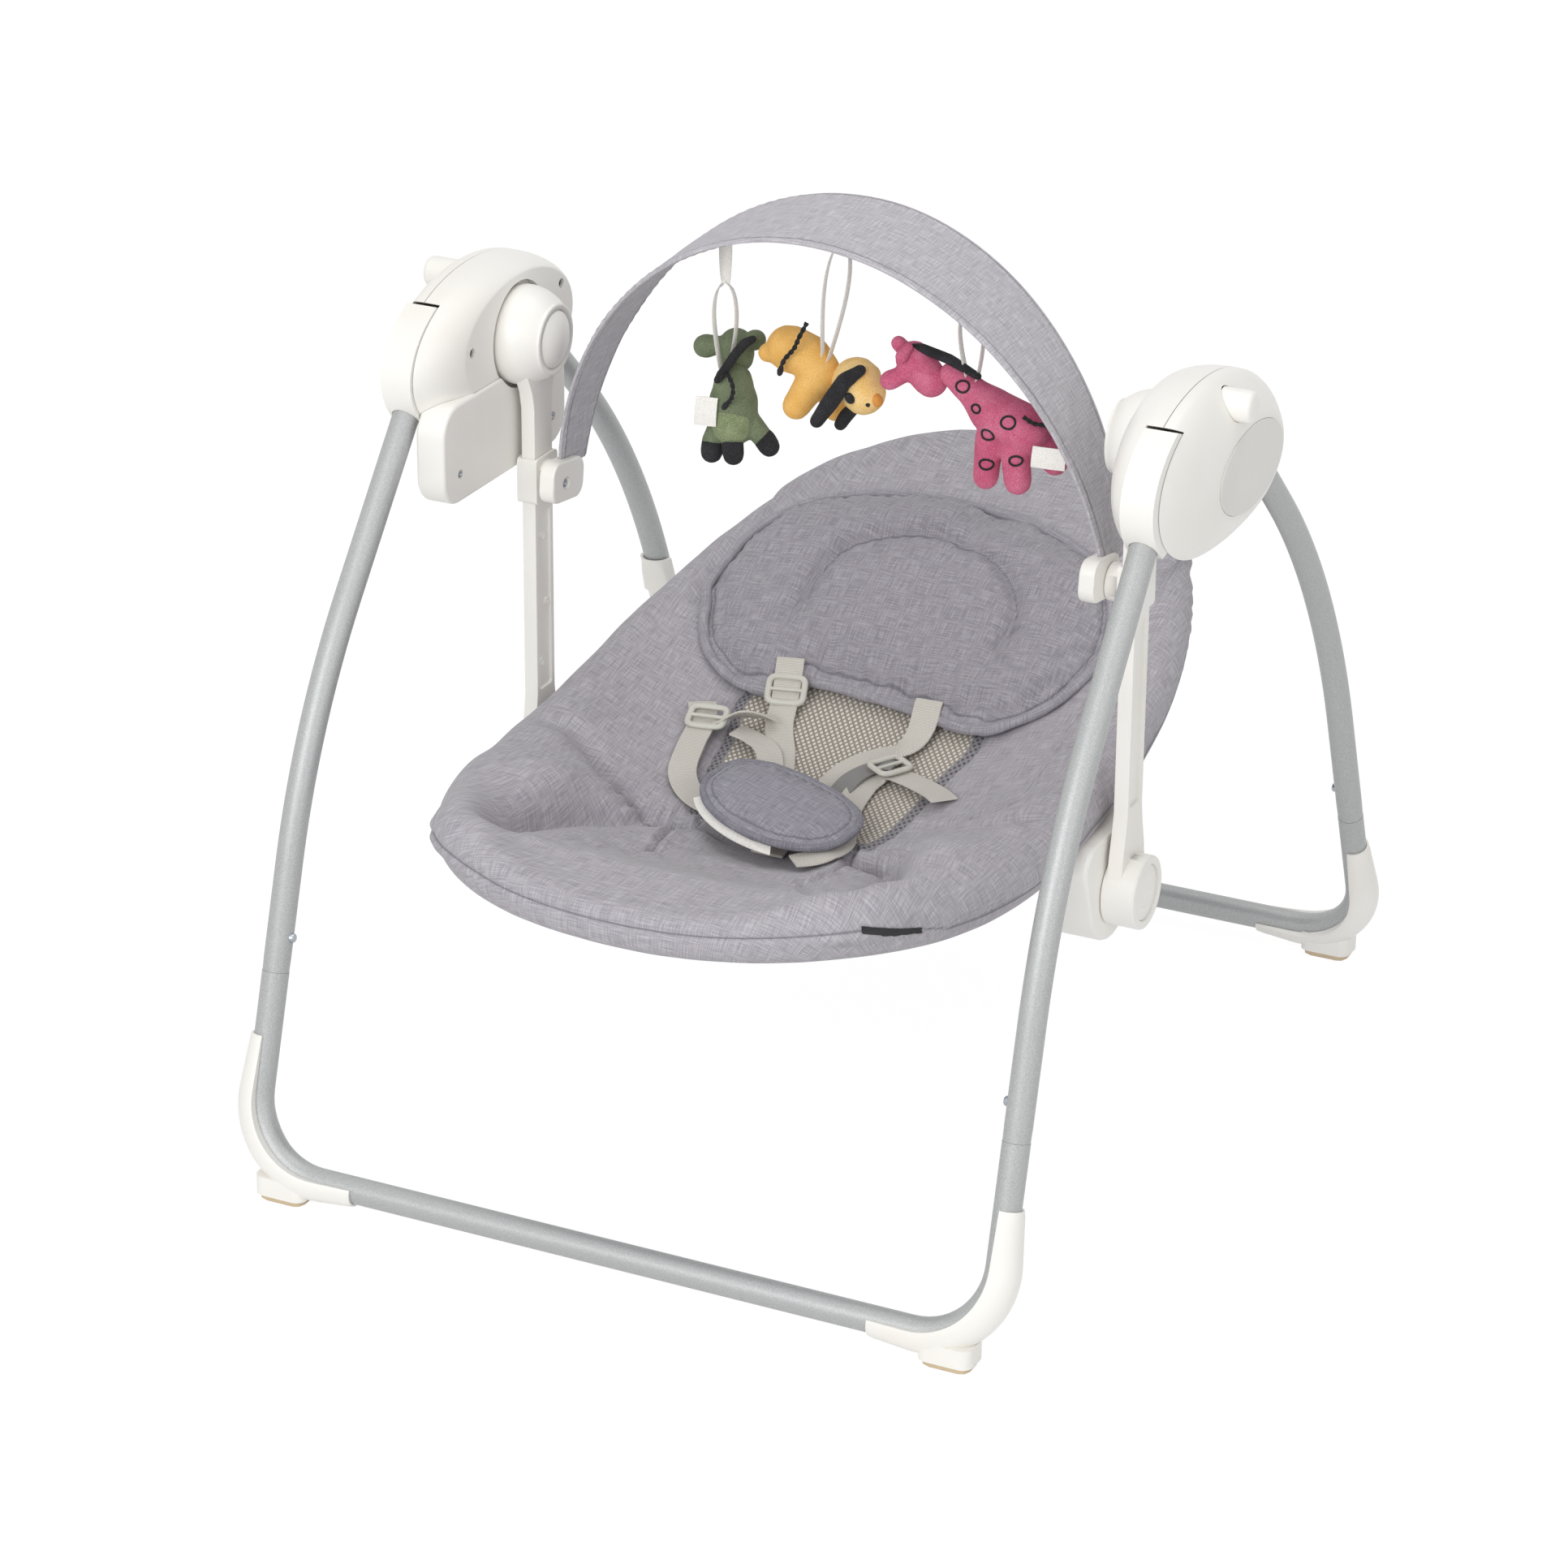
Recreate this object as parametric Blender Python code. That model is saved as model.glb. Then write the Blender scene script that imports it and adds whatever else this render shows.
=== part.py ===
"""Electric baby swing: an A-frame of steel tube, two plastic hub housings, a driven
pair of swing arms, a reclining padded seat and a toy bar with three plush toys.

Metres, +Z up. The origin is on the floor in the middle of the four feet, the baby looks
towards -Y, and -X is the left side as seen from the front, where the motor is.
"""

import math

import bmesh
import bpy
import numpy as np
from mathutils import Vector

# Clearances
TOUCH_GAP = 0.0003          # between pieces that seat on each other
SLIDE_GAP = 0.0004          # round a piece that slides or turns
SOFT_GAP = 0.0006           # under and round padded pieces

# Seat width, and across from it to the arms, the housings and the legs
SEAT_HALF_WIDTH = 0.1945    # to the middle of the padded rim
RIM_R = 0.0205
ARM_SIDE_GAP = 0.00965      # between the padded rim and each arm
ARM_THICKNESS = 0.0107
ARM_X = SEAT_HALF_WIDTH + RIM_R + ARM_SIDE_GAP + ARM_THICKNESS / 2      # mid-plane of each arm
BALL_HALF_LENGTH = 0.0165   # along X
BALL_INNER_X = ARM_X - BALL_HALF_LENGTH
BALL_OUTER_X = ARM_X + BALL_HALF_LENGTH
SPLIT_OFFSET = 0.0290       # from the ball to the joint between the housing's two shells
SHELL_SPLIT_X = BALL_OUTER_X + SPLIT_OFFSET

# Floor frame and legs
TUBE_R = 0.0095             # 19 mm steel tube
TUBE_WALL = 0.0011
FLOOR_BAR_Y = 0.348         # each floor bar's centreline from the middle
FLOOR_BAR_Z = 0.0188
LEG_LEAN_X = 0.0045         # how far the leg tops lean inwards
LEG_X = SHELL_SPLIT_X + LEG_LEAN_X      # leg centreline at the floor
FLOOR_BEND_R = 0.055
KNEE_Z = 0.225              # where each leg starts to curve
FRONT_LOW_ANGLE = math.radians(16.0)
FRONT_TOP_ANGLE = math.radians(38.2)
FRONT_CURVE_R = 0.487
FRONT_TOP_Z = 0.536
FRONT_JOINT_Z = 0.152       # where the leg slips over the floor tube
REAR_LOW_ANGLE = math.radians(20.0)
REAR_TOP_ANGLE = math.radians(46.6)
REAR_CURVE_R = 0.570
REAR_TOP_Z = 0.530
REAR_JOINT_Z = 0.138
SPIGOT_LENGTH = 0.045
TUBE_SIDES = 12

# Feet
FOOT_TOP_Z = 0.109
FOOT_RUN = 0.084            # from the leg to the cover's end along the floor bar
FOOT_INNER_X = LEG_X - FOOT_RUN
FOOT_BULGE = 0.0165         # outer skin from the tube's centreline at the corner
FOOT_TONGUE = 0.0118        # the same at the thin ends
FOOT_HALF_WIDTH = 0.0170
FOOT_BASE_Z = 0.0048
PAD_SEAT_MARGIN = 0.0025    # the cover's flat seat reaches past the pad by this
FOOT_LIP = 0.0015           # how far the cover reaches past the tube's middle
PAD_LENGTH = 0.034
PAD_WIDTH = 0.022
PAD_INSET = 0.028           # pad's middle from the leg
PAD_X = LEG_X - PAD_INSET

# Clip on the left rear leg
CLIP_LOW_Z = 0.2070
CLIP_TOP_Z = 0.2620
CLIP_R = 0.0126
CLIP_LUG = 0.0118           # how far its lug stands out past the saddle

# Hub and housings
HUB_Y = -0.017
HUB_Z = 0.531
SHELL_WALL = 0.0026
SHELL_Y = -0.0275           # middle of the egg-shaped outline
SHELL_Z = 0.5245
SHELL_HALF_LENGTH = 0.1073
SHELL_HALF_HEIGHT = 0.0599
OUTER_DEPTH = 0.0281        # of each shell, from the split to its flat face
INNER_DEPTH = 0.0330
OUTER_FACE_X = SHELL_SPLIT_X + OUTER_DEPTH
INNER_FACE_X = SHELL_SPLIT_X - INNER_DEPTH
SHELL_SIDES = 24
KNUCKLE_HALF_WIDTH = 0.0117
KNUCKLE_BOSS_R = 0.0240
PIVOT_BOSS_R = 0.0150       # tubular boss that the folding knuckle turns on
SADDLE_LOW_Z = 0.506        # where the housing's grip on the rear tube starts
SLOT_START = math.radians(152.0)
SLOT_END = math.radians(278.0)
PANEL_HALF_LENGTH = 0.0560
PANEL_HALF_HEIGHT = 0.0295
PANEL_THICKNESS = 0.0022
PANEL_SUNK = 0.0013
PANEL_Y = -0.003
PANEL_Z = 0.5195
FOLD_BUTTON_R = 0.0110
FOLD_BUTTON_Y = -0.0225
FOLD_BUTTON_Z = 0.5685
FOLD_BUTTON_PROUD = 0.0084
FOLD_BUTTON_DEPTH = 0.0098
FOLD_BUTTON_TIP_X = OUTER_FACE_X + FOLD_BUTTON_PROUD
FOLD_BUTTON_BACK_X = OUTER_FACE_X - FOLD_BUTTON_DEPTH
KEY_R = 0.0065              # the two keys of the control panel
KEY_SPACING = 0.040
KEY_PROUD = 0.0012
KEY_DEPTH = 0.0045
KEY_Z = PANEL_Z - 0.006

# Motor box
BOX_PROUD = 0.0020          # inner wall stands past the housing's flat face
BOX_WIDTH = 0.0225
BOX_INNER_X = INNER_FACE_X - BOX_PROUD
BOX_OUTER_X = BOX_INNER_X + BOX_WIDTH
BOX_FRONT_Y = -0.131
BOX_REAR_Y = 0.046
BOX_BOTTOM_Z = 0.4350
BOX_TOP_Z = 0.5080
BOX_CORNER_R = 0.022
BOX_WALL = 0.0020
MOTOR_R = 0.0088
MOTOR_LENGTH = 0.036

# Swing arms
ARM_DEPTH = 0.0260
ARM_CHANNEL = 0.0022        # depth of the recess in each broad face
ARM_FLANGE = 0.0045
AXLE_R = 0.0060
AXLE_REACH = 0.0320
AXLE_END_X = ARM_X + AXLE_REACH
BEARING_GAP = 0.0002
BALL_R = 0.0355
BALL_MOUTH_R = 0.0258
POCKET_GAP = 0.0030         # round the ball, in the housing's circular pocket
POCKET_DEPTH = 0.0060       # of the pocket's floor behind the housing's flat face
POCKET_FLOOR_X = INNER_FACE_X + POCKET_DEPTH
CAP_R = 0.0208
CAP_DOME = 0.0055
CAP_WALL = 0.0020

# Seat pivots
PIVOT_Z = 0.2010
RING_R = 0.0264
RING_INNER_REACH = 0.0078
RING_OUTER_REACH = 0.0170
RING_INNER_X = ARM_X - RING_INNER_REACH
RING_OUTER_X = ARM_X + RING_OUTER_REACH
RECLINE_R = 0.0200
RECLINE_THICKNESS = 0.0050
RECLINE_RECESS = 0.0015
RECLINE_TRAVEL = 0.0035
STEM_END_DEPTH = 0.0160     # how far inside the bracket the button's stem ends
STEM_HOLE_DEPTH = 0.0110
BOSS_ROOT = 0.0068          # how far the seat's boss runs back into the bracket
STEM_R = 0.0062
SEAT_BOSS_R = 0.0115
BRACKET_R = 0.0390
BRACKET_DEPTH = 0.0388      # from the arm's ring in under the rim
BRACKET_INNER_X = RING_INNER_X - SLIDE_GAP - BRACKET_DEPTH
BRACKET_LOBE_R = 0.0165

# Seat
SEAT_TUBE_R = 0.0080
SEAT_Y = -0.0450            # widest place of the rim's outline
SEAT_Z = 0.2551
SEAT_FRONT_LENGTH = 0.2850
SEAT_BACK_LENGTH = 0.3696
SEAT_FRONT_SQUARENESS = 2.8
SEAT_BACK_SQUARENESS = 2.63
SEAT_TILT = 0.1218
SEAT_CURVE = 0.4335
SEAT_CORNER_RISE = 0.0270   # how far the front corners stand above the front's middle
FRONT_RIM_R = 0.0160
TUBE_HIDDEN_DROP = 0.0040   # tube centre below the rim's centre, inside the hem
TUBE_PIVOT_DROP = 0.0240    # the same where the tube runs down to its bracket
TUBE_PIVOT_OUT = 0.0100
TUBE_RUN = 0.130            # length over which the tube leaves the hem
PADDING = 0.0140
PILLOW_HALF_WIDTH = 0.1560
PILLOW_HALF_LENGTH = 0.1000
PILLOW_HEAD_GAP = 0.0896    # from the head end's rim to the pillow
PILLOW_Y = SEAT_Y + SEAT_BACK_LENGTH - PILLOW_HEAD_GAP - PILLOW_HALF_LENGTH
PILLOW_HEIGHT = 0.0200
CROTCH_X = 0.0000
CROTCH_Y = -0.0940
CROTCH_Z = 0.2465
CROTCH_HALF_WIDTH = 0.0640
CROTCH_HALF_LENGTH = 0.0430
CROTCH_THICKNESS = 0.0130
CROTCH_TILT = math.radians(10.0)
WEBBING = 0.0220
WEBBING_THICKNESS = 0.0016

# Toy bar
TOY_BAR_Y = -0.003
TOY_BAR_Z = 0.400           # centre of the half ellipse
PLATE_SIDE_GAP = 0.0180     # between each end plate and the arm's mid-plane
PLATE_THICKNESS = 0.0120
PLATE_OUTER_X = ARM_X - PLATE_SIDE_GAP
PLATE_INNER_X = PLATE_OUTER_X - PLATE_THICKNESS
BAND_COVER = 0.0015         # plate left outside the band's middle at its end
TOY_BAR_HALF_WIDTH = PLATE_OUTER_X - BAND_COVER
TOY_BAR_HEIGHT = 0.250
TOY_BAR_LEAN = -0.055
TOY_BAR_TOP_WIDTH = 0.100
TOY_BAR_END_WIDTH = 0.029
TOY_BAR_THICKNESS = 0.0032
CLAMP_Y = -0.018
CLAMP_Z = 0.4270
CLAMP_HALF_HEIGHT = 0.0170
CLAMP_WALL = 0.0026
DRUM_R = 0.0135
PLATE_LENGTH = 0.0460
PLATE_HEIGHT = 0.0300
PLATE_Y = -0.0250
PLATE_Z = 0.4310
PLATE_TILT = math.radians(-7.4)
PIN_R = 0.0040
RIBBON_WIDTH = 0.0120
RIBBON_THICKNESS = 0.0012

SIDES = {"left": -1.0, "right": 1.0}
FINISHES = {
    "silver_paint": ("C9CBCB", 0.38, 0.75),
    "white_plastic": ("F3F1EC", 0.42),
    "grey_panel": ("E4E3DF", 0.50),
    "steel": ("B5B7BA", 0.30, 1.0),
    "motor": ("8E9194", 0.40, 0.8),
    "rubber": ("D9C6A8", 0.80),
    "key": ("D5D6D4", 0.50),
    "seat_fabric": ("A9A6AD", 0.92),
    "webbing": ("C9C7C1", 0.80),
    "grey_plastic": ("C4C3BC", 0.45),
    "green_plush": ("5F6B50", 0.95),
    "yellow_plush": ("E9B75F", 0.95),
    "pink_plush": ("C4506F", 0.95),
}


# Materials

def linear(channel):
    return channel / 12.92 if channel <= 0.04045 else ((channel + 0.055) / 1.055) ** 2.4


def principled(name, colour, roughness, metallic=0.0):
    """One Principled material, with its colour given as sRGB hex."""
    material = bpy.data.materials.new(name)
    material.use_nodes = True
    shader = material.node_tree.nodes["Principled BSDF"]
    rgb = [linear(int(colour[i:i + 2], 16) / 255) for i in (0, 2, 4)]
    shader.inputs["Base Color"].default_value = (*rgb, 1.0)
    shader.inputs["Roughness"].default_value = roughness
    shader.inputs["Metallic"].default_value = metallic
    return material


# Mesh helpers

def finish(name, bm, finish_of, body=None):
    """Turn a bmesh into a named object with its faces outward and its round faces smooth."""
    bmesh.ops.remove_doubles(bm, verts=bm.verts, dist=1e-6)
    bmesh.ops.recalc_face_normals(bm, faces=bm.faces)
    mesh = bpy.data.meshes.new(name)
    bm.to_mesh(mesh)
    bm.free()
    mesh.shade_smooth()
    mesh.set_sharp_from_angle(angle=math.radians(35))
    obj = bpy.data.objects.new(name, mesh)
    bpy.context.scene.collection.objects.link(obj)
    if finish_of is not None:
        mesh.materials.append(principled(name, *FINISHES[finish_of]))
    if body is not None:
        obj.parent = body
        obj.matrix_parent_inverse = body.matrix_world.inverted()
    return obj


def helper(name, bm):
    """A cutter or a part to be joined: seen as a wire, and left out of the render."""
    obj = finish(name, bm, None)
    obj.display_type = "WIRE"
    obj.hide_render = True
    return obj


def combine(obj, operation, other):
    if any(m.type == "BOOLEAN" for m in obj.modifiers):
        flat = obj.modifiers.new("flat_faces", "TRIANGULATE")
        flat.min_vertices = 5
    modifier = obj.modifiers.new(other.name, "BOOLEAN")
    modifier.operation = operation
    modifier.object = other
    modifier.solver = "EXACT"


def cut(obj, *cutters):
    for cutter in cutters:
        combine(obj, "DIFFERENCE", cutter)


def join(obj, *others):
    for other in others:
        combine(obj, "UNION", other)


def bevel(obj, width, segments=1):
    modifier = obj.modifiers.new("rounded_edges", "BEVEL")
    modifier.width = width
    modifier.segments = segments
    modifier.limit_method = "ANGLE"
    modifier.angle_limit = math.radians(40)


def lofted(rings, closed=False):
    """Skin rings of equal length, in order. A ring of one point closes to a tip."""
    bm = bmesh.new()
    rows = [[bm.verts.new(p) for p in ring] for ring in rings]
    pairs = list(zip(rows, rows[1:]))
    if closed:
        pairs.append((rows[-1], rows[0]))
    for low, high in pairs:
        count = max(len(low), len(high))
        for i in range(count):
            j = (i + 1) % count
            corners = [low[i % len(low)], low[j % len(low)], high[j % len(high)], high[i % len(high)]]
            unique = list(dict.fromkeys(corners))
            if len(unique) > 2:
                bm.faces.new(unique)
    if not closed:
        for row in (rows[0], rows[-1]):
            if len(row) > 2:
                bm.faces.new(row)
    return bm


def circle(radius, sides):
    turns = [2 * math.pi * i / sides for i in range(sides)]
    return [(radius * math.cos(t), radius * math.sin(t)) for t in turns]


def ellipse(a, b, sides):
    turns = [2 * math.pi * i / sides for i in range(sides)]
    return [(a * math.cos(t), b * math.sin(t)) for t in turns]


def direction_at(path, i):
    return (path[min(i + 1, len(path) - 1)] - path[max(i - 1, 0)]).normalized()


def swept(path, sections, up):
    """Skin the sections (a, b) along the path: a runs along up, and b across it."""
    rings = []
    for i, point in enumerate(path):
        along = direction_at(path, i)
        side = (up - along * up.dot(along)).normalized()
        across = along.cross(side)
        rings.append([point + side * a + across * b for a, b in sections[i]])
    return lofted(rings)


def pipe(path, radius, up, sides=TUBE_SIDES):
    """A round bar along the path, of one radius or of one for each point."""
    radii = radius if isinstance(radius, (list, tuple)) else [radius] * len(path)
    return swept(path, [circle(r, sides) for r in radii], up)


def turned(profile, centre_y, centre_z, side, sides=20):
    """A solid turned about an X axis from (x, radius) pairs; x is measured outwards."""
    rings = []
    for x, radius in profile:
        if radius == 0:
            rings.append([Vector((side * x, centre_y, centre_z))])
        else:
            rings.append([
                Vector((side * x, centre_y + a, centre_z + b)) for a, b in circle(radius, sides)
            ])
    return lofted(rings)


def plug(x0, x1, radius, centre_y, centre_z, side, sides=20):
    """A plain cylinder along X."""
    return turned([(x0, 0), (x0, radius), (x1, radius), (x1, 0)], centre_y, centre_z, side, sides)


def turned_ring(profile, centre_y, centre_z, side, sides=20):
    """A turned solid with a hole through it: the profile is a loop that stays off the axis."""
    return lofted([
        [Vector((side * x, centre_y + a, centre_z + b)) for a, b in circle(radius, sides)]
        for x, radius in profile
    ], closed=True)


def prism(outline, x0, x1, side=1.0):
    """A (y, z) outline extruded along X."""
    return lofted([[Vector((side * x, y, z)) for y, z in outline] for x in (x0, x1)])


def box_yz(y0, y1, z0, z1):
    return [(y0, z0), (y1, z0), (y1, z1), (y0, z1)]


def rounded_rectangle(width, height, radius, steps=4):
    points = []
    for cx, cy, start in ((1, 1, 0), (-1, 1, 90), (-1, -1, 180), (1, -1, 270)):
        for i in range(steps + 1):
            angle = math.radians(start + 90 * i / steps)
            points.append((
                cx * (width / 2 - radius) + radius * math.cos(angle),
                cy * (height / 2 - radius) + radius * math.sin(angle),
            ))
    return points


def placed(points, angle, y, z):
    c, s = math.cos(angle), math.sin(angle)
    return [(y + a * c - b * s, z + a * s + b * c) for a, b in points]


def hull_of_circles(circles, sides=16):
    """Convex outline round some circles, given as (y, z, radius)."""
    points = sorted({
        (round(y + a, 7), round(z + b, 7)) for y, z, r in circles for a, b in circle(r, sides)
    })

    def half(ordered):
        chain = []
        for p in ordered:
            while len(chain) > 1:
                (ay, az), (by, bz) = chain[-2], chain[-1]
                if (by - ay) * (p[1] - az) - (bz - az) * (p[0] - ay) > 1e-9:
                    break
                chain.pop()
            chain.append(p)
        return chain[:-1]

    return half(points) + half(points[::-1])


def smooth_through(points, parameter):
    """Smooth value at the parameter through (parameter, value) pairs."""
    xs = [p[0] for p in points]
    ys = [p[1] for p in points]
    i = int(np.clip(np.searchsorted(xs, parameter) - 1, 0, len(xs) - 2))
    slopes = []
    for k in (i, i + 1):
        before, after = max(k - 1, 0), min(k + 1, len(xs) - 1)
        slopes.append((ys[after] - ys[before]) / (xs[after] - xs[before]))
    span = xs[i + 1] - xs[i]
    t = min(max((parameter - xs[i]) / span, 0.0), 1.0)
    return (
        (2 * t**3 - 3 * t**2 + 1) * ys[i]
        + (t**3 - 2 * t**2 + t) * span * slopes[0]
        + (3 * t**2 - 2 * t**3) * ys[i + 1]
        + (t**3 - t**2) * span * slopes[1]
    )


def joint_empty(name, location, parent=None):
    """An empty on a joint's axis that carries the pieces of one moving body."""
    empty = bpy.data.objects.new(name, None)
    empty.empty_display_size = 0.03
    empty.location = location
    bpy.context.scene.collection.objects.link(empty)
    bpy.context.view_layer.update()
    if parent is not None:
        empty.parent = parent
        empty.matrix_parent_inverse = parent.matrix_world.inverted()
        bpy.context.view_layer.update()
    return empty


for old in list(bpy.data.objects):
    bpy.data.objects.remove(old, do_unlink=True)

stand = joint_empty("stand_frame", (0, 0, 0))
front_frame = joint_empty("front_frame_axis", (0, HUB_Y, HUB_Z), stand)
swing = joint_empty("swing_axis", (0, HUB_Y, HUB_Z), stand)
seat = joint_empty("seat_axis", (0, HUB_Y, PIVOT_Z), swing)
toy_bar = joint_empty("toy_bar_axis", (0, CLAMP_Y, CLAMP_Z), swing)


# Legs and floor tubes

LEGS = {
    "front": dict(end=-1.0, low=FRONT_LOW_ANGLE, top=FRONT_TOP_ANGLE, curve=FRONT_CURVE_R,
                  top_z=FRONT_TOP_Z, joint_z=FRONT_JOINT_Z, body=front_frame),
    "rear": dict(end=1.0, low=REAR_LOW_ANGLE, top=REAR_TOP_ANGLE, curve=REAR_CURVE_R,
                 top_z=REAR_TOP_Z, joint_z=REAR_JOINT_Z, body=stand),
}


def leg_point(leg, side, z):
    """The leg's centreline at a height: straight, one arc, then straight into the housing."""
    low, top, radius = leg["low"], leg["top"], leg["curve"]
    knee_y = FLOOR_BAR_Y - (KNEE_Z - FLOOR_BAR_Z) * math.tan(low)
    arc_top_z = KNEE_Z + radius * (math.sin(top) - math.sin(low))
    arc_top_y = knee_y - radius * (math.cos(low) - math.cos(top))
    if z <= KNEE_Z:
        distance = FLOOR_BAR_Y - (z - FLOOR_BAR_Z) * math.tan(low)
    elif z <= arc_top_z:
        angle = math.asin((z - KNEE_Z) / radius + math.sin(low))
        distance = knee_y - radius * (math.cos(low) - math.cos(angle))
    else:
        distance = arc_top_y - (z - arc_top_z) * math.tan(top)
    lean = LEG_LEAN_X * (z - FLOOR_BAR_Z) / (HUB_Z - FLOOR_BAR_Z)
    return Vector((side * (LEG_X - lean), leg["end"] * distance, z))


def leg_path(leg, side, z0, z1, steps):
    return [leg_point(leg, side, z0 + (z1 - z0) * i / steps) for i in range(steps + 1)]


def corner_path(leg, side, steps=5):
    """The bend from the floor bar up into the leg, from the bar's side to the leg's."""
    up = (leg_point(leg, side, KNEE_Z) - leg_point(leg, side, FLOOR_BAR_Z)).normalized()
    corner = leg_point(leg, side, FLOOR_BAR_Z)
    inwards = Vector((-side, 0, 0))
    sweep = math.pi - math.acos(inwards.dot(up))
    start = corner + inwards * FLOOR_BEND_R * math.tan(sweep / 2)
    across = (up - inwards * up.dot(inwards)).normalized()
    centre = start + across * FLOOR_BEND_R
    angles = [sweep * i / steps for i in range(steps + 1)]
    return [
        centre - across * FLOOR_BEND_R * math.cos(a) - inwards * FLOOR_BEND_R * math.sin(a) for a in angles
    ]


def frame_normal(leg):
    """The normal of the plane that the floor tube lies in."""
    up = leg_point(leg, 1, KNEE_Z) - leg_point(leg, 1, FLOOR_BAR_Z)
    return Vector((1, 0, 0)).cross(up).normalized()


TUBE_BORE_R = TUBE_R - TUBE_WALL

for end_name, leg in LEGS.items():
    normal = frame_normal(leg)
    joint_z = leg["joint_z"]
    spigot_z = joint_z + SPIGOT_LENGTH * math.cos(leg["low"])
    halves = []
    for side in (-1.0, 1.0):
        along = (leg_point(leg, side, spigot_z) - leg_point(leg, side, joint_z)).normalized()
        step = leg_point(leg, side, joint_z)
        halves.append(corner_path(leg, side) + [step, step + along * 1e-4, leg_point(leg, side, spigot_z)])
    path = halves[0][::-1] + halves[1]
    spigot_r = TUBE_BORE_R - TOUCH_GAP
    radii = [spigot_r] * 2 + [TUBE_R] * (len(path) - 4) + [spigot_r] * 2
    finish(f"{end_name}_floor_tube", pipe(path, radii, normal), "silver_paint", leg["body"])
    for side_name, side in SIDES.items():
        mouth = leg_point(leg, side, joint_z + TOUCH_GAP)
        deep = leg_point(leg, side, spigot_z + 0.004)
        upward = (deep - mouth).normalized()
        path = [mouth] + leg_path(leg, side, joint_z, leg["top_z"], 8)[1:]
        rings = []
        for point, radius in ((deep, TUBE_BORE_R), (mouth, TUBE_BORE_R)):
            across = upward.cross(normal)
            rings.append([point + normal * a + across * b for a, b in circle(radius, TUBE_SIDES)])
        for i, point in enumerate(path):
            along = upward if i == 0 else direction_at(path, i)
            flat = (normal - along * normal.dot(along)).normalized()
            across = along.cross(flat)
            rings.append([point + flat * a + across * b for a, b in circle(TUBE_R, TUBE_SIDES)])
        finish(f"{end_name}_leg_{side_name}", lofted(rings), "silver_paint", leg["body"])


# Feet: a cover round the outside of each bottom corner, on a rubber pad

for end_name, leg in LEGS.items():
    normal = frame_normal(leg)
    for side_name, side in SIDES.items():
        inner_end = leg_point(leg, side, FLOOR_BAR_Z)
        inner_end.x = side * FOOT_INNER_X
        bend = corner_path(leg, side)
        path = [inner_end] + bend
        path += [leg_point(leg, side, z) for z in ((bend[-1].z + FOOT_TOP_Z) / 2, FOOT_TOP_Z)]
        lengths = [0.0]
        for a, b in zip(path, path[1:]):
            lengths.append(lengths[-1] + (b - a).length)
        rings = []
        for i, point in enumerate(path):
            swell = math.sin(math.pi * lengths[i] / lengths[-1]) ** 1.2
            depth = FOOT_TONGUE + (FOOT_BULGE - FOOT_TONGUE) * swell
            width = FOOT_TONGUE + (FOOT_HALF_WIDTH - FOOT_TONGUE) * swell
            outward = direction_at(path, i).cross(normal) * side
            angles = [math.radians(-90 + 30 * k) for k in range(7)]
            ring = [point + outward * depth * math.cos(a) + normal * width * math.sin(a) for a in angles]
            ring.append(point - outward * FOOT_LIP + normal * width * 0.97)
            ring.append(point - outward * FOOT_LIP - normal * width * 0.97)
            rings.append(ring)
        cover = finish(f"{end_name}_foot_{side_name}", lofted(rings), "white_plastic", leg["body"])
        longer = [path[0] - (path[1] - path[0]).normalized() * 0.01] + path[1:-1]
        longer.append(path[-1] + (path[-1] - path[-2]).normalized() * 0.01)
        channel = helper(f"{end_name}_foot_channel_{side_name}", pipe(longer, TUBE_R + TOUCH_GAP, normal))
        y = path[0].y
        floor_cut = helper(f"{end_name}_foot_floor_{side_name}", prism(
            box_yz(y - 0.08, y + 0.08, -0.05, FOOT_BASE_Z), FOOT_INNER_X - 0.03, LEG_X + 0.05, side))
        pad_y = leg["end"] * FLOOR_BAR_Y
        seat_outline = rounded_rectangle(
            PAD_LENGTH + 2 * PAD_SEAT_MARGIN, PAD_WIDTH + 2 * PAD_SEAT_MARGIN, 0.008, 2)
        pad_seat = helper(f"{end_name}_pad_seat_{side_name}", lofted([
            [Vector((side * PAD_X + a, pad_y + b, z)) for a, b in seat_outline]
            for z in (FOOT_BASE_Z - 0.002, FLOOR_BAR_Z)
        ]))
        join(cover, pad_seat)
        cut(cover, floor_cut, channel)
        outline = rounded_rectangle(PAD_LENGTH, PAD_WIDTH, 0.006, 2)
        pad_rings = []
        for z, scale in ((0.0, 0.93), (0.0008, 1.0), (FOOT_BASE_Z - TOUCH_GAP, 1.0)):
            pad_rings.append([
                Vector((side * PAD_X + a * scale, pad_y + b * scale, z)) for a, b in outline
            ])
        finish(f"{end_name}_pad_{side_name}", lofted(pad_rings), "rubber", leg["body"])


# Housings

# Each pair is a share of the shell's depth and the outline's size there. The last is the flat face
OUTER_CURVE = ((0, 1.0), (0.231, 0.990), (0.445, 0.938), (0.658, 0.840), (0.836, 0.715), (0.950, 0.615),
               (1, 0.555))
OUTER_STEPS = [(SHELL_SPLIT_X + OUTER_DEPTH * share, size) for share, size in OUTER_CURVE]
OUTER_TARGET = (PANEL_Y, PANEL_Z)
INNER_CURVE = ((0, 1.0), (0.318, 0.985), (0.561, 0.940), (0.773, 0.870), (0.924, 0.790), (1, 0.730))
INNER_STEPS = [(SHELL_SPLIT_X - INNER_DEPTH * share, size) for share, size in INNER_CURVE]
INNER_TARGET = (HUB_Y, HUB_Z)


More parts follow.
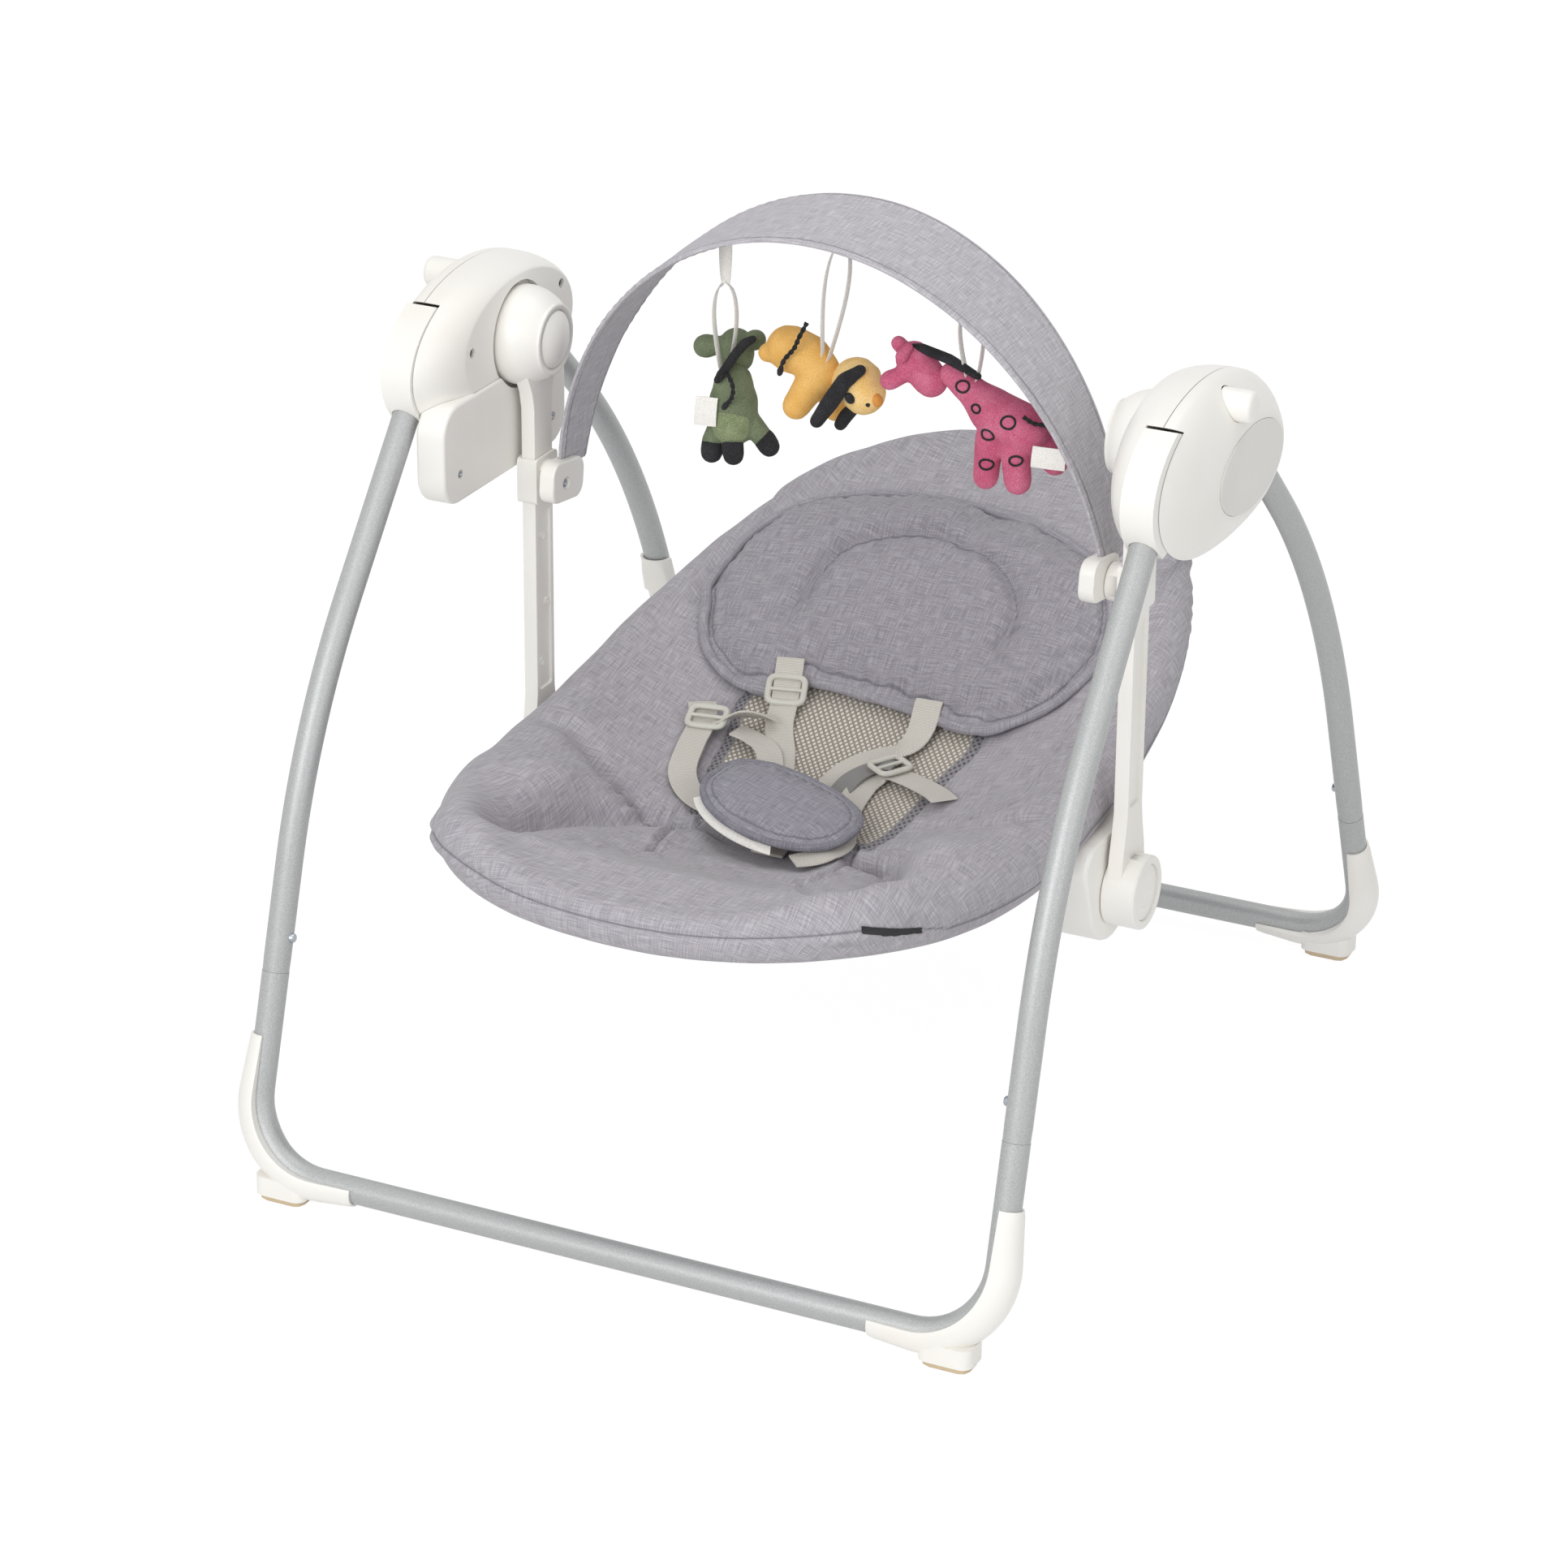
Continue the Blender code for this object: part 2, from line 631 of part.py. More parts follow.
def egg(steps, target, x, inset=0.0):
    """The housing's outline at x: it shrinks and moves from its own middle to the target."""
    outward = 1 if steps[-1][0] > steps[0][0] else -1
    scale = float(np.interp(outward * x, [outward * s[0] for s in steps], [s[1] for s in steps]))
    shift = (1 - scale) / (1 - steps[-1][1])
    y = SHELL_Y + (target[0] - SHELL_Y) * shift
    z = SHELL_Z + (target[1] - SHELL_Z) * shift
    return [
        (y + a, z + b)
        for a, b in ellipse(
            SHELL_HALF_LENGTH * scale - inset, SHELL_HALF_HEIGHT * scale - inset, SHELL_SIDES)
    ]


def shell(steps, target, side, hollow_steps):
    """A hollow shell, from the end of its inner skin round the rim to its flat face."""
    outward = 1 if steps[-1][0] > steps[0][0] else -1
    split = steps[0][0] + outward * TOUCH_GAP / 2
    places = [(steps[-1][0] - outward * SHELL_WALL, SHELL_WALL * 1.6)]
    places += [(x, SHELL_WALL) for x in hollow_steps]
    places += [(split, SHELL_WALL), (split, 0.0)]
    places += [(x, 0.0) for x, _ in steps[1:]]
    return lofted([
        [Vector((side * x, y, z)) for y, z in egg(steps, target, x, inset)] for x, inset in places
    ])


def shell_edge(angle):
    """Where a ray from the hub at this angle meets the housing's outline."""
    dy, dz = math.cos(angle), math.sin(angle)
    u0, v0 = (HUB_Y - SHELL_Y) / SHELL_HALF_LENGTH, (HUB_Z - SHELL_Z) / SHELL_HALF_HEIGHT
    du, dv = dy / SHELL_HALF_LENGTH, dz / SHELL_HALF_HEIGHT
    qa = du * du + dv * dv
    qb = 2 * (u0 * du + v0 * dv)
    qc = u0 * u0 + v0 * v0 - 1
    t = (-qb + math.sqrt(qb * qb - 4 * qa * qc)) / (2 * qa)
    return HUB_Y + t * dy, HUB_Z + t * dz


def sector(inner_r, outer_r, start, end, steps=8):
    arc = [start + (end - start) * i / steps for i in range(steps + 1)]
    outline = [(HUB_Y + outer_r * math.cos(a), HUB_Z + outer_r * math.sin(a)) for a in arc]
    outline += [(HUB_Y + inner_r * math.cos(a), HUB_Z + inner_r * math.sin(a)) for a in reversed(arc)]
    return outline


OUTER_HOLLOW = [SHELL_SPLIT_X + OUTER_DEPTH * share for share in (0.730, 0.445)]
INNER_HOLLOW = [SHELL_SPLIT_X - INNER_DEPTH * share for share in (0.773, 0.470)]
OUTER_SADDLE_X = SHELL_SPLIT_X + OUTER_DEPTH * 0.730
INNER_SADDLE_X = SHELL_SPLIT_X - INNER_DEPTH * 0.682
PAST_OUTSIDE_X = FOLD_BUTTON_TIP_X + 0.020      # cutters that run out through the outer face end here
PAST_INSIDE_X = INNER_FACE_X - 0.045            # and those that run in towards the baby
SLOT_HALF = KNUCKLE_HALF_WIDTH + SLIDE_GAP
SLOT_INNER_R = KNUCKLE_BOSS_R + 0.012
REAR_LEG = LEGS["rear"]

for side_name, side in SIDES.items():
    outer = finish(f"housing_outer_{side_name}", shell(OUTER_STEPS, OUTER_TARGET, side, OUTER_HOLLOW),
                   "white_plastic", stand)
    inner = finish(f"housing_inner_{side_name}", shell(INNER_STEPS, INNER_TARGET, side, INNER_HOLLOW),
                   "white_plastic", stand)
    slot = helper(f"fold_slot_{side_name}", prism(
        sector(SLOT_INNER_R, 2 * SHELL_HALF_LENGTH, SLOT_START, SLOT_END),
        SHELL_SPLIT_X - SLOT_HALF, SHELL_SPLIT_X + SLOT_HALF, side))
    tube_channel = helper(f"rear_tube_channel_{side_name}", pipe(
        leg_path(REAR_LEG, side, 0.42, REAR_TOP_Z + TOUCH_GAP, 6), TUBE_R + TOUCH_GAP, Vector((1, 0, 0))))
    low = leg_point(REAR_LEG, side, SADDLE_LOW_Z)
    high = leg_point(REAR_LEG, side, REAR_TOP_Z + 0.004)
    saddle = [(low.y - 0.008, low.z - 0.009), (low.y + 0.008, low.z + 0.008),
              (high.y + 0.008, high.z + 0.009), (high.y - 0.009, high.z - 0.008)]
    outer_saddle = helper(f"outer_saddle_{side_name}", prism(
        saddle, SHELL_SPLIT_X + TOUCH_GAP, OUTER_SADDLE_X, side))
    inner_saddle = helper(f"inner_saddle_{side_name}", prism(
        saddle, INNER_SADDLE_X, SHELL_SPLIT_X - TOUCH_GAP, side))
    outer_boss = helper(f"outer_boss_{side_name}", plug(
        SHELL_SPLIT_X + TOUCH_GAP, OUTER_FACE_X - PANEL_THICKNESS, PIVOT_BOSS_R, HUB_Y, HUB_Z, side, 16))
    panel_back = OUTER_FACE_X - PANEL_SUNK
    panel_recess = helper(f"panel_recess_{side_name}", prism(
        placed(ellipse(PANEL_HALF_LENGTH + TOUCH_GAP, PANEL_HALF_HEIGHT + TOUCH_GAP, 24),
               0.0, PANEL_Y, PANEL_Z),
        panel_back - TOUCH_GAP, OUTER_FACE_X + 0.01, side))
    button_hole = helper(f"fold_button_hole_{side_name}", plug(
        SHELL_SPLIT_X + SLOT_HALF + 0.0010, PAST_OUTSIDE_X, FOLD_BUTTON_R + SLIDE_GAP,
        FOLD_BUTTON_Y, FOLD_BUTTON_Z, side))
    join(outer, outer_boss, outer_saddle)
    cut(outer, slot, tube_channel, panel_recess, button_hole)

    pocket_r = BALL_R + POCKET_GAP
    pocket_wall = helper(f"hub_pocket_wall_{side_name}", plug(
        INNER_FACE_X + 0.0015, POCKET_FLOOR_X + SHELL_WALL, pocket_r + SHELL_WALL, HUB_Y, HUB_Z, side, 20))
    pocket = helper(f"hub_pocket_{side_name}", plug(
        PAST_INSIDE_X, POCKET_FLOOR_X, pocket_r, HUB_Y, HUB_Z, side, 20))
    inner_boss = helper(f"inner_boss_{side_name}", plug(
        POCKET_FLOOR_X + 0.0008, SHELL_SPLIT_X - TOUCH_GAP, PIVOT_BOSS_R, HUB_Y, HUB_Z, side, 16))
    bearing = helper(f"axle_bearing_{side_name}", plug(
        PAST_INSIDE_X, AXLE_END_X + 0.001, AXLE_R + BEARING_GAP, HUB_Y, HUB_Z, side, 16))
    join(inner, pocket_wall, inner_boss, inner_saddle)
    cut(inner, slot, tube_channel, pocket, bearing)

    # Flat oval panel, which on the left carries the two keys
    finish("control_panel" if side < 0 else "side_panel", prism(
        placed(ellipse(PANEL_HALF_LENGTH, PANEL_HALF_HEIGHT, 24), 0.0, PANEL_Y, PANEL_Z),
        panel_back, panel_back + PANEL_THICKNESS, side), "grey_panel", stand)

    # Fold release button with a rounded tip
    fold_axis = joint_empty(f"fold_button_axis_{side_name}",
                            (side * FOLD_BUTTON_BACK_X, FOLD_BUTTON_Y, FOLD_BUTTON_Z), stand)
    tip = FOLD_BUTTON_TIP_X
    finish(f"fold_button_{side_name}", turned(
        [(FOLD_BUTTON_BACK_X, 0), (FOLD_BUTTON_BACK_X, FOLD_BUTTON_R), (tip - 0.0035, FOLD_BUTTON_R),
         (tip - 0.0010, FOLD_BUTTON_R * 0.86), (tip, FOLD_BUTTON_R * 0.55), (tip, 0)],
        FOLD_BUTTON_Y, FOLD_BUTTON_Z, side), "white_plastic", fold_axis)

for key_name, offset in (("power_key", -KEY_SPACING / 2), ("music_key", KEY_SPACING / 2)):
    key_y = PANEL_Y + offset
    key_top = panel_back + PANEL_THICKNESS + KEY_PROUD
    key_back = panel_back - KEY_DEPTH
    key_axis = joint_empty(f"{key_name}_axis", (-key_top, key_y, KEY_Z), stand)
    finish(key_name, turned(
        [(key_back, 0), (key_back, KEY_R), (key_top - 0.0006, KEY_R), (key_top, KEY_R - 0.0008),
         (key_top, 0)],
        key_y, KEY_Z, -1.0, 16), "key", key_axis)
    key_hole = helper(f"{key_name}_hole", plug(
        key_back - 0.0025, PAST_OUTSIDE_X, KEY_R + SLIDE_GAP, key_y, KEY_Z, -1.0, 16))
    cut(bpy.data.objects["control_panel"], key_hole)
    cut(bpy.data.objects["housing_outer_left"], key_hole)


# Knuckles: hold the tops of the folding front legs and turn on the housings' bosses

def knuckle_outline():
    start, end = SLOT_START + math.radians(1.5), math.radians(203.0)
    outline = [shell_edge(start + (end - start) * i / 9) for i in range(10)]
    for i in range(9):
        angle = math.radians(250 + 250 * i / 8)
        outline.append((HUB_Y + KNUCKLE_BOSS_R * math.cos(angle), HUB_Z + KNUCKLE_BOSS_R * math.sin(angle)))
    return outline


for side_name, side in SIDES.items():
    knuckle = finish(
        f"front_knuckle_{side_name}",
        prism(knuckle_outline(), SHELL_SPLIT_X - KNUCKLE_HALF_WIDTH, SHELL_SPLIT_X + KNUCKLE_HALF_WIDTH,
              side),
        "white_plastic", front_frame,
    )
    bevel(knuckle, 0.0010)
    socket = helper(f"knuckle_socket_{side_name}", pipe(
        leg_path(LEGS["front"], side, 0.45, FRONT_TOP_Z + TOUCH_GAP, 6), TUBE_R + TOUCH_GAP,
        Vector((1, 0, 0))))
    pivot_hole = helper(f"knuckle_pivot_{side_name}", plug(
        SHELL_SPLIT_X - 2 * KNUCKLE_HALF_WIDTH, SHELL_SPLIT_X + 2 * KNUCKLE_HALF_WIDTH,
        PIVOT_BOSS_R + SLIDE_GAP, HUB_Y, HUB_Z, side))
    cut(knuckle, socket, pivot_hole)


# Motor box under the left housing, with its gear motor inside

box_y = (BOX_FRONT_Y + BOX_REAR_Y) / 2
box_z = (BOX_BOTTOM_Z + BOX_TOP_Z) / 2
box_length = BOX_REAR_Y - BOX_FRONT_Y
box_height = BOX_TOP_Z - BOX_BOTTOM_Z


def box_outline(inset):
    shape = rounded_rectangle(box_length - 2 * inset, box_height - 2 * inset, BOX_CORNER_R - inset, 4)
    return placed(shape, 0.0, box_y, box_z)


box_rings = []
for x, inset in ((BOX_INNER_X, 0.0030), (BOX_INNER_X + 0.0010, 0.0009), (BOX_INNER_X + 0.0030, 0.0),
                 (BOX_OUTER_X - 0.0030, 0.0), (BOX_OUTER_X - 0.0010, 0.0009), (BOX_OUTER_X, 0.0030)):
    box_rings.append([Vector((-x, y, z)) for y, z in box_outline(inset)])
motor_box = finish("motor_box", lofted(box_rings), "white_plastic", stand)
box_hollow = helper("motor_box_hollow", prism(
    box_outline(BOX_WALL + 0.001), BOX_INNER_X + BOX_WALL, BOX_OUTER_X - BOX_WALL, -1.0))
clear_x = [SHELL_SPLIT_X + 0.01] + [x for x, _ in INNER_STEPS[:-1]] + [INNER_FACE_X - 0.0006]
shell_clear = helper("motor_box_shell_clearance", lofted([
    [Vector((-x, y, z)) for y, z in egg(INNER_STEPS, INNER_TARGET, x, -0.0006)] for x in clear_x
]))
ball_clear = helper("motor_box_ball_clearance", plug(
    PAST_INSIDE_X, INNER_FACE_X + 0.004, BALL_R + POCKET_GAP, HUB_Y, HUB_Z, -1.0, 24))
cut(motor_box, box_hollow, shell_clear, ball_clear)

motor_x = (BOX_INNER_X + BOX_OUTER_X) / 2
motor_z = BOX_BOTTOM_Z + BOX_WALL + 0.001 + TOUCH_GAP + MOTOR_R
motor_start = BOX_FRONT_Y + 0.026
gear_motor = finish("gear_motor", pipe(
    [Vector((-motor_x, motor_start + MOTOR_LENGTH * i, motor_z)) for i in (0, 1)],
    MOTOR_R, Vector((1, 0, 0)), 12), "motor", stand)
gearbox_half = MOTOR_R - 0.0012
gearbox = helper("gearbox_body", prism(
    box_yz(motor_start + MOTOR_LENGTH - 0.002, motor_start + MOTOR_LENGTH + 0.030,
           motor_z - gearbox_half, motor_z + gearbox_half), motor_x - gearbox_half, motor_x + gearbox_half, -1.0))
shaft = helper("gear_motor_shaft", pipe(
    [Vector((-motor_x, motor_start - 0.008 + 0.010 * i, motor_z)) for i in (0, 1)],
    0.0030, Vector((1, 0, 0)), 10))
join(gear_motor, gearbox, shaft)


# Swing arms: a flanged bar between a ring round the seat pivot and a ball at the hub

BAR_FOOT_Z = PIVOT_Z + 0.0150
BAR_HEAD_Z = HUB_Z - 0.0120
BUTTON_FLOOR_X = RING_OUTER_X - RECLINE_RECESS - RECLINE_THICKNESS - RECLINE_TRAVEL - SLIDE_GAP
BOSS_END_X = BUTTON_FLOOR_X - 0.0020
CAP_FLOOR_X = BALL_INNER_X + 0.0090


def arm_outline():
    """Side view of the bar: plumb, and flared at both ends."""
    half = ARM_DEPTH / 2
    right = [
        (half + 0.0085, BAR_FOOT_Z), (half + 0.0060, BAR_FOOT_Z + 0.0160), (half, BAR_FOOT_Z + 0.0460),
        (half, BAR_HEAD_Z - 0.0380), (half + 0.0090, BAR_HEAD_Z - 0.0120), (half + 0.0110, BAR_HEAD_Z),
    ]
    return [(HUB_Y + y, z) for y, z in right] + [(HUB_Y - y, z) for y, z in reversed(right)]


def ball_profile():
    """Loop of (x, radius): the recess for the cap, the round outside and the axle hole."""
    loop = [(CAP_FLOOR_X, AXLE_R + TOUCH_GAP), (CAP_FLOOR_X, CAP_R + TOUCH_GAP),
            (BALL_INNER_X, CAP_R + TOUCH_GAP), (BALL_INNER_X, BALL_MOUTH_R)]
    depth = BALL_OUTER_X - BALL_INNER_X
    for share in (0.12, 0.34, 0.58, 0.80):
        bulge = math.sqrt(1 - ((0.80 - share) / 1.05) ** 2)
        loop.append((BALL_INNER_X + depth * share, BALL_R * bulge))
    loop += [(BALL_OUTER_X, BALL_R - 0.0015), (BALL_OUTER_X, AXLE_R + TOUCH_GAP)]
    return loop


for side_name, side in SIDES.items():
    arm = finish(
        f"swing_arm_{side_name}",
        prism(arm_outline(), ARM_X - ARM_THICKNESS / 2, ARM_X + ARM_THICKNESS / 2, side),
        "white_plastic", swing,
    )
    bevel(arm, 0.0012, 1)
    ring_body = helper(f"arm_ring_{side_name}", turned_ring(
        [(RING_INNER_X, SEAT_BOSS_R + SLIDE_GAP), (RING_INNER_X, RING_R), (RING_OUTER_X - 0.0012, RING_R),
         (RING_OUTER_X, RING_R - 0.0012), (RING_OUTER_X, RECLINE_R + SLIDE_GAP),
         (BUTTON_FLOOR_X, RECLINE_R + SLIDE_GAP), (BUTTON_FLOOR_X, STEM_R + SLIDE_GAP),
         (BOSS_END_X, STEM_R + SLIDE_GAP), (BOSS_END_X, SEAT_BOSS_R + SLIDE_GAP)],
        HUB_Y, PIVOT_Z, side, 20))
    ball = helper(f"arm_ball_{side_name}", turned_ring(ball_profile(), HUB_Y, HUB_Z, side, 20))
    channel_low = BAR_FOOT_Z + 0.050
    channel_high = CLAMP_Z - CLAMP_HALF_HEIGHT - CLAMP_WALL - 0.006
    channels = []
    for face, direction in (("outer", 1), ("inner", -1)):
        skin = ARM_X + direction * ARM_THICKNESS / 2
        low, high = sorted((skin - direction * ARM_CHANNEL, skin + direction * 0.01))
        half = ARM_DEPTH / 2 - ARM_FLANGE
        channels.append(helper(
            f"arm_channel_{face}_{side_name}",
            prism([(HUB_Y - half, channel_low), (HUB_Y + half, channel_low),
                   (HUB_Y + half, channel_high), (HUB_Y - half, channel_high)], low, high, side)))
    cut(arm, *channels)
    join(arm, ring_body, ball)

    cap_base = CAP_FLOOR_X - TOUCH_GAP
    finish(f"hub_cap_{side_name}", turned(
        [(BALL_INNER_X - CAP_DOME + CAP_WALL, 0), (BALL_INNER_X - CAP_DOME * 0.85 + CAP_WALL, CAP_R * 0.38),
         (BALL_INNER_X + 0.0022, CAP_R - CAP_WALL), (cap_base, CAP_R - CAP_WALL), (cap_base, CAP_R),
         (BALL_INNER_X + 0.0015, CAP_R), (BALL_INNER_X - CAP_DOME * 0.45, CAP_R * 0.78),
         (BALL_INNER_X - CAP_DOME * 0.85, CAP_R * 0.42), (BALL_INNER_X - CAP_DOME, 0)],
        HUB_Y, HUB_Z, side, 20), "white_plastic", swing)
    finish(f"hub_axle_{side_name}", turned(
        [(CAP_FLOOR_X - 0.0042, 0), (CAP_FLOOR_X - 0.0042, AXLE_R + 0.0025),
         (CAP_FLOOR_X - 0.0036, AXLE_R + 0.0032), (CAP_FLOOR_X - TOUCH_GAP, AXLE_R + 0.0032),
         (CAP_FLOOR_X - TOUCH_GAP, AXLE_R), (AXLE_END_X, AXLE_R), (AXLE_END_X, 0)],
        HUB_Y, HUB_Z, side, 12), "steel", swing)

    recline_axis = joint_empty(
        f"recline_button_axis_{side_name}", (side * RING_OUTER_X, HUB_Y, PIVOT_Z), swing)
    face_x = RING_OUTER_X - RECLINE_RECESS
    stem_x = BRACKET_INNER_X + STEM_END_DEPTH
    finish(f"recline_button_{side_name}", turned(
        [(stem_x, 0), (stem_x, STEM_R), (face_x - RECLINE_THICKNESS, STEM_R),
         (face_x - RECLINE_THICKNESS, RECLINE_R), (face_x - 0.0006, RECLINE_R),
         (face_x, RECLINE_R - 0.0008), (face_x, 0)], HUB_Y, PIVOT_Z, side, 20), "white_plastic", recline_axis)

    # Clamp of the toy bar: a collar round the arm with a drum towards the baby
    collar_y = HUB_Y - ARM_DEPTH / 2 - CLAMP_WALL, HUB_Y + ARM_DEPTH / 2 + CLAMP_WALL
    collar_x = ARM_X - ARM_THICKNESS / 2 - CLAMP_WALL, ARM_X + ARM_THICKNESS / 2 + CLAMP_WALL
    collar = finish(f"toy_clamp_{side_name}", prism(
        [(collar_y[0], CLAMP_Z - CLAMP_HALF_HEIGHT), (collar_y[1], CLAMP_Z - CLAMP_HALF_HEIGHT),
         (collar_y[1], CLAMP_Z + CLAMP_HALF_HEIGHT), (collar_y[0], CLAMP_Z + CLAMP_HALF_HEIGHT)],
        collar_x[0], collar_x[1], side), "white_plastic", swing)
    bevel(collar, 0.0020, 1)
    drum = helper(f"clamp_drum_{side_name}", turned(
        [(PLATE_OUTER_X + SLIDE_GAP, 0), (PLATE_OUTER_X + SLIDE_GAP, DRUM_R),
         (collar_x[0] + 0.002, DRUM_R), (collar_x[0] + 0.002, 0)], CLAMP_Y, CLAMP_Z, side))
    pin_hole = helper(f"clamp_pin_hole_{side_name}", turned(
        [(PLATE_INNER_X, 0), (PLATE_INNER_X, PIN_R + SLIDE_GAP), (collar_x[0] + 0.0015, PIN_R + SLIDE_GAP),
         (collar_x[0] + 0.0015, 0)], CLAMP_Y, CLAMP_Z, side, 16))
    arm_hole = helper(f"clamp_arm_hole_{side_name}", prism(
        box_yz(HUB_Y - ARM_DEPTH / 2 - TOUCH_GAP, HUB_Y + ARM_DEPTH / 2 + TOUCH_GAP,
               CLAMP_Z - 2 * CLAMP_HALF_HEIGHT, CLAMP_Z + 2 * CLAMP_HALF_HEIGHT),
        ARM_X - ARM_THICKNESS / 2 - TOUCH_GAP, ARM_X + ARM_THICKNESS / 2 + TOUCH_GAP, side))
    join(collar, drum)
    cut(collar, pin_hole, arm_hole)


# Toy bar: a padded band in a half ellipse, held by two plates on pins

def band_centre(angle):
    """Centreline of the band; angle 0 is the right end and pi the left end."""
    rise = TOY_BAR_HEIGHT * math.sin(angle)
    return Vector((
        TOY_BAR_HALF_WIDTH * math.cos(angle),
        TOY_BAR_Y + rise * math.sin(TOY_BAR_LEAN),
        TOY_BAR_Z + rise * math.cos(TOY_BAR_LEAN),
    ))


def band(angles, grow):
    rings = []
    across = Vector((0, math.cos(TOY_BAR_LEAN), -math.sin(TOY_BAR_LEAN)))
    for angle in angles:
        centre = band_centre(angle)
        along = (band_centre(angle + 0.01) - band_centre(angle - 0.01)).normalized()
        out = across.cross(along).normalized()
        width = TOY_BAR_END_WIDTH + (TOY_BAR_TOP_WIDTH - TOY_BAR_END_WIDTH) * math.sin(angle)
        half_width = width / 2 + grow
        half_thick = TOY_BAR_THICKNESS / 2 + grow
        shape = [(1, 0), (0.96, 0.8), (0.5, 1), (-0.5, 1), (-0.96, 0.8), (-1, 0), (-0.96, -0.8), (-0.5, -1),
                 (0.5, -1), (0.96, -0.8)]
        rings.append([centre + across * half_width * a + out * half_thick * b for a, b in shape])
    return lofted(rings)


BAND_END = math.asin((CLAMP_Z + 0.009 - TOY_BAR_Z) / TOY_BAR_HEIGHT)
BAND_ANGLES = [BAND_END + (math.pi - 2 * BAND_END) * i / 22 for i in range(23)]
finish("toy_bar_band", band(BAND_ANGLES, 0.0), "seat_fabric", toy_bar)
for side_name, side in SIDES.items():
    outline = placed(rounded_rectangle(PLATE_LENGTH, PLATE_HEIGHT, 0.009), PLATE_TILT, PLATE_Y, PLATE_Z)
    plate = finish(f"toy_bar_end_{side_name}", prism(outline, PLATE_INNER_X, PLATE_OUTER_X, side),
                   "white_plastic", toy_bar)
    bevel(plate, 0.0016, 1)
    pin_end = ARM_X - ARM_THICKNESS / 2 - CLAMP_WALL + 0.0005
    pin = helper(f"toy_bar_pin_{side_name}", turned(
        [(PLATE_INNER_X + 0.002, 0), (PLATE_INNER_X + 0.002, PIN_R), (pin_end, PIN_R), (pin_end, 0)],
        CLAMP_Y, CLAMP_Z, side, 16))
    angles = [BAND_END - TOUCH_GAP / TOY_BAR_HEIGHT] + BAND_ANGLES[1:4]
    if side < 0:
        angles = [math.pi - a for a in angles]
    socket = helper(f"band_socket_{side_name}", band(angles, TOUCH_GAP))
    join(plate, pin)
    cut(plate, socket)


# Seat

def rim(angle):
    """Middle of the padded rim: angle 0 is the head end and pi the front."""
    c, s = math.cos(angle), math.sin(angle)
    squareness = SEAT_BACK_SQUARENESS if c >= 0 else SEAT_FRONT_SQUARENESS
    length = SEAT_BACK_LENGTH if c >= 0 else SEAT_FRONT_LENGTH
    along = math.copysign(abs(c) ** (2 / squareness), c) * length
    x = math.copysign(abs(s) ** (2 / squareness), s) * SEAT_HALF_WIDTH
    return Vector((x, SEAT_Y + along * math.cos(SEAT_TILT), rim_height(x, along)))


def rim_height(x, along):
    corner = (x / SEAT_HALF_WIDTH) ** 2 * max(0.0, -along / SEAT_FRONT_LENGTH) ** 2
    return SEAT_Z + along * math.sin(SEAT_TILT) + SEAT_CURVE * along * along + SEAT_CORNER_RISE * corner


def rim_radius(angle):
    front = max(0.0, -math.cos(angle)) ** 3
    return RIM_R + (FRONT_RIM_R - RIM_R) * front


# Height of the seat's middle line above the floor, from the front to the head
MIDDLE = ((-0.318, 0.2700), (-0.265, 0.2520), (-0.220, 0.2300), (-0.180, 0.2150), (-0.140, 0.2110),
          (-0.100, 0.2160), (-0.050, 0.2290), (0.000, 0.2430), (0.050, 0.2620), (0.100, 0.2880),
          (0.150, 0.3160), (0.200, 0.3390), (0.300, 0.3740))
ROLL_SHARE = 0.92           # where the padded rim starts, from the middle to the rim


def seat_top(x, y):
    """Height of the padding's upper face inside the rim."""
    along = (y - SEAT_Y) / math.cos(SEAT_TILT)
    middle = smooth_through(MIDDLE, y)
    edge = rim_height(x, along) + RIM_R * 0.9
    rise = min(1.0, abs(x) / (SEAT_HALF_WIDTH * ROLL_SHARE)) ** 2.4
    return middle + max(0.0, edge - middle) * rise


SEAT_COLUMNS = 34
TOP_SHARES = (0.0, 0.22, 0.44, 0.62, 0.78, 0.90)
UNDERSIDE_SHARES = (0.25, 0.50, 0.72, 0.90)
ROLL_ANGLES = (95, 50, 15, -20, -55, -100)


def seat_ring(share, drop):
    ring = []
    for i in range(SEAT_COLUMNS):
        p = rim(2 * math.pi * i / SEAT_COLUMNS)
        x, y = p.x * share, SEAT_Y + (p.y - SEAT_Y) * share
        ring.append(Vector((x, y, seat_top(x, y) - drop)))
    return ring


def roll_ring(degrees_up):
    ring = []
    f = math.radians(degrees_up)
    for i in range(SEAT_COLUMNS):
        angle = 2 * math.pi * i / SEAT_COLUMNS
        r = rim_radius(angle)
        ring.append(rim(angle) + rim_outward(angle) * r * math.cos(f) + Vector((0, 0, r * math.sin(f))))
    return ring


def rim_outward(angle):
    p = rim(angle)
    tangent = rim(angle + 0.02) - rim(angle - 0.02)
    outward = Vector((tangent.y, -tangent.x, 0)).normalized()
    return -outward if outward.dot(Vector((p.x, p.y - SEAT_Y, 0))) < 0 else outward


def seat_tube_point(angle):
    """Middle of the seat's tube: inside the hem, and lower and further out at the pivots."""
    p = rim(angle)
    away = min(1.0, max(0.0, (abs(p.y - HUB_Y) - BRACKET_R * 0.4) / TUBE_RUN))
    near = 1 - away * away * (3 - 2 * away)
    drop = TUBE_HIDDEN_DROP + (TUBE_PIVOT_DROP - TUBE_HIDDEN_DROP) * near
    return p + rim_outward(angle) * TUBE_PIVOT_OUT * near - Vector((0, 0, drop))


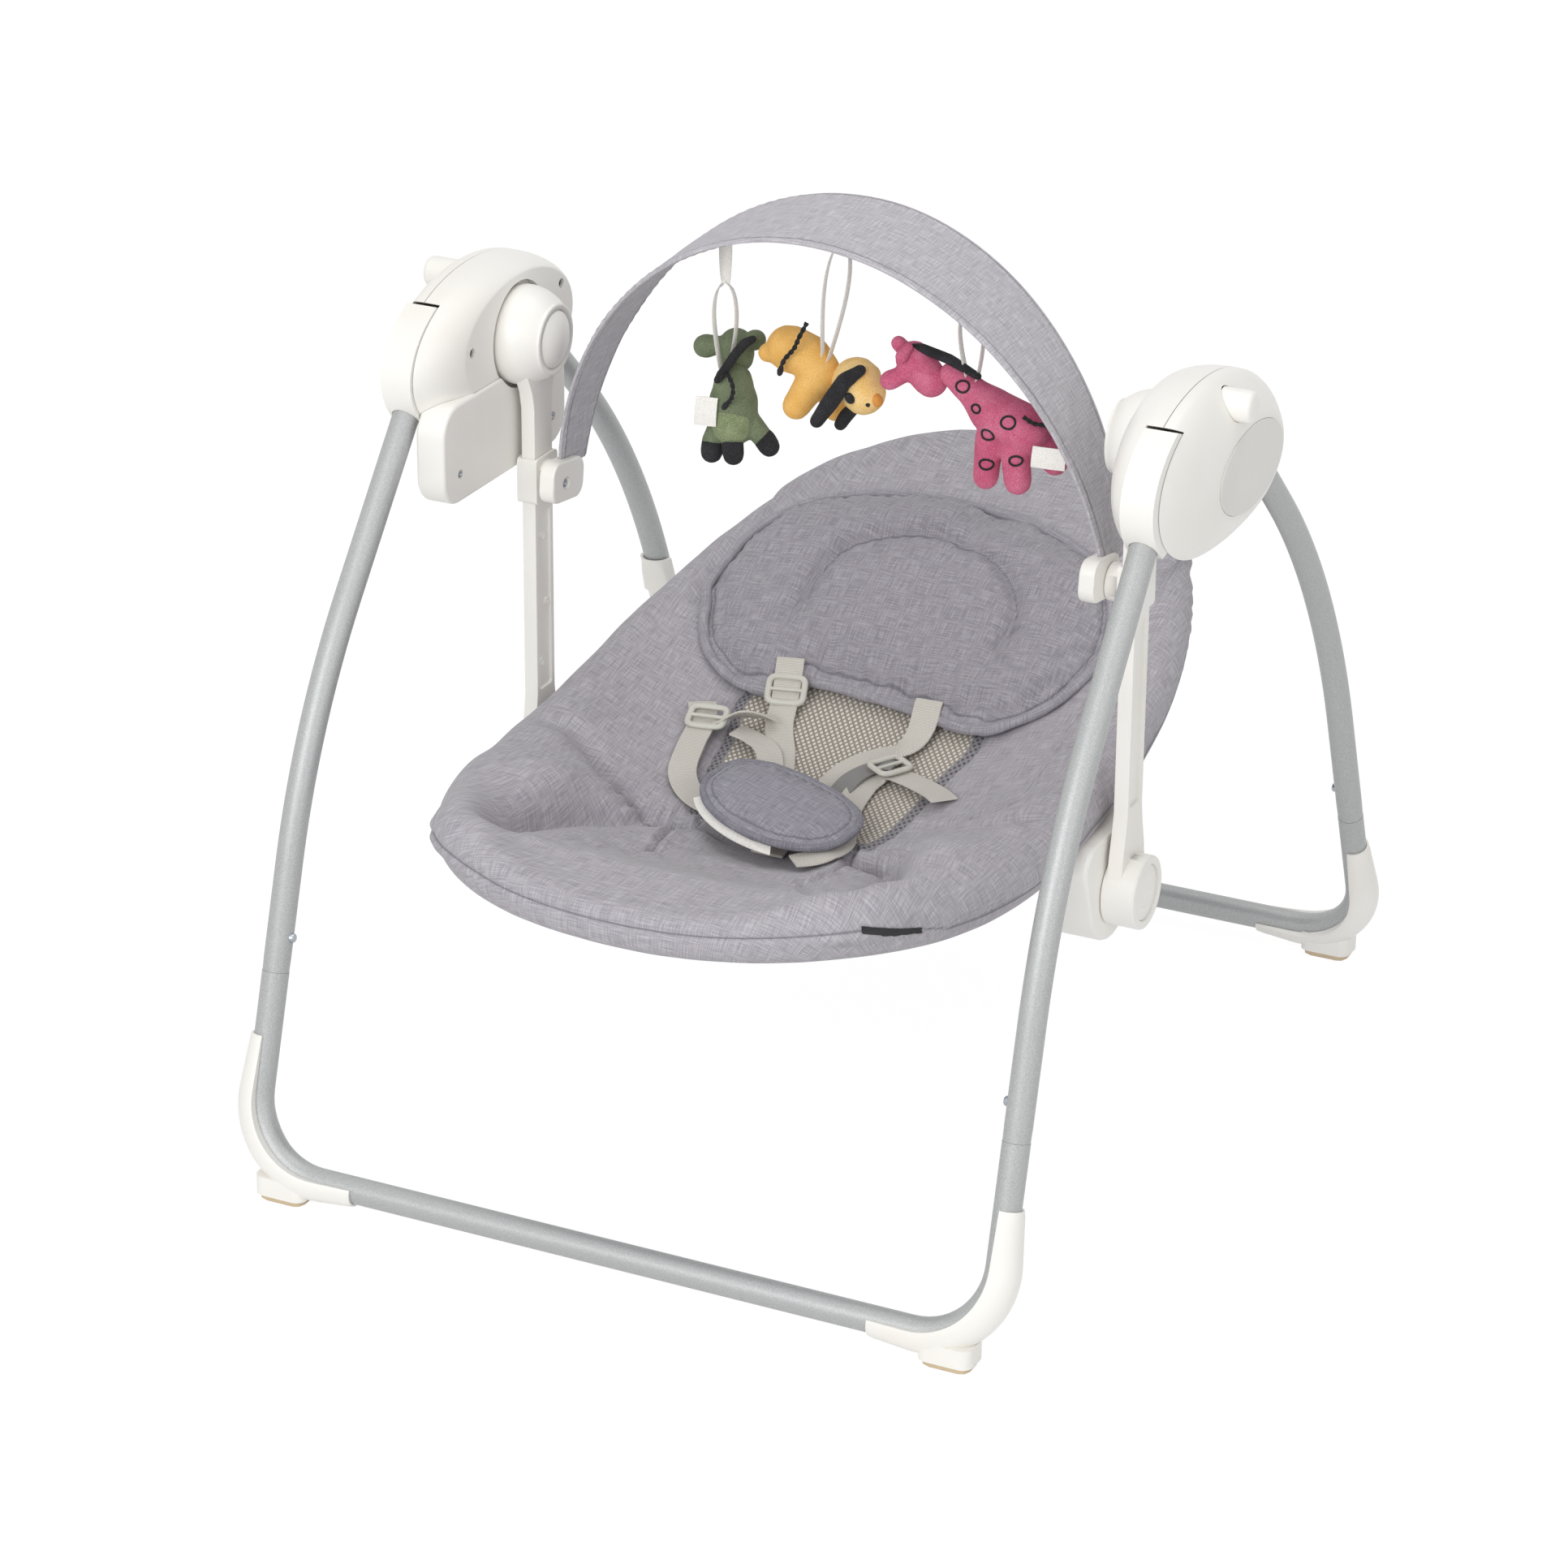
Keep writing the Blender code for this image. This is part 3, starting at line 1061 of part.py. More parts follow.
def rim_angle_at(y):
    """Angle on the right-hand rim whose tube point has this Y."""
    low, high = 0.05, math.pi - 0.05
    for _ in range(40):
        mid = (low + high) / 2
        if seat_tube_point(mid).y > y:
            low = mid
        else:
            high = mid
    return (low + high) / 2


def hoop_path(back, end_y, steps):
    start = rim_angle_at(end_y)
    stop = -start if back else 2 * math.pi - start
    return [seat_tube_point(start + (stop - start) * i / steps) for i in range(steps + 1)]


def evened(path, count):
    """The same route with its points evenly spaced."""
    lengths = np.cumsum([0] + [(b - a).length for a, b in zip(path, path[1:])])
    out = []
    for d in np.linspace(0, lengths[-1], count):
        i = min(int(np.searchsorted(lengths, d, "right")) - 1, len(path) - 2)
        t = (d - lengths[i]) / (lengths[i + 1] - lengths[i])
        out.append(path[i].lerp(path[i + 1], float(t)))
    return out


BACK_TUBE_END = 0.006
FRONT_TUBE_END = -0.034
tube_clearances = []
tube_sockets = []
SEAT_TUBES = (("seat_back_tube", True, BACK_TUBE_END), ("seat_front_tube", False, FRONT_TUBE_END))
for tube_name, back, end_y in SEAT_TUBES:
    route = evened(hoop_path(back, end_y, 120), 21)
    up = Vector((0, 0, 1))
    finish(tube_name, pipe(route, SEAT_TUBE_R, up, 8), "silver_paint", seat)
    route[0] = route[0] + (route[0] - route[1]).normalized() * TOUCH_GAP
    route[-1] = route[-1] + (route[-1] - route[-2]).normalized() * TOUCH_GAP
    tube_sockets.append(helper(f"{tube_name}_socket", pipe(route, SEAT_TUBE_R + TOUCH_GAP, up, 8)))
    tube_clearances.append(helper(f"{tube_name}_clearance", pipe(route, SEAT_TUBE_R + SOFT_GAP, up, 8)))

pad_rings = [[Vector((0, SEAT_Y, seat_top(0, SEAT_Y)))]]
pad_rings += [seat_ring(share, 0.0) for share in TOP_SHARES[1:]]
pad_rings += [roll_ring(a) for a in ROLL_ANGLES]
pad_rings += [seat_ring(share, PADDING) for share in reversed(UNDERSIDE_SHARES)]
pad_rings.append([Vector((0, SEAT_Y, seat_top(0, SEAT_Y) - PADDING))])
seat_pad = finish("seat_pad", lofted(pad_rings), "seat_fabric", seat)
cut(seat_pad, *tube_clearances)

for side_name, side in SIDES.items():
    lobes = [(HUB_Y, PIVOT_Z, BRACKET_R), (-0.050, 0.2270, BRACKET_LOBE_R), (0.016, 0.2300, BRACKET_LOBE_R)]
    bracket = finish(f"seat_bracket_{side_name}", prism(
        hull_of_circles(lobes), BRACKET_INNER_X, RING_INNER_X - SLIDE_GAP, side), "white_plastic", seat)
    bevel(bracket, 0.0030, 1)
    boss_root = RING_INNER_X - SLIDE_GAP - BOSS_ROOT
    hole_end = BRACKET_INNER_X + STEM_HOLE_DEPTH
    boss = helper(f"seat_boss_{side_name}", turned(
        [(boss_root, 0), (boss_root, SEAT_BOSS_R), (BOSS_END_X - SLIDE_GAP, SEAT_BOSS_R),
         (BOSS_END_X - SLIDE_GAP, 0)],
        HUB_Y, PIVOT_Z, side))
    stem_hole = helper(f"bracket_stem_hole_{side_name}", turned(
        [(hole_end, 0), (hole_end, STEM_R + SLIDE_GAP), (PAST_OUTSIDE_X, STEM_R + SLIDE_GAP),
         (PAST_OUTSIDE_X, 0)],
        HUB_Y, PIVOT_Z, side))
    cut(bracket, *tube_sockets)
    join(bracket, boss)
    cut(bracket, stem_hole)
    bracket_clear = helper(f"seat_bracket_clearance_{side_name}", prism(
        hull_of_circles([(y, z, r + SOFT_GAP) for y, z, r in lobes]),
        BRACKET_INNER_X - SOFT_GAP, RING_INNER_X + 0.01, side))
    cut(seat_pad, bracket_clear)


# Loose padding and the harness

def cushion(outline, height, base_gap, columns, shares=(0.0, 0.42, 0.78, 1.0)):
    """A pillow that lies on the seat: outline(angle) gives (x, y) at its edge."""
    top, bottom = [], []
    middle = Vector(outline(0.0)) * 0
    for i in range(columns):
        middle += Vector(outline(2 * math.pi * i / columns)) / columns
    for share in shares:
        ring_top, ring_bottom = [], []
        for i in range(columns if share else 1):
            edge = Vector(outline(2 * math.pi * i / columns))
            p = middle + (edge - middle) * share
            base = seat_top(p.x, p.y) + base_gap
            crown = height * (1 - share**4) ** 0.5
            ring_top.append(Vector((p.x, p.y, base + 0.0030 + crown)))
            ring_bottom.append(Vector((p.x, p.y, base)))
        top.append(ring_top)
        bottom.append(ring_bottom)
    return lofted(top + bottom[::-1])


def pillow_edge(angle):
    c, s = math.cos(angle), math.sin(angle)
    return (PILLOW_HALF_WIDTH * math.copysign(abs(s) ** 0.85, s),
            PILLOW_Y + PILLOW_HALF_LENGTH * math.copysign(abs(c) ** 0.80, c))


finish("head_pillow", cushion(pillow_edge, PILLOW_HEIGHT, 0.0024, 20), "seat_fabric", seat)

crotch_rings = []
for level, share in ((-1.0, 0.80), (-0.5, 0.97), (0.0, 1.0), (0.5, 0.95), (1.0, 0.72)):
    ring = []
    for i in range(16):
        angle = 2 * math.pi * i / 16
        x = CROTCH_X + CROTCH_HALF_WIDTH * share * math.cos(angle)
        y = CROTCH_HALF_LENGTH * share * math.copysign(abs(math.sin(angle)) ** 0.8, math.sin(angle))
        z = level * CROTCH_THICKNESS / 2
        ring.append(Vector((
            x, CROTCH_Y + y * math.cos(CROTCH_TILT) - z * math.sin(CROTCH_TILT),
            CROTCH_Z + y * math.sin(CROTCH_TILT) + z * math.cos(CROTCH_TILT))))
    crotch_rings.append(ring)
crotch_pad = finish("crotch_pad", lofted(crotch_rings), "seat_fabric", seat)


def strip(points, width, thickness, across):
    """A flat strap through the points."""
    half_w, half_t = width / 2, thickness / 2
    shape = [(half_t, -half_w), (half_t, half_w), (-half_t, half_w), (-half_t, -half_w)]
    rings = []
    for i, p in enumerate(points):
        along = (points[min(i + 1, len(points) - 1)] - points[max(i - 1, 0)]).normalized()
        flat = (across - along * across.dot(along)).normalized()
        normal = along.cross(flat)
        rings.append([p + normal * a + flat * b for a, b in shape])
    return lofted(rings)


BUCKLE_SIZE = (0.040, 0.034, 0.0100)
BUCKLE_GAP = 0.0044
buckle_z = CROTCH_Z - CROTCH_THICKNESS / 2 - BUCKLE_SIZE[2] / 2 - BUCKLE_GAP
buckle = finish("buckle", prism(box_yz(
    CROTCH_Y - BUCKLE_SIZE[1] / 2 + 0.004, CROTCH_Y + BUCKLE_SIZE[1] / 2 + 0.004,
    buckle_z - BUCKLE_SIZE[2] / 2, buckle_z + BUCKLE_SIZE[2] / 2),
    -BUCKLE_SIZE[0] / 2, BUCKLE_SIZE[0] / 2), "grey_plastic", seat)
bevel(buckle, 0.0025, 1)
strap_route = []
for t in (0.0, 0.25, 0.5, 0.75, 1.0):
    y = CROTCH_Y + 0.010 - 0.085 * t
    base = seat_top(0, y) + 0.0034
    below_buckle = buckle_z - BUCKLE_SIZE[2] / 2 - 0.0018
    strap_route.append(Vector((0, y, base + (below_buckle - base) * (1 - t) ** 1.5)))
crotch_strap = helper("crotch_strap", strip(strap_route, 0.025, 0.0024, Vector((1, 0, 0))))
front_tie = helper("crotch_front_tie", strip(
    [Vector((0, CROTCH_Y - CROTCH_HALF_LENGTH * 0.75, CROTCH_Z - 0.008)),
     strap_route[3] + Vector((0, 0, 0.0005))], 0.025, 0.0024, Vector((1, 0, 0))))
join(crotch_pad, front_tie, crotch_strap)

for side_name, side in SIDES.items():
    waist = []
    for t in np.linspace(0, 1, 6):
        x = side * (0.100 - 0.0752 * t)
        y = -0.030 - 0.045 * t
        base = seat_top(x, y) + 0.0088
        waist.append(Vector((x, y, base + (buckle_z - base) * max(0.0, (t - 0.3) / 0.7))))
    landing = waist[-1].lerp(waist[-2], 0.85)
    shoulder = []
    for t in np.linspace(0, 1, 6):
        x = side * 0.052 + (landing.x - side * 0.052) * t
        y = 0.030 + (landing.y - 0.030) * t
        base = seat_top(x, y) + 0.0045 + 0.004 * math.sin(math.pi * t)
        shoulder.append(Vector((x, y, base + (landing.z - base) * max(0.0, (t - 0.6) / 0.4))))
    shoulder[-1] = landing
    harness = finish(f"harness_strap_{side_name}", strip(
        shoulder, WEBBING, WEBBING_THICKNESS, Vector((1, 0, 0))), "webbing", seat)
    join(harness, helper(f"waist_strap_{side_name}", strip(
        waist, WEBBING, WEBBING_THICKNESS, Vector((0, 1, 0)))))


# Plush toys, each hanging on a ribbon loop from the band

def swelling(points, radii, sides=8):
    """A stuffed limb or body: round sections that swell and taper, with domed ends."""
    path = [Vector(p) for p in points]
    first = (path[0] - path[1]).normalized()
    last = (path[-1] - path[-2]).normalized()
    rings_at = [(path[0] + first * radii[0] * 0.85, radii[0] * 0.45)]
    rings_at += [(p, r) for p, r in zip(path, radii)]
    rings_at.append((path[-1] + last * radii[-1] * 0.85, radii[-1] * 0.45))
    centres = [path[0] + first * radii[0]] + [p for p, _ in rings_at] + [path[-1] + last * radii[-1]]
    up = Vector((0, 1, 0))
    rings = [[centres[0]]]
    for i, (p, r) in enumerate(rings_at):
        along = (centres[i + 2] - centres[i]).normalized()
        if abs(along.dot(up)) > 0.9:
            up = Vector((1, 0, 0))
        side_axis = (up - along * up.dot(along)).normalized()
        across = along.cross(side_axis)
        rings.append([p + side_axis * a + across * b for a, b in circle(r, sides)])
    rings.append([centres[-1]])
    return lofted(rings)


def band_underside(x):
    share = x / TOY_BAR_HALF_WIDTH
    rise = TOY_BAR_HEIGHT * math.sqrt(1 - share * share)
    slope = math.atan2(TOY_BAR_HEIGHT * share, TOY_BAR_HALF_WIDTH * math.sqrt(1 - share * share))
    drop = TOY_BAR_THICKNESS / 2 / math.cos(slope) + SOFT_GAP * 2
    return TOY_BAR_Y + rise * math.sin(TOY_BAR_LEAN), TOY_BAR_Z + rise * math.cos(TOY_BAR_LEAN) - drop


TOY_Y = -0.0160
TOYS = {
    "donkey": dict(
        plush="green_plush", ribbon_x=-0.0815, neck=(-0.0790, -0.0050, 0.524),
        body=[([(-0.0750, 0, 0.521), (-0.0750, 0, 0.508), (-0.0742, 0, 0.493)], (0.0140, 0.0172, 0.0165)),
              ([(-0.0830, -0.004, 0.491), (-0.0890, -0.005, 0.477)], (0.0080, 0.0076)),
              ([(-0.0720, -0.007, 0.490), (-0.0712, -0.009, 0.479)], (0.0082, 0.0074)),
              ([(-0.0640, 0.003, 0.494), (-0.0540, 0.005, 0.482)], (0.0080, 0.0074))],
        head=[([(-0.0790, 0.012, 0.5440), (-0.0785, 0.012, 0.5370)], (0.0125, 0.0125)),
              ([(-0.0880, 0.010, 0.5440), (-0.1015, 0.009, 0.5410)], (0.0060, 0.0085)),
              ([(-0.0720, 0.012, 0.5470), (-0.0640, 0.012, 0.5505)], (0.0060, 0.0075))]),
    "puppy": dict(
        plush="yellow_plush", ribbon_x=0.0093, neck=(-0.0030, -0.0050, 0.546),
        body=[([(-0.0320, 0, 0.5530), (-0.0180, 0, 0.5500), (-0.0080, 0, 0.5390)],
               (0.0165, 0.0155, 0.0145)),
              ([(-0.0360, -0.002, 0.5520), (-0.0465, -0.004, 0.5490)], (0.0110, 0.0070)),
              ([(-0.0120, -0.003, 0.5340), (-0.0235, -0.006, 0.5150)], (0.0120, 0.0100)),
              ([(-0.0060, 0.008, 0.5300), (-0.0020, 0.011, 0.5110)], (0.0110, 0.0090))],
        head=[([(0.0190, 0.001, 0.5360), (0.0245, -0.001, 0.5310)], (0.0180, 0.0160)),
              ([(0.0080, -0.0110, 0.5300), (-0.0020, -0.0210, 0.5120)], (0.0060, 0.0058))]),
    "giraffe": dict(
        plush="pink_plush", ribbon_x=0.1025, neck=(0.1070, -0.0030, 0.545),
        body=[([(0.0900, 0, 0.5540), (0.1030, 0, 0.5460), (0.1220, 0, 0.5320), (0.1460, 0, 0.5230)],
               (0.0085, 0.0105, 0.0165, 0.0175)),
              ([(0.1210, -0.004, 0.5160), (0.1200, -0.007, 0.4880)], (0.0100, 0.0090)),
              ([(0.1400, -0.005, 0.5130), (0.1440, -0.008, 0.4890)], (0.0105, 0.0096)),
              ([(0.1540, 0.006, 0.5180), (0.1640, 0.008, 0.5010)], (0.0110, 0.0095))],
        head=[([(0.0620, 0, 0.5600), (0.0745, 0, 0.5475)], (0.0130, 0.0122)),
              ([(0.0580, -0.0040, 0.5660), (0.0530, -0.0060, 0.5720)], (0.0050, 0.0055)),
              ([(0.0590, -0.0080, 0.5520), (0.0490, -0.0110, 0.5465)], (0.0060, 0.0070))]),
}


def shifted(points):
    return [(x, TOY_Y + y, z) for x, y, z in points]


def ribbon_between(top_left, top_right, low, grow):
    """A flat ribbon that narrows from the band to the toy's back."""
    half = RIBBON_THICKNESS / 2 + grow
    spread = RIBBON_WIDTH / 4
    tops = (top_left - Vector((grow, 0, 0)), top_right + Vector((grow, 0, 0)))
    lows = (low - Vector((spread + grow, 0, 0)), low + Vector((spread + grow, 0, 0)))
    rings = []
    for left, right in (tops, lows):
        rings.append([left - Vector((0, half, 0)), right - Vector((0, half, 0)),
                      right + Vector((0, half, 0)), left + Vector((0, half, 0))])
    return lofted(rings)


for toy_name, toy in TOYS.items():
    left_y, left_z = band_underside(toy["ribbon_x"] - RIBBON_WIDTH / 2)
    right_y, right_z = band_underside(toy["ribbon_x"] + RIBBON_WIDTH / 2)
    top_y = (left_y + right_y) / 2
    hang = joint_empty(f"{toy_name}_axis", (toy["ribbon_x"], top_y, min(left_z, right_z)), toy_bar)
    body = finish(f"{toy_name}_body", swelling(shifted(toy["body"][0][0]), toy["body"][0][1], 10),
                  toy["plush"], hang)
    for n, (points, radii) in enumerate(toy["body"][1:]):
        join(body, helper(f"{toy_name}_limb_{n}", swelling(shifted(points), radii)))
    ends = (Vector((toy["ribbon_x"] - RIBBON_WIDTH / 2, top_y, left_z)),
            Vector((toy["ribbon_x"] + RIBBON_WIDTH / 2, top_y, right_z)), Vector(shifted([toy["neck"]])[0]))
    join(body, helper(f"{toy_name}_ribbon", ribbon_between(*ends, 0.0)))
    head = finish(f"{toy_name}_head", swelling(shifted(toy["head"][0][0]), toy["head"][0][1], 10),
                  toy["plush"], hang)
    for n, (points, radii) in enumerate(toy["head"][1:]):
        join(head, helper(f"{toy_name}_ear_{n}", swelling(shifted(points), radii, 8)))
    for n, (points, radii) in enumerate(toy["body"]):
        sides = 8 if n else 10
        cut(head, helper(f"{toy_name}_clearance_{n}", swelling(
            shifted(points), [r + SOFT_GAP for r in radii], sides)))
    cut(head, helper(f"{toy_name}_ribbon_clearance", ribbon_between(*ends, SOFT_GAP)))


# Clip on the left rear leg: a saddle round the tube's outer side, with a lug

CLIP_SHAPE = ((0, 0), (0.42, 0), (0.45, 1), (0.60, 0.90), (0.78, 0.70), (0.93, 0.28), (1, 0))
clip_leg = LEGS["rear"]
clip_rings = []
for share, lug in CLIP_SHAPE:
    p = leg_point(clip_leg, -1.0, CLIP_LOW_Z + (CLIP_TOP_Z - CLIP_LOW_Z) * share)
    reach = CLIP_R + CLIP_LUG * lug
    turns = [math.radians(90 + 22.5 * k) for k in range(9)]
    clip_rings.append([p + Vector((-reach * math.sin(t), CLIP_R * math.cos(t), 0)) for t in turns])
leg_clip = finish("leg_clip", lofted(clip_rings), "white_plastic", stand)
clip_channel = helper("leg_clip_channel", pipe(
    leg_path(clip_leg, -1.0, CLIP_LOW_Z - 0.02, CLIP_TOP_Z + 0.02, 5), TUBE_R + SOFT_GAP * 1.5,
    Vector((1, 0, 0))))
cut(leg_clip, clip_channel)
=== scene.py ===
# %% [markdown]
# # Electric baby swing
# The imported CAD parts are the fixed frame. Each cell below adds or finishes one piece of the real
# object around them. Everything is in metres, +Z up, and the baby looks towards -Y.

# %% The frame
import math

import bmesh
import bpy
import numpy as np
from mathutils import Matrix, Vector, noise
from mathutils.bvhtree import BVHTree


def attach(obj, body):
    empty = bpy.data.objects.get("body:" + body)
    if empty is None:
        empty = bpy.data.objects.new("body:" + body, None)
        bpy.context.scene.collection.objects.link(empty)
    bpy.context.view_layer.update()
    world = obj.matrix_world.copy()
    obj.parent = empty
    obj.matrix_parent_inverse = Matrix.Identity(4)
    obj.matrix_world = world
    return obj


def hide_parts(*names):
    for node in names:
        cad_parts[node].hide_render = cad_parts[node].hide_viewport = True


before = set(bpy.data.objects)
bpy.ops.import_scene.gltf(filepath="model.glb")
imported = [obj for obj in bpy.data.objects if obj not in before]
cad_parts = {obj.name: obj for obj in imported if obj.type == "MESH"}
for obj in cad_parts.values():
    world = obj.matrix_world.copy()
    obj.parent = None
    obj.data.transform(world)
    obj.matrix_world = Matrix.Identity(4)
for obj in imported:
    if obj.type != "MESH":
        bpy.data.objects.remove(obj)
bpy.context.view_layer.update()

scene = bpy.context.scene
SIDES = {"left": -1.0, "right": 1.0}

# %% [markdown]
# ## Camera, room and light
# The photograph was taken from the front and a little above, with a long lens. The camera was
# solved from the floor tubes and the four feet, whose shapes are known. The room is a white studio:
# a big soft lamp from the upper left, and an even white surround. The floor and the surround look
# white to the camera through Light Path, so no extra light falls on the object for their sake.

# %% Camera
AZIMUTH, ELEVATION, ROLL = (math.radians(a) for a in (25.986, 23.825, 0.4578))
back = Vector((math.sin(AZIMUTH) * math.cos(ELEVATION), -math.cos(AZIMUTH) * math.cos(ELEVATION),
               math.sin(ELEVATION)))
level = Vector((math.cos(AZIMUTH), math.sin(AZIMUTH), 0))
upright = back.cross(level)
camera_x = level * math.cos(ROLL) + upright * math.sin(ROLL)
camera_y = upright * math.cos(ROLL) - level * math.sin(ROLL)
lens = bpy.data.cameras.new("studio_camera")
lens.lens, lens.sensor_width, lens.clip_end = 120.34, 36.0, 100.0
camera = bpy.data.objects.new("studio_camera", lens)
camera.matrix_world = Matrix((
    (camera_x.x, camera_y.x, back.x, 1.4593),
    (camera_x.y, camera_y.y, back.y, -3.079),
    (camera_x.z, camera_y.z, back.z, 1.731),
    (0, 0, 0, 1),
))
scene.collection.objects.link(camera)
scene.camera = camera
scene.view_settings.view_transform = "Standard"
print("camera at", tuple(round(v, 3) for v in camera.location))

# %% Colours and nodes
def linear(code):
    """An sRGB hex colour as the linear values that Blender works in."""
    channels = [int(code[i:i + 2], 16) / 255 for i in (0, 2, 4)]
    return (*[c / 12.92 if c <= 0.04045 else ((c + 0.055) / 1.055) ** 2.4 for c in channels], 1.0)


def node(tree, kind, settings=None, links=None):
    """Add a node, then set its properties, colour stops or unlinked inputs, and link the others."""
    made = tree.nodes.new("ShaderNode" + kind)
    for key, value in (settings or {}).items():
        if key == "stops":
            elements = made.color_ramp.elements
            while len(elements) < len(value):
                elements.new(0.5)
            for element, (position, colour) in zip(elements, value):
                element.position, element.color = position, linear(colour)
        elif isinstance(key, str) and hasattr(made, key):
            setattr(made, key, value)
        else:
            made.inputs[key].default_value = value
    for key, source in (links or {}).items():
        tree.links.new(source.outputs[0] if isinstance(source, bpy.types.Node) else source, made.inputs[key])
    return made


# %% Room
def camera_white(tree, other, share):
    """Mix a shader with plain white for the rays that see the room directly or in a reflection."""
    path = node(tree, "LightPath")
    seen = node(tree, "Math", {"operation": "MAXIMUM"}, {0: path.outputs["Is Camera Ray"],
                                                         1: path.outputs["Is Glossy Ray"]})
    seen = node(tree, "Math", {"operation": "MAXIMUM"}, {0: seen, 1: path.outputs["Is Transmission Ray"]})
    amount = node(tree, "Math", {"operation": "MULTIPLY", 1: share}, {0: seen})
    white = node(tree, "Emission" if share < 1 else "Background",
                 {"Color": linear("FFFFFF"), "Strength": 1.06})
    return node(tree, "MixShader", None, {0: amount, 1: other, 2: white})


SURROUND_LIGHT = 0.52
world = bpy.data.worlds.new("white_studio")
scene.world = world
world.use_nodes = True
room = world.node_tree
room.nodes.clear()
soft = node(room, "Background", {"Color": linear("FFFFFF"), "Strength": SURROUND_LIGHT})
node(room, "OutputWorld", None, {0: camera_white(room, soft, 1.0)})

floor_look = bpy.data.materials.new("white_studio_floor")
floor_look.use_nodes = True
tree = floor_look.node_tree
tree.nodes.clear()
paint = node(tree, "BsdfDiffuse", {"Color": linear("F2F2F2")})
node(tree, "OutputMaterial", None, {0: camera_white(tree, paint, 0.90)})
bpy.ops.mesh.primitive_plane_add(size=60, location=(0, 0, -0.0004))
floor = bpy.context.object
floor.name = "studio_floor"
floor.data.materials.append(floor_look)


LAMPS_AIM = Vector((0, 0, 0.3))
for name, place, size, power in (("key_softbox", (-0.2, -3.4, 2.0), 2.2, 57),
                                 ("fill_softbox", (2.6, -1.8, 1.5), 2.0, 14),
                                 ("top_softbox", (0.2, 0.2, 3.4), 2.4, 26)):
    lamp = bpy.data.lights.new(name, "AREA")
    lamp.energy, lamp.size = power, size
    softbox = bpy.data.objects.new(name, lamp)
    softbox.location = place
    softbox.rotation_euler = (LAMPS_AIM - Vector(place)).to_track_quat("-Z", "Y").to_euler()
    scene.collection.objects.link(softbox)

# %% [markdown]
# ## Finishes
# Each material is named for what it is and how its surface was made. Patterns are sized from the
# real thing in millimetres. Threads and grit finer than one pixel of the picture are drawn about a
# pixel wide, because otherwise they would not show at all.

# %% Base of every finish
MM = 0.001


def finish_of(name, colour, roughness, **values):
    """A Principled material with one hex colour. Returns the material, its tree and its shader."""
    material = bpy.data.materials.new(name)
    material.use_nodes = True
    material.node_tree.nodes.clear()
    shader = node(material.node_tree, "BsdfPrincipled",
                  {"Base Color": linear(colour), "Roughness": roughness})
    for key, value in values.items():
        shader.inputs[key.replace("_", " ")].default_value = value
    node(material.node_tree, "OutputMaterial", None, {0: shader})
    return material, material.node_tree, shader


def wire(tree, shader, **sources):
    """Link each source's first output to the shader's input of that name."""
    for socket, source in sources.items():
        tree.links.new(source.outputs[0], shader.inputs[socket.replace("_", " ")])


def moulded_plastic(name, colour, dull, roughness, grit=1.2 * MM, depth=0.03 * MM):
    """Moulded plastic: the colour drifts a little, and the mould's eroded skin leaves a fine grit."""
    material, tree, shader = finish_of(name, colour, roughness)
    place = node(tree, "TexCoord").outputs["Object"]
    drift = node(tree, "TexNoise", {"Scale": 1 / (90 * MM), "Detail": 2.0}, {"Vector": place})
    tint = node(tree, "ValToRGB", {"stops": ((0.40, colour), (0.66, dull))}, {0: drift})
    fine = node(tree, "TexNoise", {"Scale": 1 / grit, "Detail": 3.0}, {"Vector": place})
    rough = node(tree, "MapRange", {"To Min": roughness - 0.05, "To Max": roughness + 0.07}, {"Value": fine})
    bump = node(tree, "Bump", {"Distance": depth, "Strength": 0.35}, {"Height": fine})
    wire(tree, shader, Base_Color=tint, Roughness=rough, Normal=bump)
    return material


# Satin moulded ABS: the white covers, arms and clamps, with soft wide highlights
white_abs = moulded_plastic("satin_moulded_abs", "F4F2ED", "F0EDE7", 0.38)
# The same plastic from a sandblasted mould: the oval side panels, matt and greyer
grey_abs = moulded_plastic("matt_moulded_abs", "E6E5E1", "DFDED9", 0.55, 0.9 * MM, 0.05 * MM)
# Acetal: harness adjusters and buckle, pale stone grey and slightly waxy
grey_acetal = moulded_plastic("moulded_acetal", "CFCEC5", "C6C4BA", 0.36)
# Silicone: the soft key caps, quite dull
key_silicone = moulded_plastic("moulded_silicone", "D3D4D2", "CBCCCA", 0.62)
# Rubber: the foot pads, beige and chalky
pad_rubber = moulded_plastic("moulded_rubber", "D9C6A8", "CDB997", 0.85, 0.8 * MM, 0.08 * MM)

# %% Metals
# Powder-coated steel tube: silver flakes in a satin coat, with a faint orange peel
tube_steel, tree, shader = finish_of("powder_coated_steel", "B3B5B5", 0.46, Metallic=0.35)
place = node(tree, "TexCoord").outputs["Object"]
flakes = node(tree, "TexNoise", {"Scale": 1 / (0.9 * MM), "Detail": 2.0}, {"Vector": place})
sparkle = node(tree, "ValToRGB", {"stops": ((0.30, "A6A8A8"), (0.50, "B0B2B2"), (0.72, "BDBFBF"))},
               {0: flakes})
peel = node(tree, "TexNoise", {"Scale": 1 / (3 * MM)}, {"Vector": place})
bump = node(tree, "Bump", {"Distance": 0.05 * MM, "Strength": 0.4}, {"Height": peel})
wire(tree, shader, Base_Color=sparkle, Normal=bump)

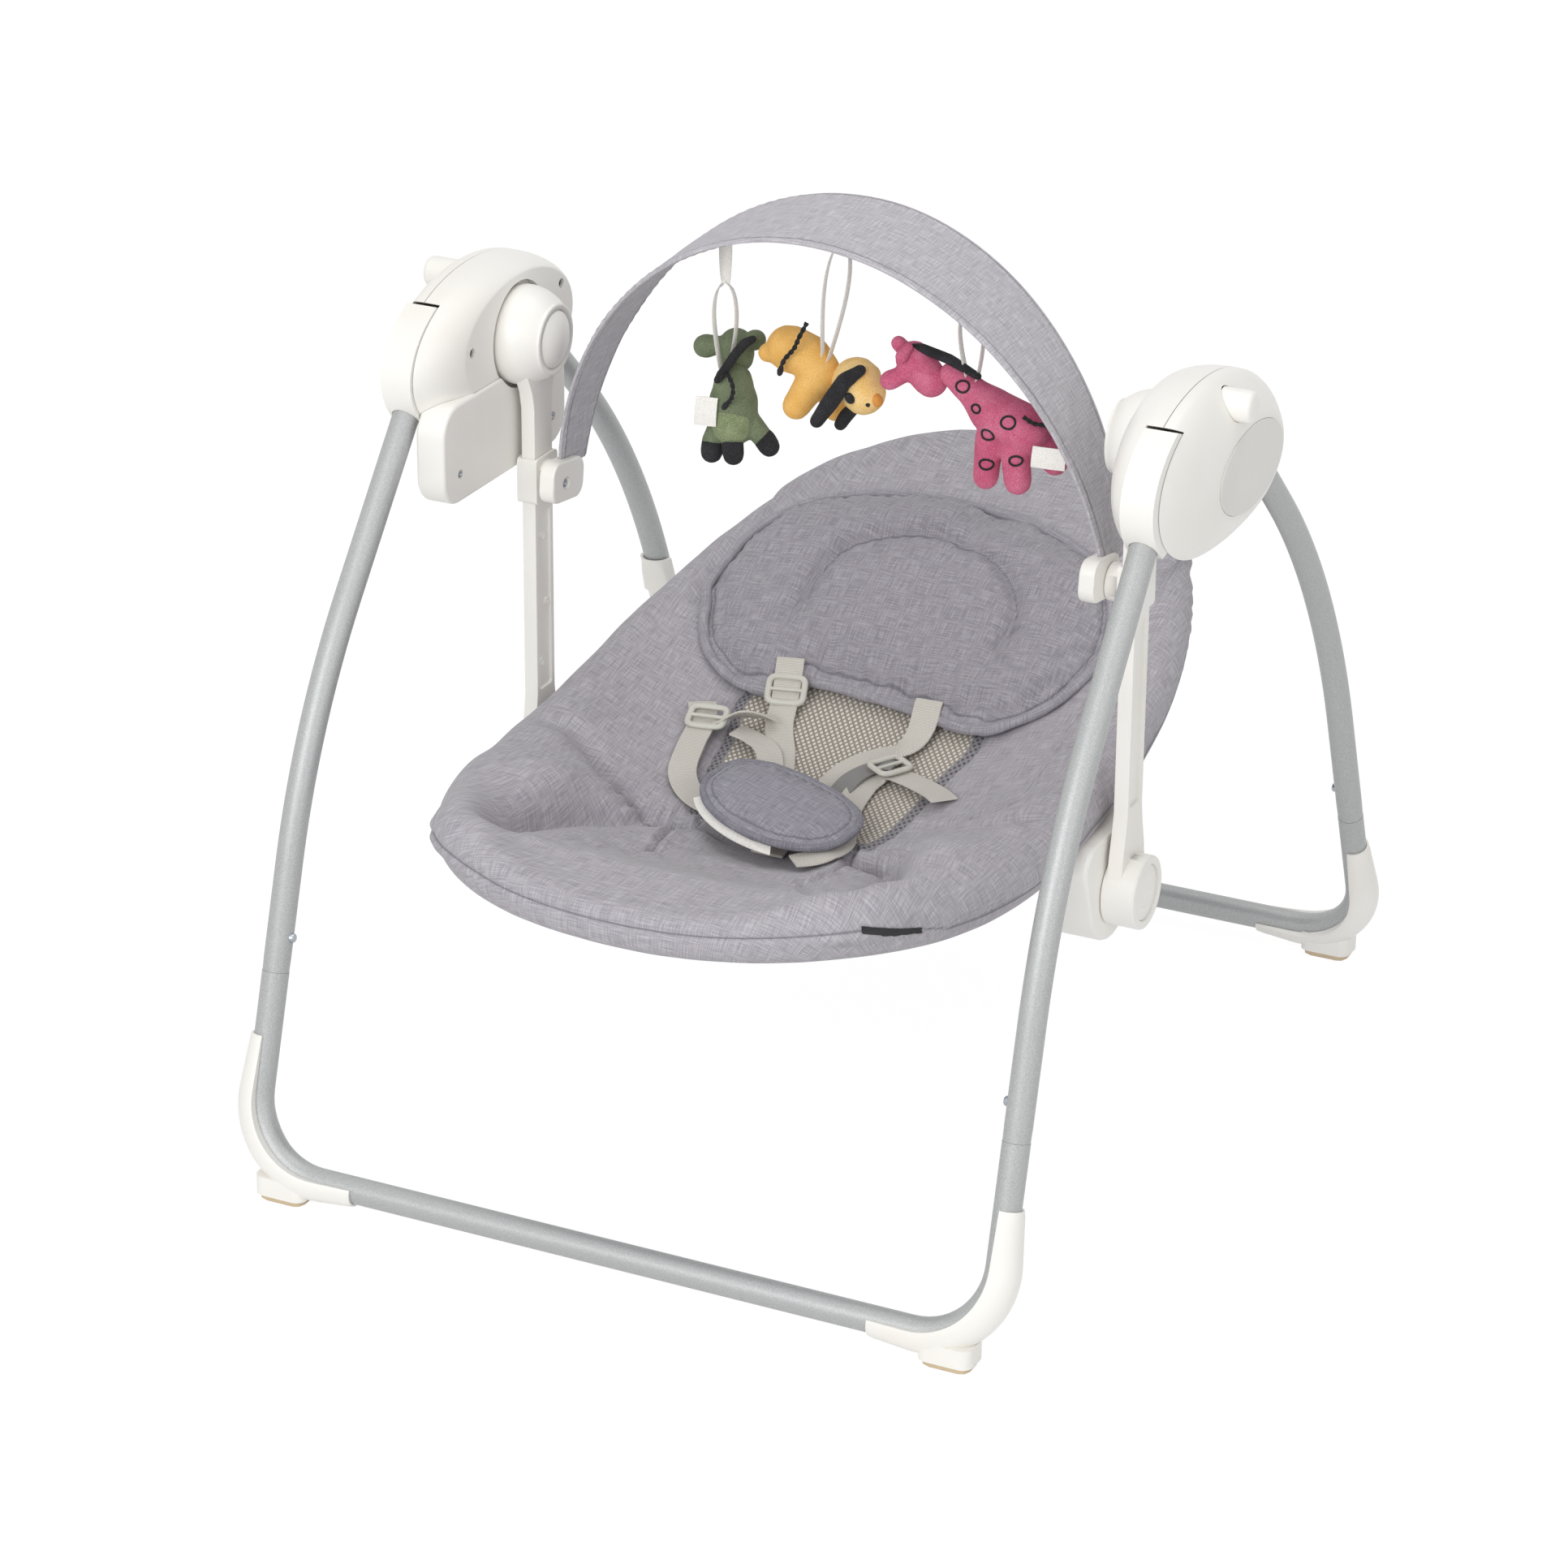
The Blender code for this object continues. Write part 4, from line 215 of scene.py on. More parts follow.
# Zinc-plated steel: screws and the axle, bright with fine turning marks
screw_steel, tree, shader = finish_of("zinc_plated_steel", "A9B0B6", 0.30, Metallic=1.0)
place = node(tree, "TexCoord").outputs["Object"]
marks = node(tree, "TexNoise", {"Scale": 1 / (0.6 * MM)}, {"Vector": place})
bump = node(tree, "Bump", {"Distance": 0.02 * MM, "Strength": 0.5}, {"Height": marks})
wire(tree, shader, Normal=bump)
motor_can = moulded_plastic("dull_nickel_plate", "8E9194", "85888B", 0.40)
print(len(bpy.data.materials), "finishes so far")

# %% [markdown]
# ## Making solids
# Tubes, covers and arms are skins over a row of outlines, as a boat's planking goes over its frames.
# Holes and joined bosses are cut or added with booleans, and the result is kept as a plain mesh.

# %% Skins and outlines
Z_UP = Vector((0, 0, 1))
X_OUT = Vector((1, 0, 0))


def lofted(rings, closed=False, uv=None):
    """Skin rings of equal length. A ring of one point is a tip; uv(row, column) gives metres."""
    bm = bmesh.new()
    layer = bm.loops.layers.uv.new("UVMap") if uv else None
    rows = [[bm.verts.new(p) for p in ring] for ring in rings]
    order = list(range(len(rows))) + ([0] if closed else [])
    for r, (a, b) in enumerate(zip(order, order[1:])):
        low, high = rows[a], rows[b]
        count = max(len(low), len(high))
        for i in range(count):
            j = i + 1
            corners = [(low[i % len(low)], r, i), (low[j % count % len(low)], r, j),
                       (high[j % count % len(high)], r + 1, j), (high[i % len(high)], r + 1, i)]
            unique = list({c[0]: c for c in corners}.values())
            if len(unique) > 2:
                face = bm.faces.new([c[0] for c in unique])
                if uv:
                    for loop, (_, row, column) in zip(face.loops, unique):
                        loop[layer].uv = uv(row, column)
    if not closed:
        for row in (rows[0], rows[-1]):
            if len(row) > 2:
                bm.faces.new(row)
    return bm


def solid(name, bm, material=None, sharp=35):
    """An object from a bmesh, smooth apart from its sharp edges."""
    bmesh.ops.remove_doubles(bm, verts=bm.verts, dist=1e-6)
    bmesh.ops.recalc_face_normals(bm, faces=bm.faces)
    mesh = bpy.data.meshes.new(name)
    bm.to_mesh(mesh)
    bm.free()
    mesh.shade_smooth()
    mesh.set_sharp_from_angle(angle=math.radians(sharp))
    obj = bpy.data.objects.new(name, mesh)
    scene.collection.objects.link(obj)
    if material:
        mesh.materials.append(material)
    return obj


def fitted(obj, body, slot, *nodes):
    """The piece rides on its body, and stands for the CAD nodes that it shows in more detail."""
    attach(obj, body)
    if nodes:
        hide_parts(*nodes)
    return obj


def size_of(obj):
    return [round(v, 3) for v in obj.dimensions]


def baked(obj):
    """Apply the modifiers and keep the result as the piece's own mesh."""
    bpy.context.view_layer.update()
    mesh = bpy.data.meshes.new_from_object(obj.evaluated_get(bpy.context.evaluated_depsgraph_get()))
    obj.modifiers.clear()
    obj.data = mesh
    return obj


def subdivided(obj):
    modifier = obj.modifiers.new("finer", "SUBSURF")
    modifier.levels = modifier.render_levels = 1
    return baked(obj)


def carved(obj, joined=(), cut=(), soften=0.0):
    """Add and cut away other solids, then round the edges a little."""
    for operation, others in (("UNION", joined), ("DIFFERENCE", cut)):
        for other in others:
            modifier = obj.modifiers.new(other.name, "BOOLEAN")
            modifier.operation, modifier.object, modifier.solver = operation, other, "EXACT"
    baked(obj)
    for other in (*joined, *cut):
        bpy.data.objects.remove(other, do_unlink=True)
    if soften:
        modifier = obj.modifiers.new("soft_edges", "BEVEL")
        modifier.width, modifier.segments, modifier.limit_method = soften, 2, "ANGLE"
        modifier.angle_limit = math.radians(38)
        baked(obj)
    obj.data.shade_smooth()
    obj.data.set_sharp_from_angle(angle=math.radians(35))
    weighted = obj.modifiers.new("flat_faces_stay_flat", "WEIGHTED_NORMAL")
    weighted.keep_sharp = True
    return baked(obj)


def circle(radius, sides):
    return [(radius * math.cos(2 * math.pi * i / sides), radius * math.sin(2 * math.pi * i / sides))
            for i in range(sides)]


def oval(a, b, sides=96, y=0.0, z=0.0):
    return [(y + a * c, z + b * s) for c, s in circle(1.0, sides)]


def run_of(path):
    """Distance along the path at each of its points."""
    return np.cumsum([0.0] + [(b - a).length for a, b in zip(path, path[1:])])


def direction_at(path, i):
    return (path[min(i + 1, len(path) - 1)] - path[max(i - 1, 0)]).normalized()


def swept(path, sections, up, uv=None):
    """Skin the sections (a, b) along the path: a runs along up, and b across it."""
    rings = []
    for i, point in enumerate(path):
        along = direction_at(path, i)
        side = (up - along * up.dot(along)).normalized()
        across = along.cross(side)
        rings.append([point + side * a + across * b for a, b in sections[i]])
    return lofted(rings, uv=uv)


def pipe(path, radius, up, sides=32):
    radii = radius if isinstance(radius, (list, tuple)) else [radius] * len(path)
    return swept(path, [circle(r, sides) for r in radii], up)


def turned(profile, y, z, side, sides=64, closed=False):
    """A solid turned about an X axis from (x, radius) pairs; x is measured outwards."""
    return lofted([
        [Vector((side * x, y + a, z + b)) for a, b in circle(r, sides)] if r else [Vector((side * x, y, z))]
        for x, r in profile], closed)


def plug(x0, x1, radius, y, z, side, sides=64):
    return turned([(x0, 0), (x0, radius), (x1, radius), (x1, 0)], y, z, side, sides)


def prism(outline, x0, x1, side=1.0):
    """A (y, z) outline extruded along X."""
    return lofted([[Vector((side * x, y, z)) for y, z in outline] for x in (x0, x1)])


def rounded_rectangle(width, height, radius, steps=8):
    points = []
    for cx, cy, start in ((1, 1, 0), (-1, 1, 90), (-1, -1, 180), (1, -1, 270)):
        for i in range(steps + 1):
            angle = math.radians(start + 90 * i / steps)
            points.append((cx * (width / 2 - radius) + radius * math.cos(angle),
                           cy * (height / 2 - radius) + radius * math.sin(angle)))
    return points


def bent(value, power):
    """The value's power with its sign kept, which squares or pinches a round outline."""
    return math.copysign(abs(value) ** power, value)


def placed(points, angle, y, z):
    c, s = math.cos(angle), math.sin(angle)
    return [(y + a * c - b * s, z + a * s + b * c) for a, b in points]


# %% [markdown]
# ## Folding frame
# The frame is 19 mm steel tube with silver powder coat. Each floor tube is bent up at its ends, and
# a leg slips over it and locks with a spring button. The legs are straight, then one wide arc, then
# straight into the hub, so their path is worked out from those three stretches.

# %% Leg paths
TUBE_R = 0.0095
GAP = 0.0003    # clearance that keeps neighbouring mouldings apart
FLOOR_Y, FLOOR_Z, BEND_R, KNEE_Z, LEG_X, LEAN_X = 0.348, 0.0188, 0.055, 0.225, 0.280, 0.0045
HUB_Y, HUB_Z = -0.017, 0.531
LEGS = {
    "front": dict(end=-1.0, low=math.radians(16.0), top=math.radians(38.2), curve=0.487, top_z=0.536,
                  joint_z=0.152, body="front_frame"),
    "rear": dict(end=1.0, low=math.radians(20.0), top=math.radians(46.6), curve=0.570, top_z=0.530,
                 joint_z=0.138, body="stand"),
}


def leg_point(leg, side, z):
    low, top, radius = leg["low"], leg["top"], leg["curve"]
    knee_y = FLOOR_Y - (KNEE_Z - FLOOR_Z) * math.tan(low)
    arc_top_z = KNEE_Z + radius * (math.sin(top) - math.sin(low))
    arc_top_y = knee_y - radius * (math.cos(low) - math.cos(top))
    if z <= KNEE_Z:
        distance = FLOOR_Y - (z - FLOOR_Z) * math.tan(low)
    elif z <= arc_top_z:
        angle = math.asin((z - KNEE_Z) / radius + math.sin(low))
        distance = knee_y - radius * (math.cos(low) - math.cos(angle))
    else:
        distance = arc_top_y - (z - arc_top_z) * math.tan(top)
    lean = LEAN_X * (z - FLOOR_Z) / (HUB_Z - FLOOR_Z)
    return Vector((side * (LEG_X - lean), leg["end"] * distance, z))


def leg_path(leg, side, z0, z1, steps):
    return [leg_point(leg, side, z0 + (z1 - z0) * i / steps) for i in range(steps + 1)]


def corner_path(leg, side, steps=14):
    """The bend from the floor bar up into the leg."""
    up = (leg_point(leg, side, KNEE_Z) - leg_point(leg, side, FLOOR_Z)).normalized()
    inwards = Vector((-side, 0, 0))
    sweep = math.pi - math.acos(inwards.dot(up))
    start = leg_point(leg, side, FLOOR_Z) + inwards * BEND_R * math.tan(sweep / 2)
    across = (up - inwards * up.dot(inwards)).normalized()
    centre = start + across * BEND_R
    return [centre - across * BEND_R * math.cos(sweep * i / steps)
            - inwards * BEND_R * math.sin(sweep * i / steps) for i in range(steps + 1)]


def frame_normal(leg):
    return X_OUT.cross(leg_point(leg, 1, KNEE_Z) - leg_point(leg, 1, FLOOR_Z)).normalized()


# %% Tubes and spring buttons
for end_name, leg in LEGS.items():
    normal = frame_normal(leg)
    halves = [corner_path(leg, side) + [leg_point(leg, side, leg["joint_z"])] for side in (-1.0, 1.0)]
    floor_tube = solid(f"{end_name}_floor_bar", pipe(halves[0][::-1] + halves[1], TUBE_R, normal), tube_steel)
    fitted(floor_tube, leg["body"], "silver_paint", f"{end_name}_floor_tube")
    for side_name, side in SIDES.items():
        path = leg_path(leg, side, leg["joint_z"] + GAP, leg["top_z"], 40)
        upward = (path[1] - path[0]).normalized()
        # the leg's mouth is swaged a little wider, which leaves a fine step where the tubes meet
        radii = [TUBE_R * 0.975] + [TUBE_R] * (len(path) - 1)
        fitted(solid(f"{end_name}_leg_tube_{side_name}",
                     pipe([path[0] - upward * 0.0002] + path[1:], radii, normal),
                     tube_steel), leg["body"], "silver_paint", f"{end_name}_leg_{side_name}")
        seat_at = leg_point(leg, side, leg["joint_z"] + 0.024)
        inward = Vector((-side, 0, 0))
        button = pipe([seat_at + inward * d
                       for d in (TUBE_R - 0.002, TUBE_R + 0.0012, TUBE_R + 0.0022, TUBE_R + 0.0026)],
                      [0.0034, 0.0034, 0.0027, 0.0012], upward, 24)
        fitted(solid(f"{end_name}_spring_button_{side_name}", button, screw_steel), leg["body"],
               "silver_paint")
print("floor tubes", size_of(floor_tube))

# %% [markdown]
# ## Feet
# Each bottom corner has a moulded cover, thin where it ends on the tube and fullest at the bend. It
# is an open channel that clips over the tube, so it is skinned along the bend and the tube's own
# shape is cut out of it. A small rubber pad carries it.

# %% Corner covers
FOOT_TOP_Z, FOOT_INNER_X, FOOT_BASE_Z = 0.109, 0.196, 0.0048
TONGUE, BULGE, HALF_WIDTH, LIP = 0.0118, 0.0165, 0.0170, 0.0015
for end_name, leg in LEGS.items():
    normal = frame_normal(leg)
    for side_name, side in SIDES.items():
        bend = corner_path(leg, side, 22)
        first = leg_point(leg, side, FLOOR_Z)
        first.x = side * FOOT_INNER_X
        path = [first.lerp(bend[0], t / 6) for t in range(6)] + bend
        path += [leg_point(leg, side, bend[-1].z + (FOOT_TOP_Z - bend[-1].z) * t / 8) for t in range(1, 9)]
        lengths = run_of(path)
        rings = []
        for i, point in enumerate(path):
            share = lengths[i] / lengths[-1]
            swell = math.sin(math.pi * share) ** 1.2
            # both ends are rounded off, as a moulded lip is
            end = min(1.0, math.sqrt(min(share, 1 - share) / 0.035 + 0.42))
            depth = (TONGUE + (BULGE - TONGUE) * swell) * (0.86 + 0.14 * end)
            width = (TONGUE + (HALF_WIDTH - TONGUE) * swell) * (0.90 + 0.10 * end)
            outward = direction_at(path, i).cross(normal) * side
            ring = [point + outward * depth * math.cos(math.radians(a)) + normal * width * math.sin(math.radians(a))
                    for a in range(-90, 91, 10)]
            ring += [point - outward * LIP + normal * width * 0.97,
                     point - outward * LIP - normal * width * 0.97]
            rings.append(ring)
        cover = solid(f"{end_name}_corner_cover_{side_name}", lofted(rings), white_abs)
        longer = [path[0] - (path[1] - path[0]).normalized() * 0.01] + path[1:-1]
        longer.append(path[-1] + (path[-1] - path[-2]).normalized() * 0.01)
        channel = solid("foot_channel", pipe(longer, TUBE_R + GAP, normal))
        y = path[0].y
        floor_cut = solid("foot_floor", prism(
            [(y - 0.08, -0.05), (y + 0.08, -0.05), (y + 0.08, FOOT_BASE_Z), (y - 0.08, FOOT_BASE_Z)],
            FOOT_INNER_X - 0.03, LEG_X + 0.05, side))
        boss = solid("foot_boss", lofted([
            [Vector((side * 0.252 + a, leg["end"] * FLOOR_Y + b, z))
             for a, b in rounded_rectangle(0.039, 0.027, 0.008)]
            for z in (FOOT_BASE_Z - 0.002, FLOOR_Z)]))
        carved(cover, [boss], [floor_cut, channel], 0.0006)
        fitted(cover, leg["body"], "white_plastic", f"{end_name}_foot_{side_name}")
        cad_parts[f"{end_name}_pad_{side_name}"].data.materials[0] = pad_rubber
print("corner cover", size_of(cover))

# %% [markdown]
# ## Hub housings
# Each housing is two thin moulded shells, shaped like a long egg. They meet in a fine seam over the
# leg, and the folding leg's knuckle moves in a slot between them. The outer shell ends in a flat
# oval panel. The inner one ends in a flat face that wraps round the ball joint like a crescent.

# %% Egg-shaped shells
SPLIT_X, OUTER_X, INNER_X, WALL = 0.2755, 0.3036, 0.2425, 0.0026
OUTER_DEPTH, INNER_DEPTH = 0.0281, 0.0330
OUTER_SKIN = [(SPLIT_X + OUTER_DEPTH * s, k) for s, k in (
    (0, 1.0), (0.231, 0.990), (0.445, 0.938), (0.658, 0.840), (0.836, 0.715), (0.950, 0.615), (1, 0.555))]
INNER_SKIN = [(SPLIT_X - INNER_DEPTH * s, k) for s, k in (
    (0, 1.0), (0.318, 0.985), (0.561, 0.940), (0.773, 0.870), (0.924, 0.790), (1, 0.730))]
EGG_Y, EGG_Z, EGG_A, EGG_B = -0.0275, 0.5245, 0.1073, 0.0599


def hermite(t, span, start, end, leaving, arriving):
    """Cubic between two values, with the slopes at both."""
    return ((2 * t**3 - 3 * t**2 + 1) * start + (t**3 - 2 * t**2 + t) * span * leaving
            + (3 * t**2 - 2 * t**3) * end + (t**3 - t**2) * span * arriving)


def monotone(knots, x):
    """Smooth value between knots without overshoot."""
    xs, ys = [k[0] for k in knots], [k[1] for k in knots]
    if xs[0] > xs[-1]:
        xs, ys = xs[::-1], ys[::-1]
    i = int(np.clip(np.searchsorted(xs, x) - 1, 0, len(xs) - 2))
    steps = [(ys[k + 1] - ys[k]) / (xs[k + 1] - xs[k]) for k in range(len(xs) - 1)]
    ends = []
    for k in (i, i + 1):
        if k == 0 or k == len(xs) - 1:
            ends.append(steps[min(k, len(steps) - 1)])
        else:
            a, b = steps[k - 1], steps[k]
            ends.append(0.0 if a * b <= 0 else 2 * a * b / (a + b))
    span, t = xs[i + 1] - xs[i], min(max((x - xs[i]) / (xs[i + 1] - xs[i]), 0.0), 1.0)
    return hermite(t, span, ys[i], ys[i + 1], *ends)


def egg(skin, target, x, inset=0.0):
    """The housing's outline at x: it shrinks and moves towards the target's middle."""
    scale = monotone(skin, x)
    shift = (1 - scale) / (1 - skin[-1][1])
    return oval(EGG_A * scale - inset, EGG_B * scale - inset, 120,
                EGG_Y + (target[0] - EGG_Y) * shift, EGG_Z + (target[1] - EGG_Z) * shift)


def shell(skin, target, side):
    """A hollow shell, from its inner skin round the seam to its flat face with a rolled edge."""
    face, way = skin[-1][0], 1 if skin[-1][0] > skin[0][0] else -1
    split = skin[0][0] + way * GAP
    span = face - split
    places = [(face - way * WALL, WALL * 1.6)] + [(split + span * s, WALL) for s in (0.80, 0.6, 0.4, 0.2)]
    places += [(split, WALL), (split, 0.0004), (split + way * 0.0004, 0.0)]
    places += [(split + span * s, 0.0) for s in np.linspace(0.06, 0.975, 20)]
    places += [(face - way * 0.0002, 0.0003), (face, 0.0010)]
    return lofted([[Vector((side * x, y, z)) for y, z in egg(skin, target, x, inset)] for x, inset in places])


def sector(inner_r, outer_r, start, end, steps=24):
    arc = [math.radians(start + (end - start) * i / steps) for i in range(steps + 1)]
    return ([(HUB_Y + outer_r * math.cos(a), HUB_Z + outer_r * math.sin(a)) for a in arc]
            + [(HUB_Y + inner_r * math.cos(a), HUB_Z + inner_r * math.sin(a)) for a in reversed(arc)])


# %% Housings with their slot, boss, pocket and panel
BALL_R, POCKET_FLOOR_X, PANEL_Y, PANEL_Z = 0.0355, 0.2485, -0.003, 0.5195
FOLD_Y, FOLD_Z = -0.0225, 0.5685
POCKET_R, POCKET_MOUTH_X, BOSS_R, PAST_HUB_X = 0.0385, 0.1975, 0.0150, 0.332
KEY_R, KEY_Z, KEY_OFFSETS = 0.0069, PANEL_Z - 0.006, (-0.02, 0.02)
SCREWS_BOTH = ((-0.085, 0.5370, 0.0065), (0.0445, 0.5500, 0.0065))    # y, z and depth under the face
SCREWS_INNER = {"left": (*SCREWS_BOTH, (-0.0720, 0.5010, 0.0035)), "right": SCREWS_BOTH}
for side_name, side in SIDES.items():
    outer = solid(f"housing_outer_shell_{side_name}", shell(OUTER_SKIN, (PANEL_Y, PANEL_Z), side), white_abs)
    inner = solid(f"housing_inner_shell_{side_name}", shell(INNER_SKIN, (HUB_Y, HUB_Z), side), white_abs)

    def slot_cut():
        return solid("fold_slot",
                     prism(sector(0.036, 0.2146, 152, 278), SPLIT_X - 0.0121, SPLIT_X + 0.0121, side))

    def tube_cut():
        return solid("rear_tube_channel",
                     pipe(leg_path(LEGS["rear"], side, 0.42, 0.5303, 12), TUBE_R + GAP, X_OUT))

    low, high = leg_point(LEGS["rear"], side, 0.506), leg_point(LEGS["rear"], side, 0.534)
    saddle = [(low.y - 0.008, low.z - 0.009), (low.y + 0.008, low.z + 0.008),
              (high.y + 0.008, high.z + 0.009), (high.y - 0.009, high.z - 0.008)]
    carved(outer, [
        solid("outer_boss", plug(SPLIT_X + GAP, OUTER_X - 0.0022, BOSS_R, HUB_Y, HUB_Z, side, 32)),
        solid("outer_saddle", prism(saddle, SPLIT_X + GAP, SPLIT_X + OUTER_DEPTH * 0.730, side)),
    ], [
        slot_cut(), tube_cut(),
        solid("panel_recess",
              prism(oval(0.0563, 0.0298, 96, PANEL_Y, PANEL_Z), OUTER_X - 0.0016, OUTER_X + 0.01, side)),
        solid("button_hole", plug(SPLIT_X + 0.0078, PAST_HUB_X, 0.0114, FOLD_Y, FOLD_Z, side)),
    ] + ([solid("key_hole", plug(OUTER_X - 0.0083, PAST_HUB_X, KEY_R, PANEL_Y + d, KEY_Z, side, 32))
          for d in KEY_OFFSETS] if side < 0 else []))
    screw_holes = [solid("screw_recess", plug(0.22, INNER_X + depth, 0.0036, y, z, side, 32))
                   for y, z, depth in SCREWS_INNER[side_name]]
    carved(inner, [
        solid("pocket_wall",
              plug(INNER_X + 0.0015, POCKET_FLOOR_X + WALL, POCKET_R + WALL, HUB_Y, HUB_Z, side, 72)),
        solid("inner_boss", plug(POCKET_FLOOR_X + 0.0008, SPLIT_X - GAP, BOSS_R, HUB_Y, HUB_Z, side, 32)),
        solid("inner_saddle", prism(saddle, SPLIT_X - INNER_DEPTH * 0.682, SPLIT_X - GAP, side)),
    ], [
        slot_cut(), tube_cut(),
        solid("hub_pocket", plug(POCKET_MOUTH_X, POCKET_FLOOR_X, POCKET_R, HUB_Y, HUB_Z, side, 96)),
        solid("axle_bearing", plug(POCKET_MOUTH_X, 0.263, 0.0062, HUB_Y, HUB_Z, side, 32)),
    ] + screw_holes)
    fitted(outer, "stand", "white_plastic", f"housing_outer_{side_name}")
    fitted(inner, "stand", "white_plastic", f"housing_inner_{side_name}")
    for n, (y, z, depth) in enumerate(SCREWS_INNER[side_name]):
        x = INNER_X + depth
        head = solid(f"housing_screw_{side_name}_{n}", turned(
            [(x - 0.0002, 0), (x - 0.0014, 0.0009), (x - 0.0019, 0.0014), (x - 0.0016, 0.0026),
             (x + 0.0006, 0.0029), (x + 0.0006, 0)],
            y, z, side, 24), screw_steel)
        fitted(head, "stand", "steel")

    panel_name = "control_panel" if side < 0 else "side_panel"
    panel_edge = [(0.0, 0.0), (0.0019, 0.0), (0.0022, 0.0004)]
    panel = solid(f"{panel_name}_plate", lofted([
        [Vector((side * (OUTER_X - 0.0013 + d), y, z))
         for y, z in oval(0.0560 - s, 0.0295 - s, 96, PANEL_Y, PANEL_Z)]
        for d, s in panel_edge]), grey_abs)
    if side < 0:
        carved(panel, (), [solid("key_hole", plug(0.29, 0.33, KEY_R, PANEL_Y + d, KEY_Z, side, 32))
                           for d in KEY_OFFSETS])
    fitted(panel, "stand", "grey_panel", panel_name)
    tip = OUTER_X + 0.0084
    fold = solid(f"fold_release_{side_name}", turned(
        [(OUTER_X - 0.0146, 0), (OUTER_X - 0.0146, 0.0110), (tip - 0.0042, 0.0110), (tip - 0.0026, 0.0107),
         (tip - 0.0012, 0.0098), (tip - 0.0003, 0.0078), (tip, 0.0050), (tip, 0)], FOLD_Y, FOLD_Z, side),
                 white_abs)
    fitted(fold, f"fold_button_{side_name}", "white_plastic", f"fold_button_{side_name}")
for key in ("power_key", "music_key"):
    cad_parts[key].data.materials[0] = key_silicone
print("housing", size_of(outer), "faces", len(outer.data.polygons) + len(inner.data.polygons))

# %% [markdown]
# ## Motor box and knuckles
# The box under the left housing holds the gear motor, and two screws close it. Its top is hollowed
# where the housing's shell passes over it. A knuckle in each housing carries the top of a front leg
# and turns on the hub when the frame folds.

# %% Motor box
BOX_Y, BOX_Z, BOX_L, BOX_H, BOX_IN, BOX_OUT = -0.0425, 0.4715, 0.177, 0.073, 0.2405, 0.2630


def box_ring(x, inset):
    shape = rounded_rectangle(BOX_L - 2 * inset, BOX_H - 2 * inset, 0.022 - inset, 12)
    return [Vector((-x, y, z)) for y, z in placed(shape, 0.0, BOX_Y, BOX_Z)]


edge = [(0.0, 0.0030), (0.0002, 0.0021), (0.0006, 0.0013), (0.0012, 0.0007), (0.0021, 0.0002), (0.0030, 0.0)]
motor_box = solid("motor_box_cover", lofted(
    [box_ring(BOX_IN + d, i) for d, i in edge] + [box_ring(BOX_OUT - d, i) for d, i in edge[::-1]]),
                  white_abs)
clear_x = [SPLIT_X + 0.01] + [SPLIT_X - INNER_DEPTH * s
                              for s in np.linspace(0, 0.985, 16)] + [INNER_X - 0.0006]
BOX_SCREWS = ((-0.1080, 0.4560), (0.0260, 0.4560))
carved(motor_box, (), [
    solid("box_hollow",
          prism(placed(rounded_rectangle(BOX_L - 0.006, BOX_H - 0.006, 0.019), 0.0, BOX_Y, BOX_Z),
                BOX_IN + 0.0025, BOX_OUT - 0.002, -1.0)),
    solid("shell_clearance",
          lofted([[Vector((-x, y, z)) for y, z in egg(INNER_SKIN, (HUB_Y, HUB_Z), x, -0.0006)]
                  for x in clear_x])),
    solid("ball_clearance", plug(POCKET_MOUTH_X, INNER_X + 0.004, POCKET_R, HUB_Y, HUB_Z, -1.0, 96)),
] + [solid("box_screw_recess", plug(0.22, BOX_IN + 0.0012, 0.0034, y, z, -1.0, 32)) for y, z in BOX_SCREWS])
fitted(motor_box, "stand", "white_plastic", "motor_box")
for n, (y, z) in enumerate(BOX_SCREWS):
    fitted(solid(f"box_screw_{n}", turned(
        [(BOX_IN + 0.0014, 0), (BOX_IN + 0.0008, 0.0007), (BOX_IN + 0.0002, 0.0013),
         (BOX_IN + 0.0003, 0.0024), (BOX_IN + 0.0016, 0.0027), (BOX_IN + 0.0016, 0)], y, z, -1.0, 24),
                 screw_steel), "stand", "steel")
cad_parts["gear_motor"].data.materials[0] = motor_can


# %% Knuckles
def shell_edge(degrees):
    """Where a ray from the hub at this angle meets the housing's outline."""
    dy, dz = math.cos(math.radians(degrees)), math.sin(math.radians(degrees))
    u, v, p, q = (HUB_Y - EGG_Y) / EGG_A, (HUB_Z - EGG_Z) / EGG_B, dy / EGG_A, dz / EGG_B
    a, b, c = p * p + q * q, 2 * (u * p + v * q), u * u + v * v - 1
    t = (-b + math.sqrt(b * b - 4 * a * c)) / (2 * a)
    return HUB_Y + t * dy, HUB_Z + t * dz


for side_name, side in SIDES.items():
    outline = [shell_edge(153.5 + 49.5 * i / 24) for i in range(25)]
    outline += [(HUB_Y + 0.0240 * math.cos(math.radians(a)), HUB_Z + 0.0240 * math.sin(math.radians(a)))
                for a in np.linspace(250, 500, 40)]
    knuckle = solid(f"folding_knuckle_{side_name}", prism(outline, SPLIT_X - 0.0117, SPLIT_X + 0.0117, side),
                    white_abs)
    carved(knuckle, (), [
        solid("knuckle_socket", pipe(leg_path(LEGS["front"], side, 0.45, 0.5363, 12), TUBE_R + GAP, X_OUT)),
        solid("knuckle_pivot", plug(SPLIT_X - 0.0234, SPLIT_X + 0.0234, 0.0153, HUB_Y, HUB_Z, side)),
    ], 0.0009)
    fitted(knuckle, "front_frame", "white_plastic", f"front_knuckle_{side_name}")
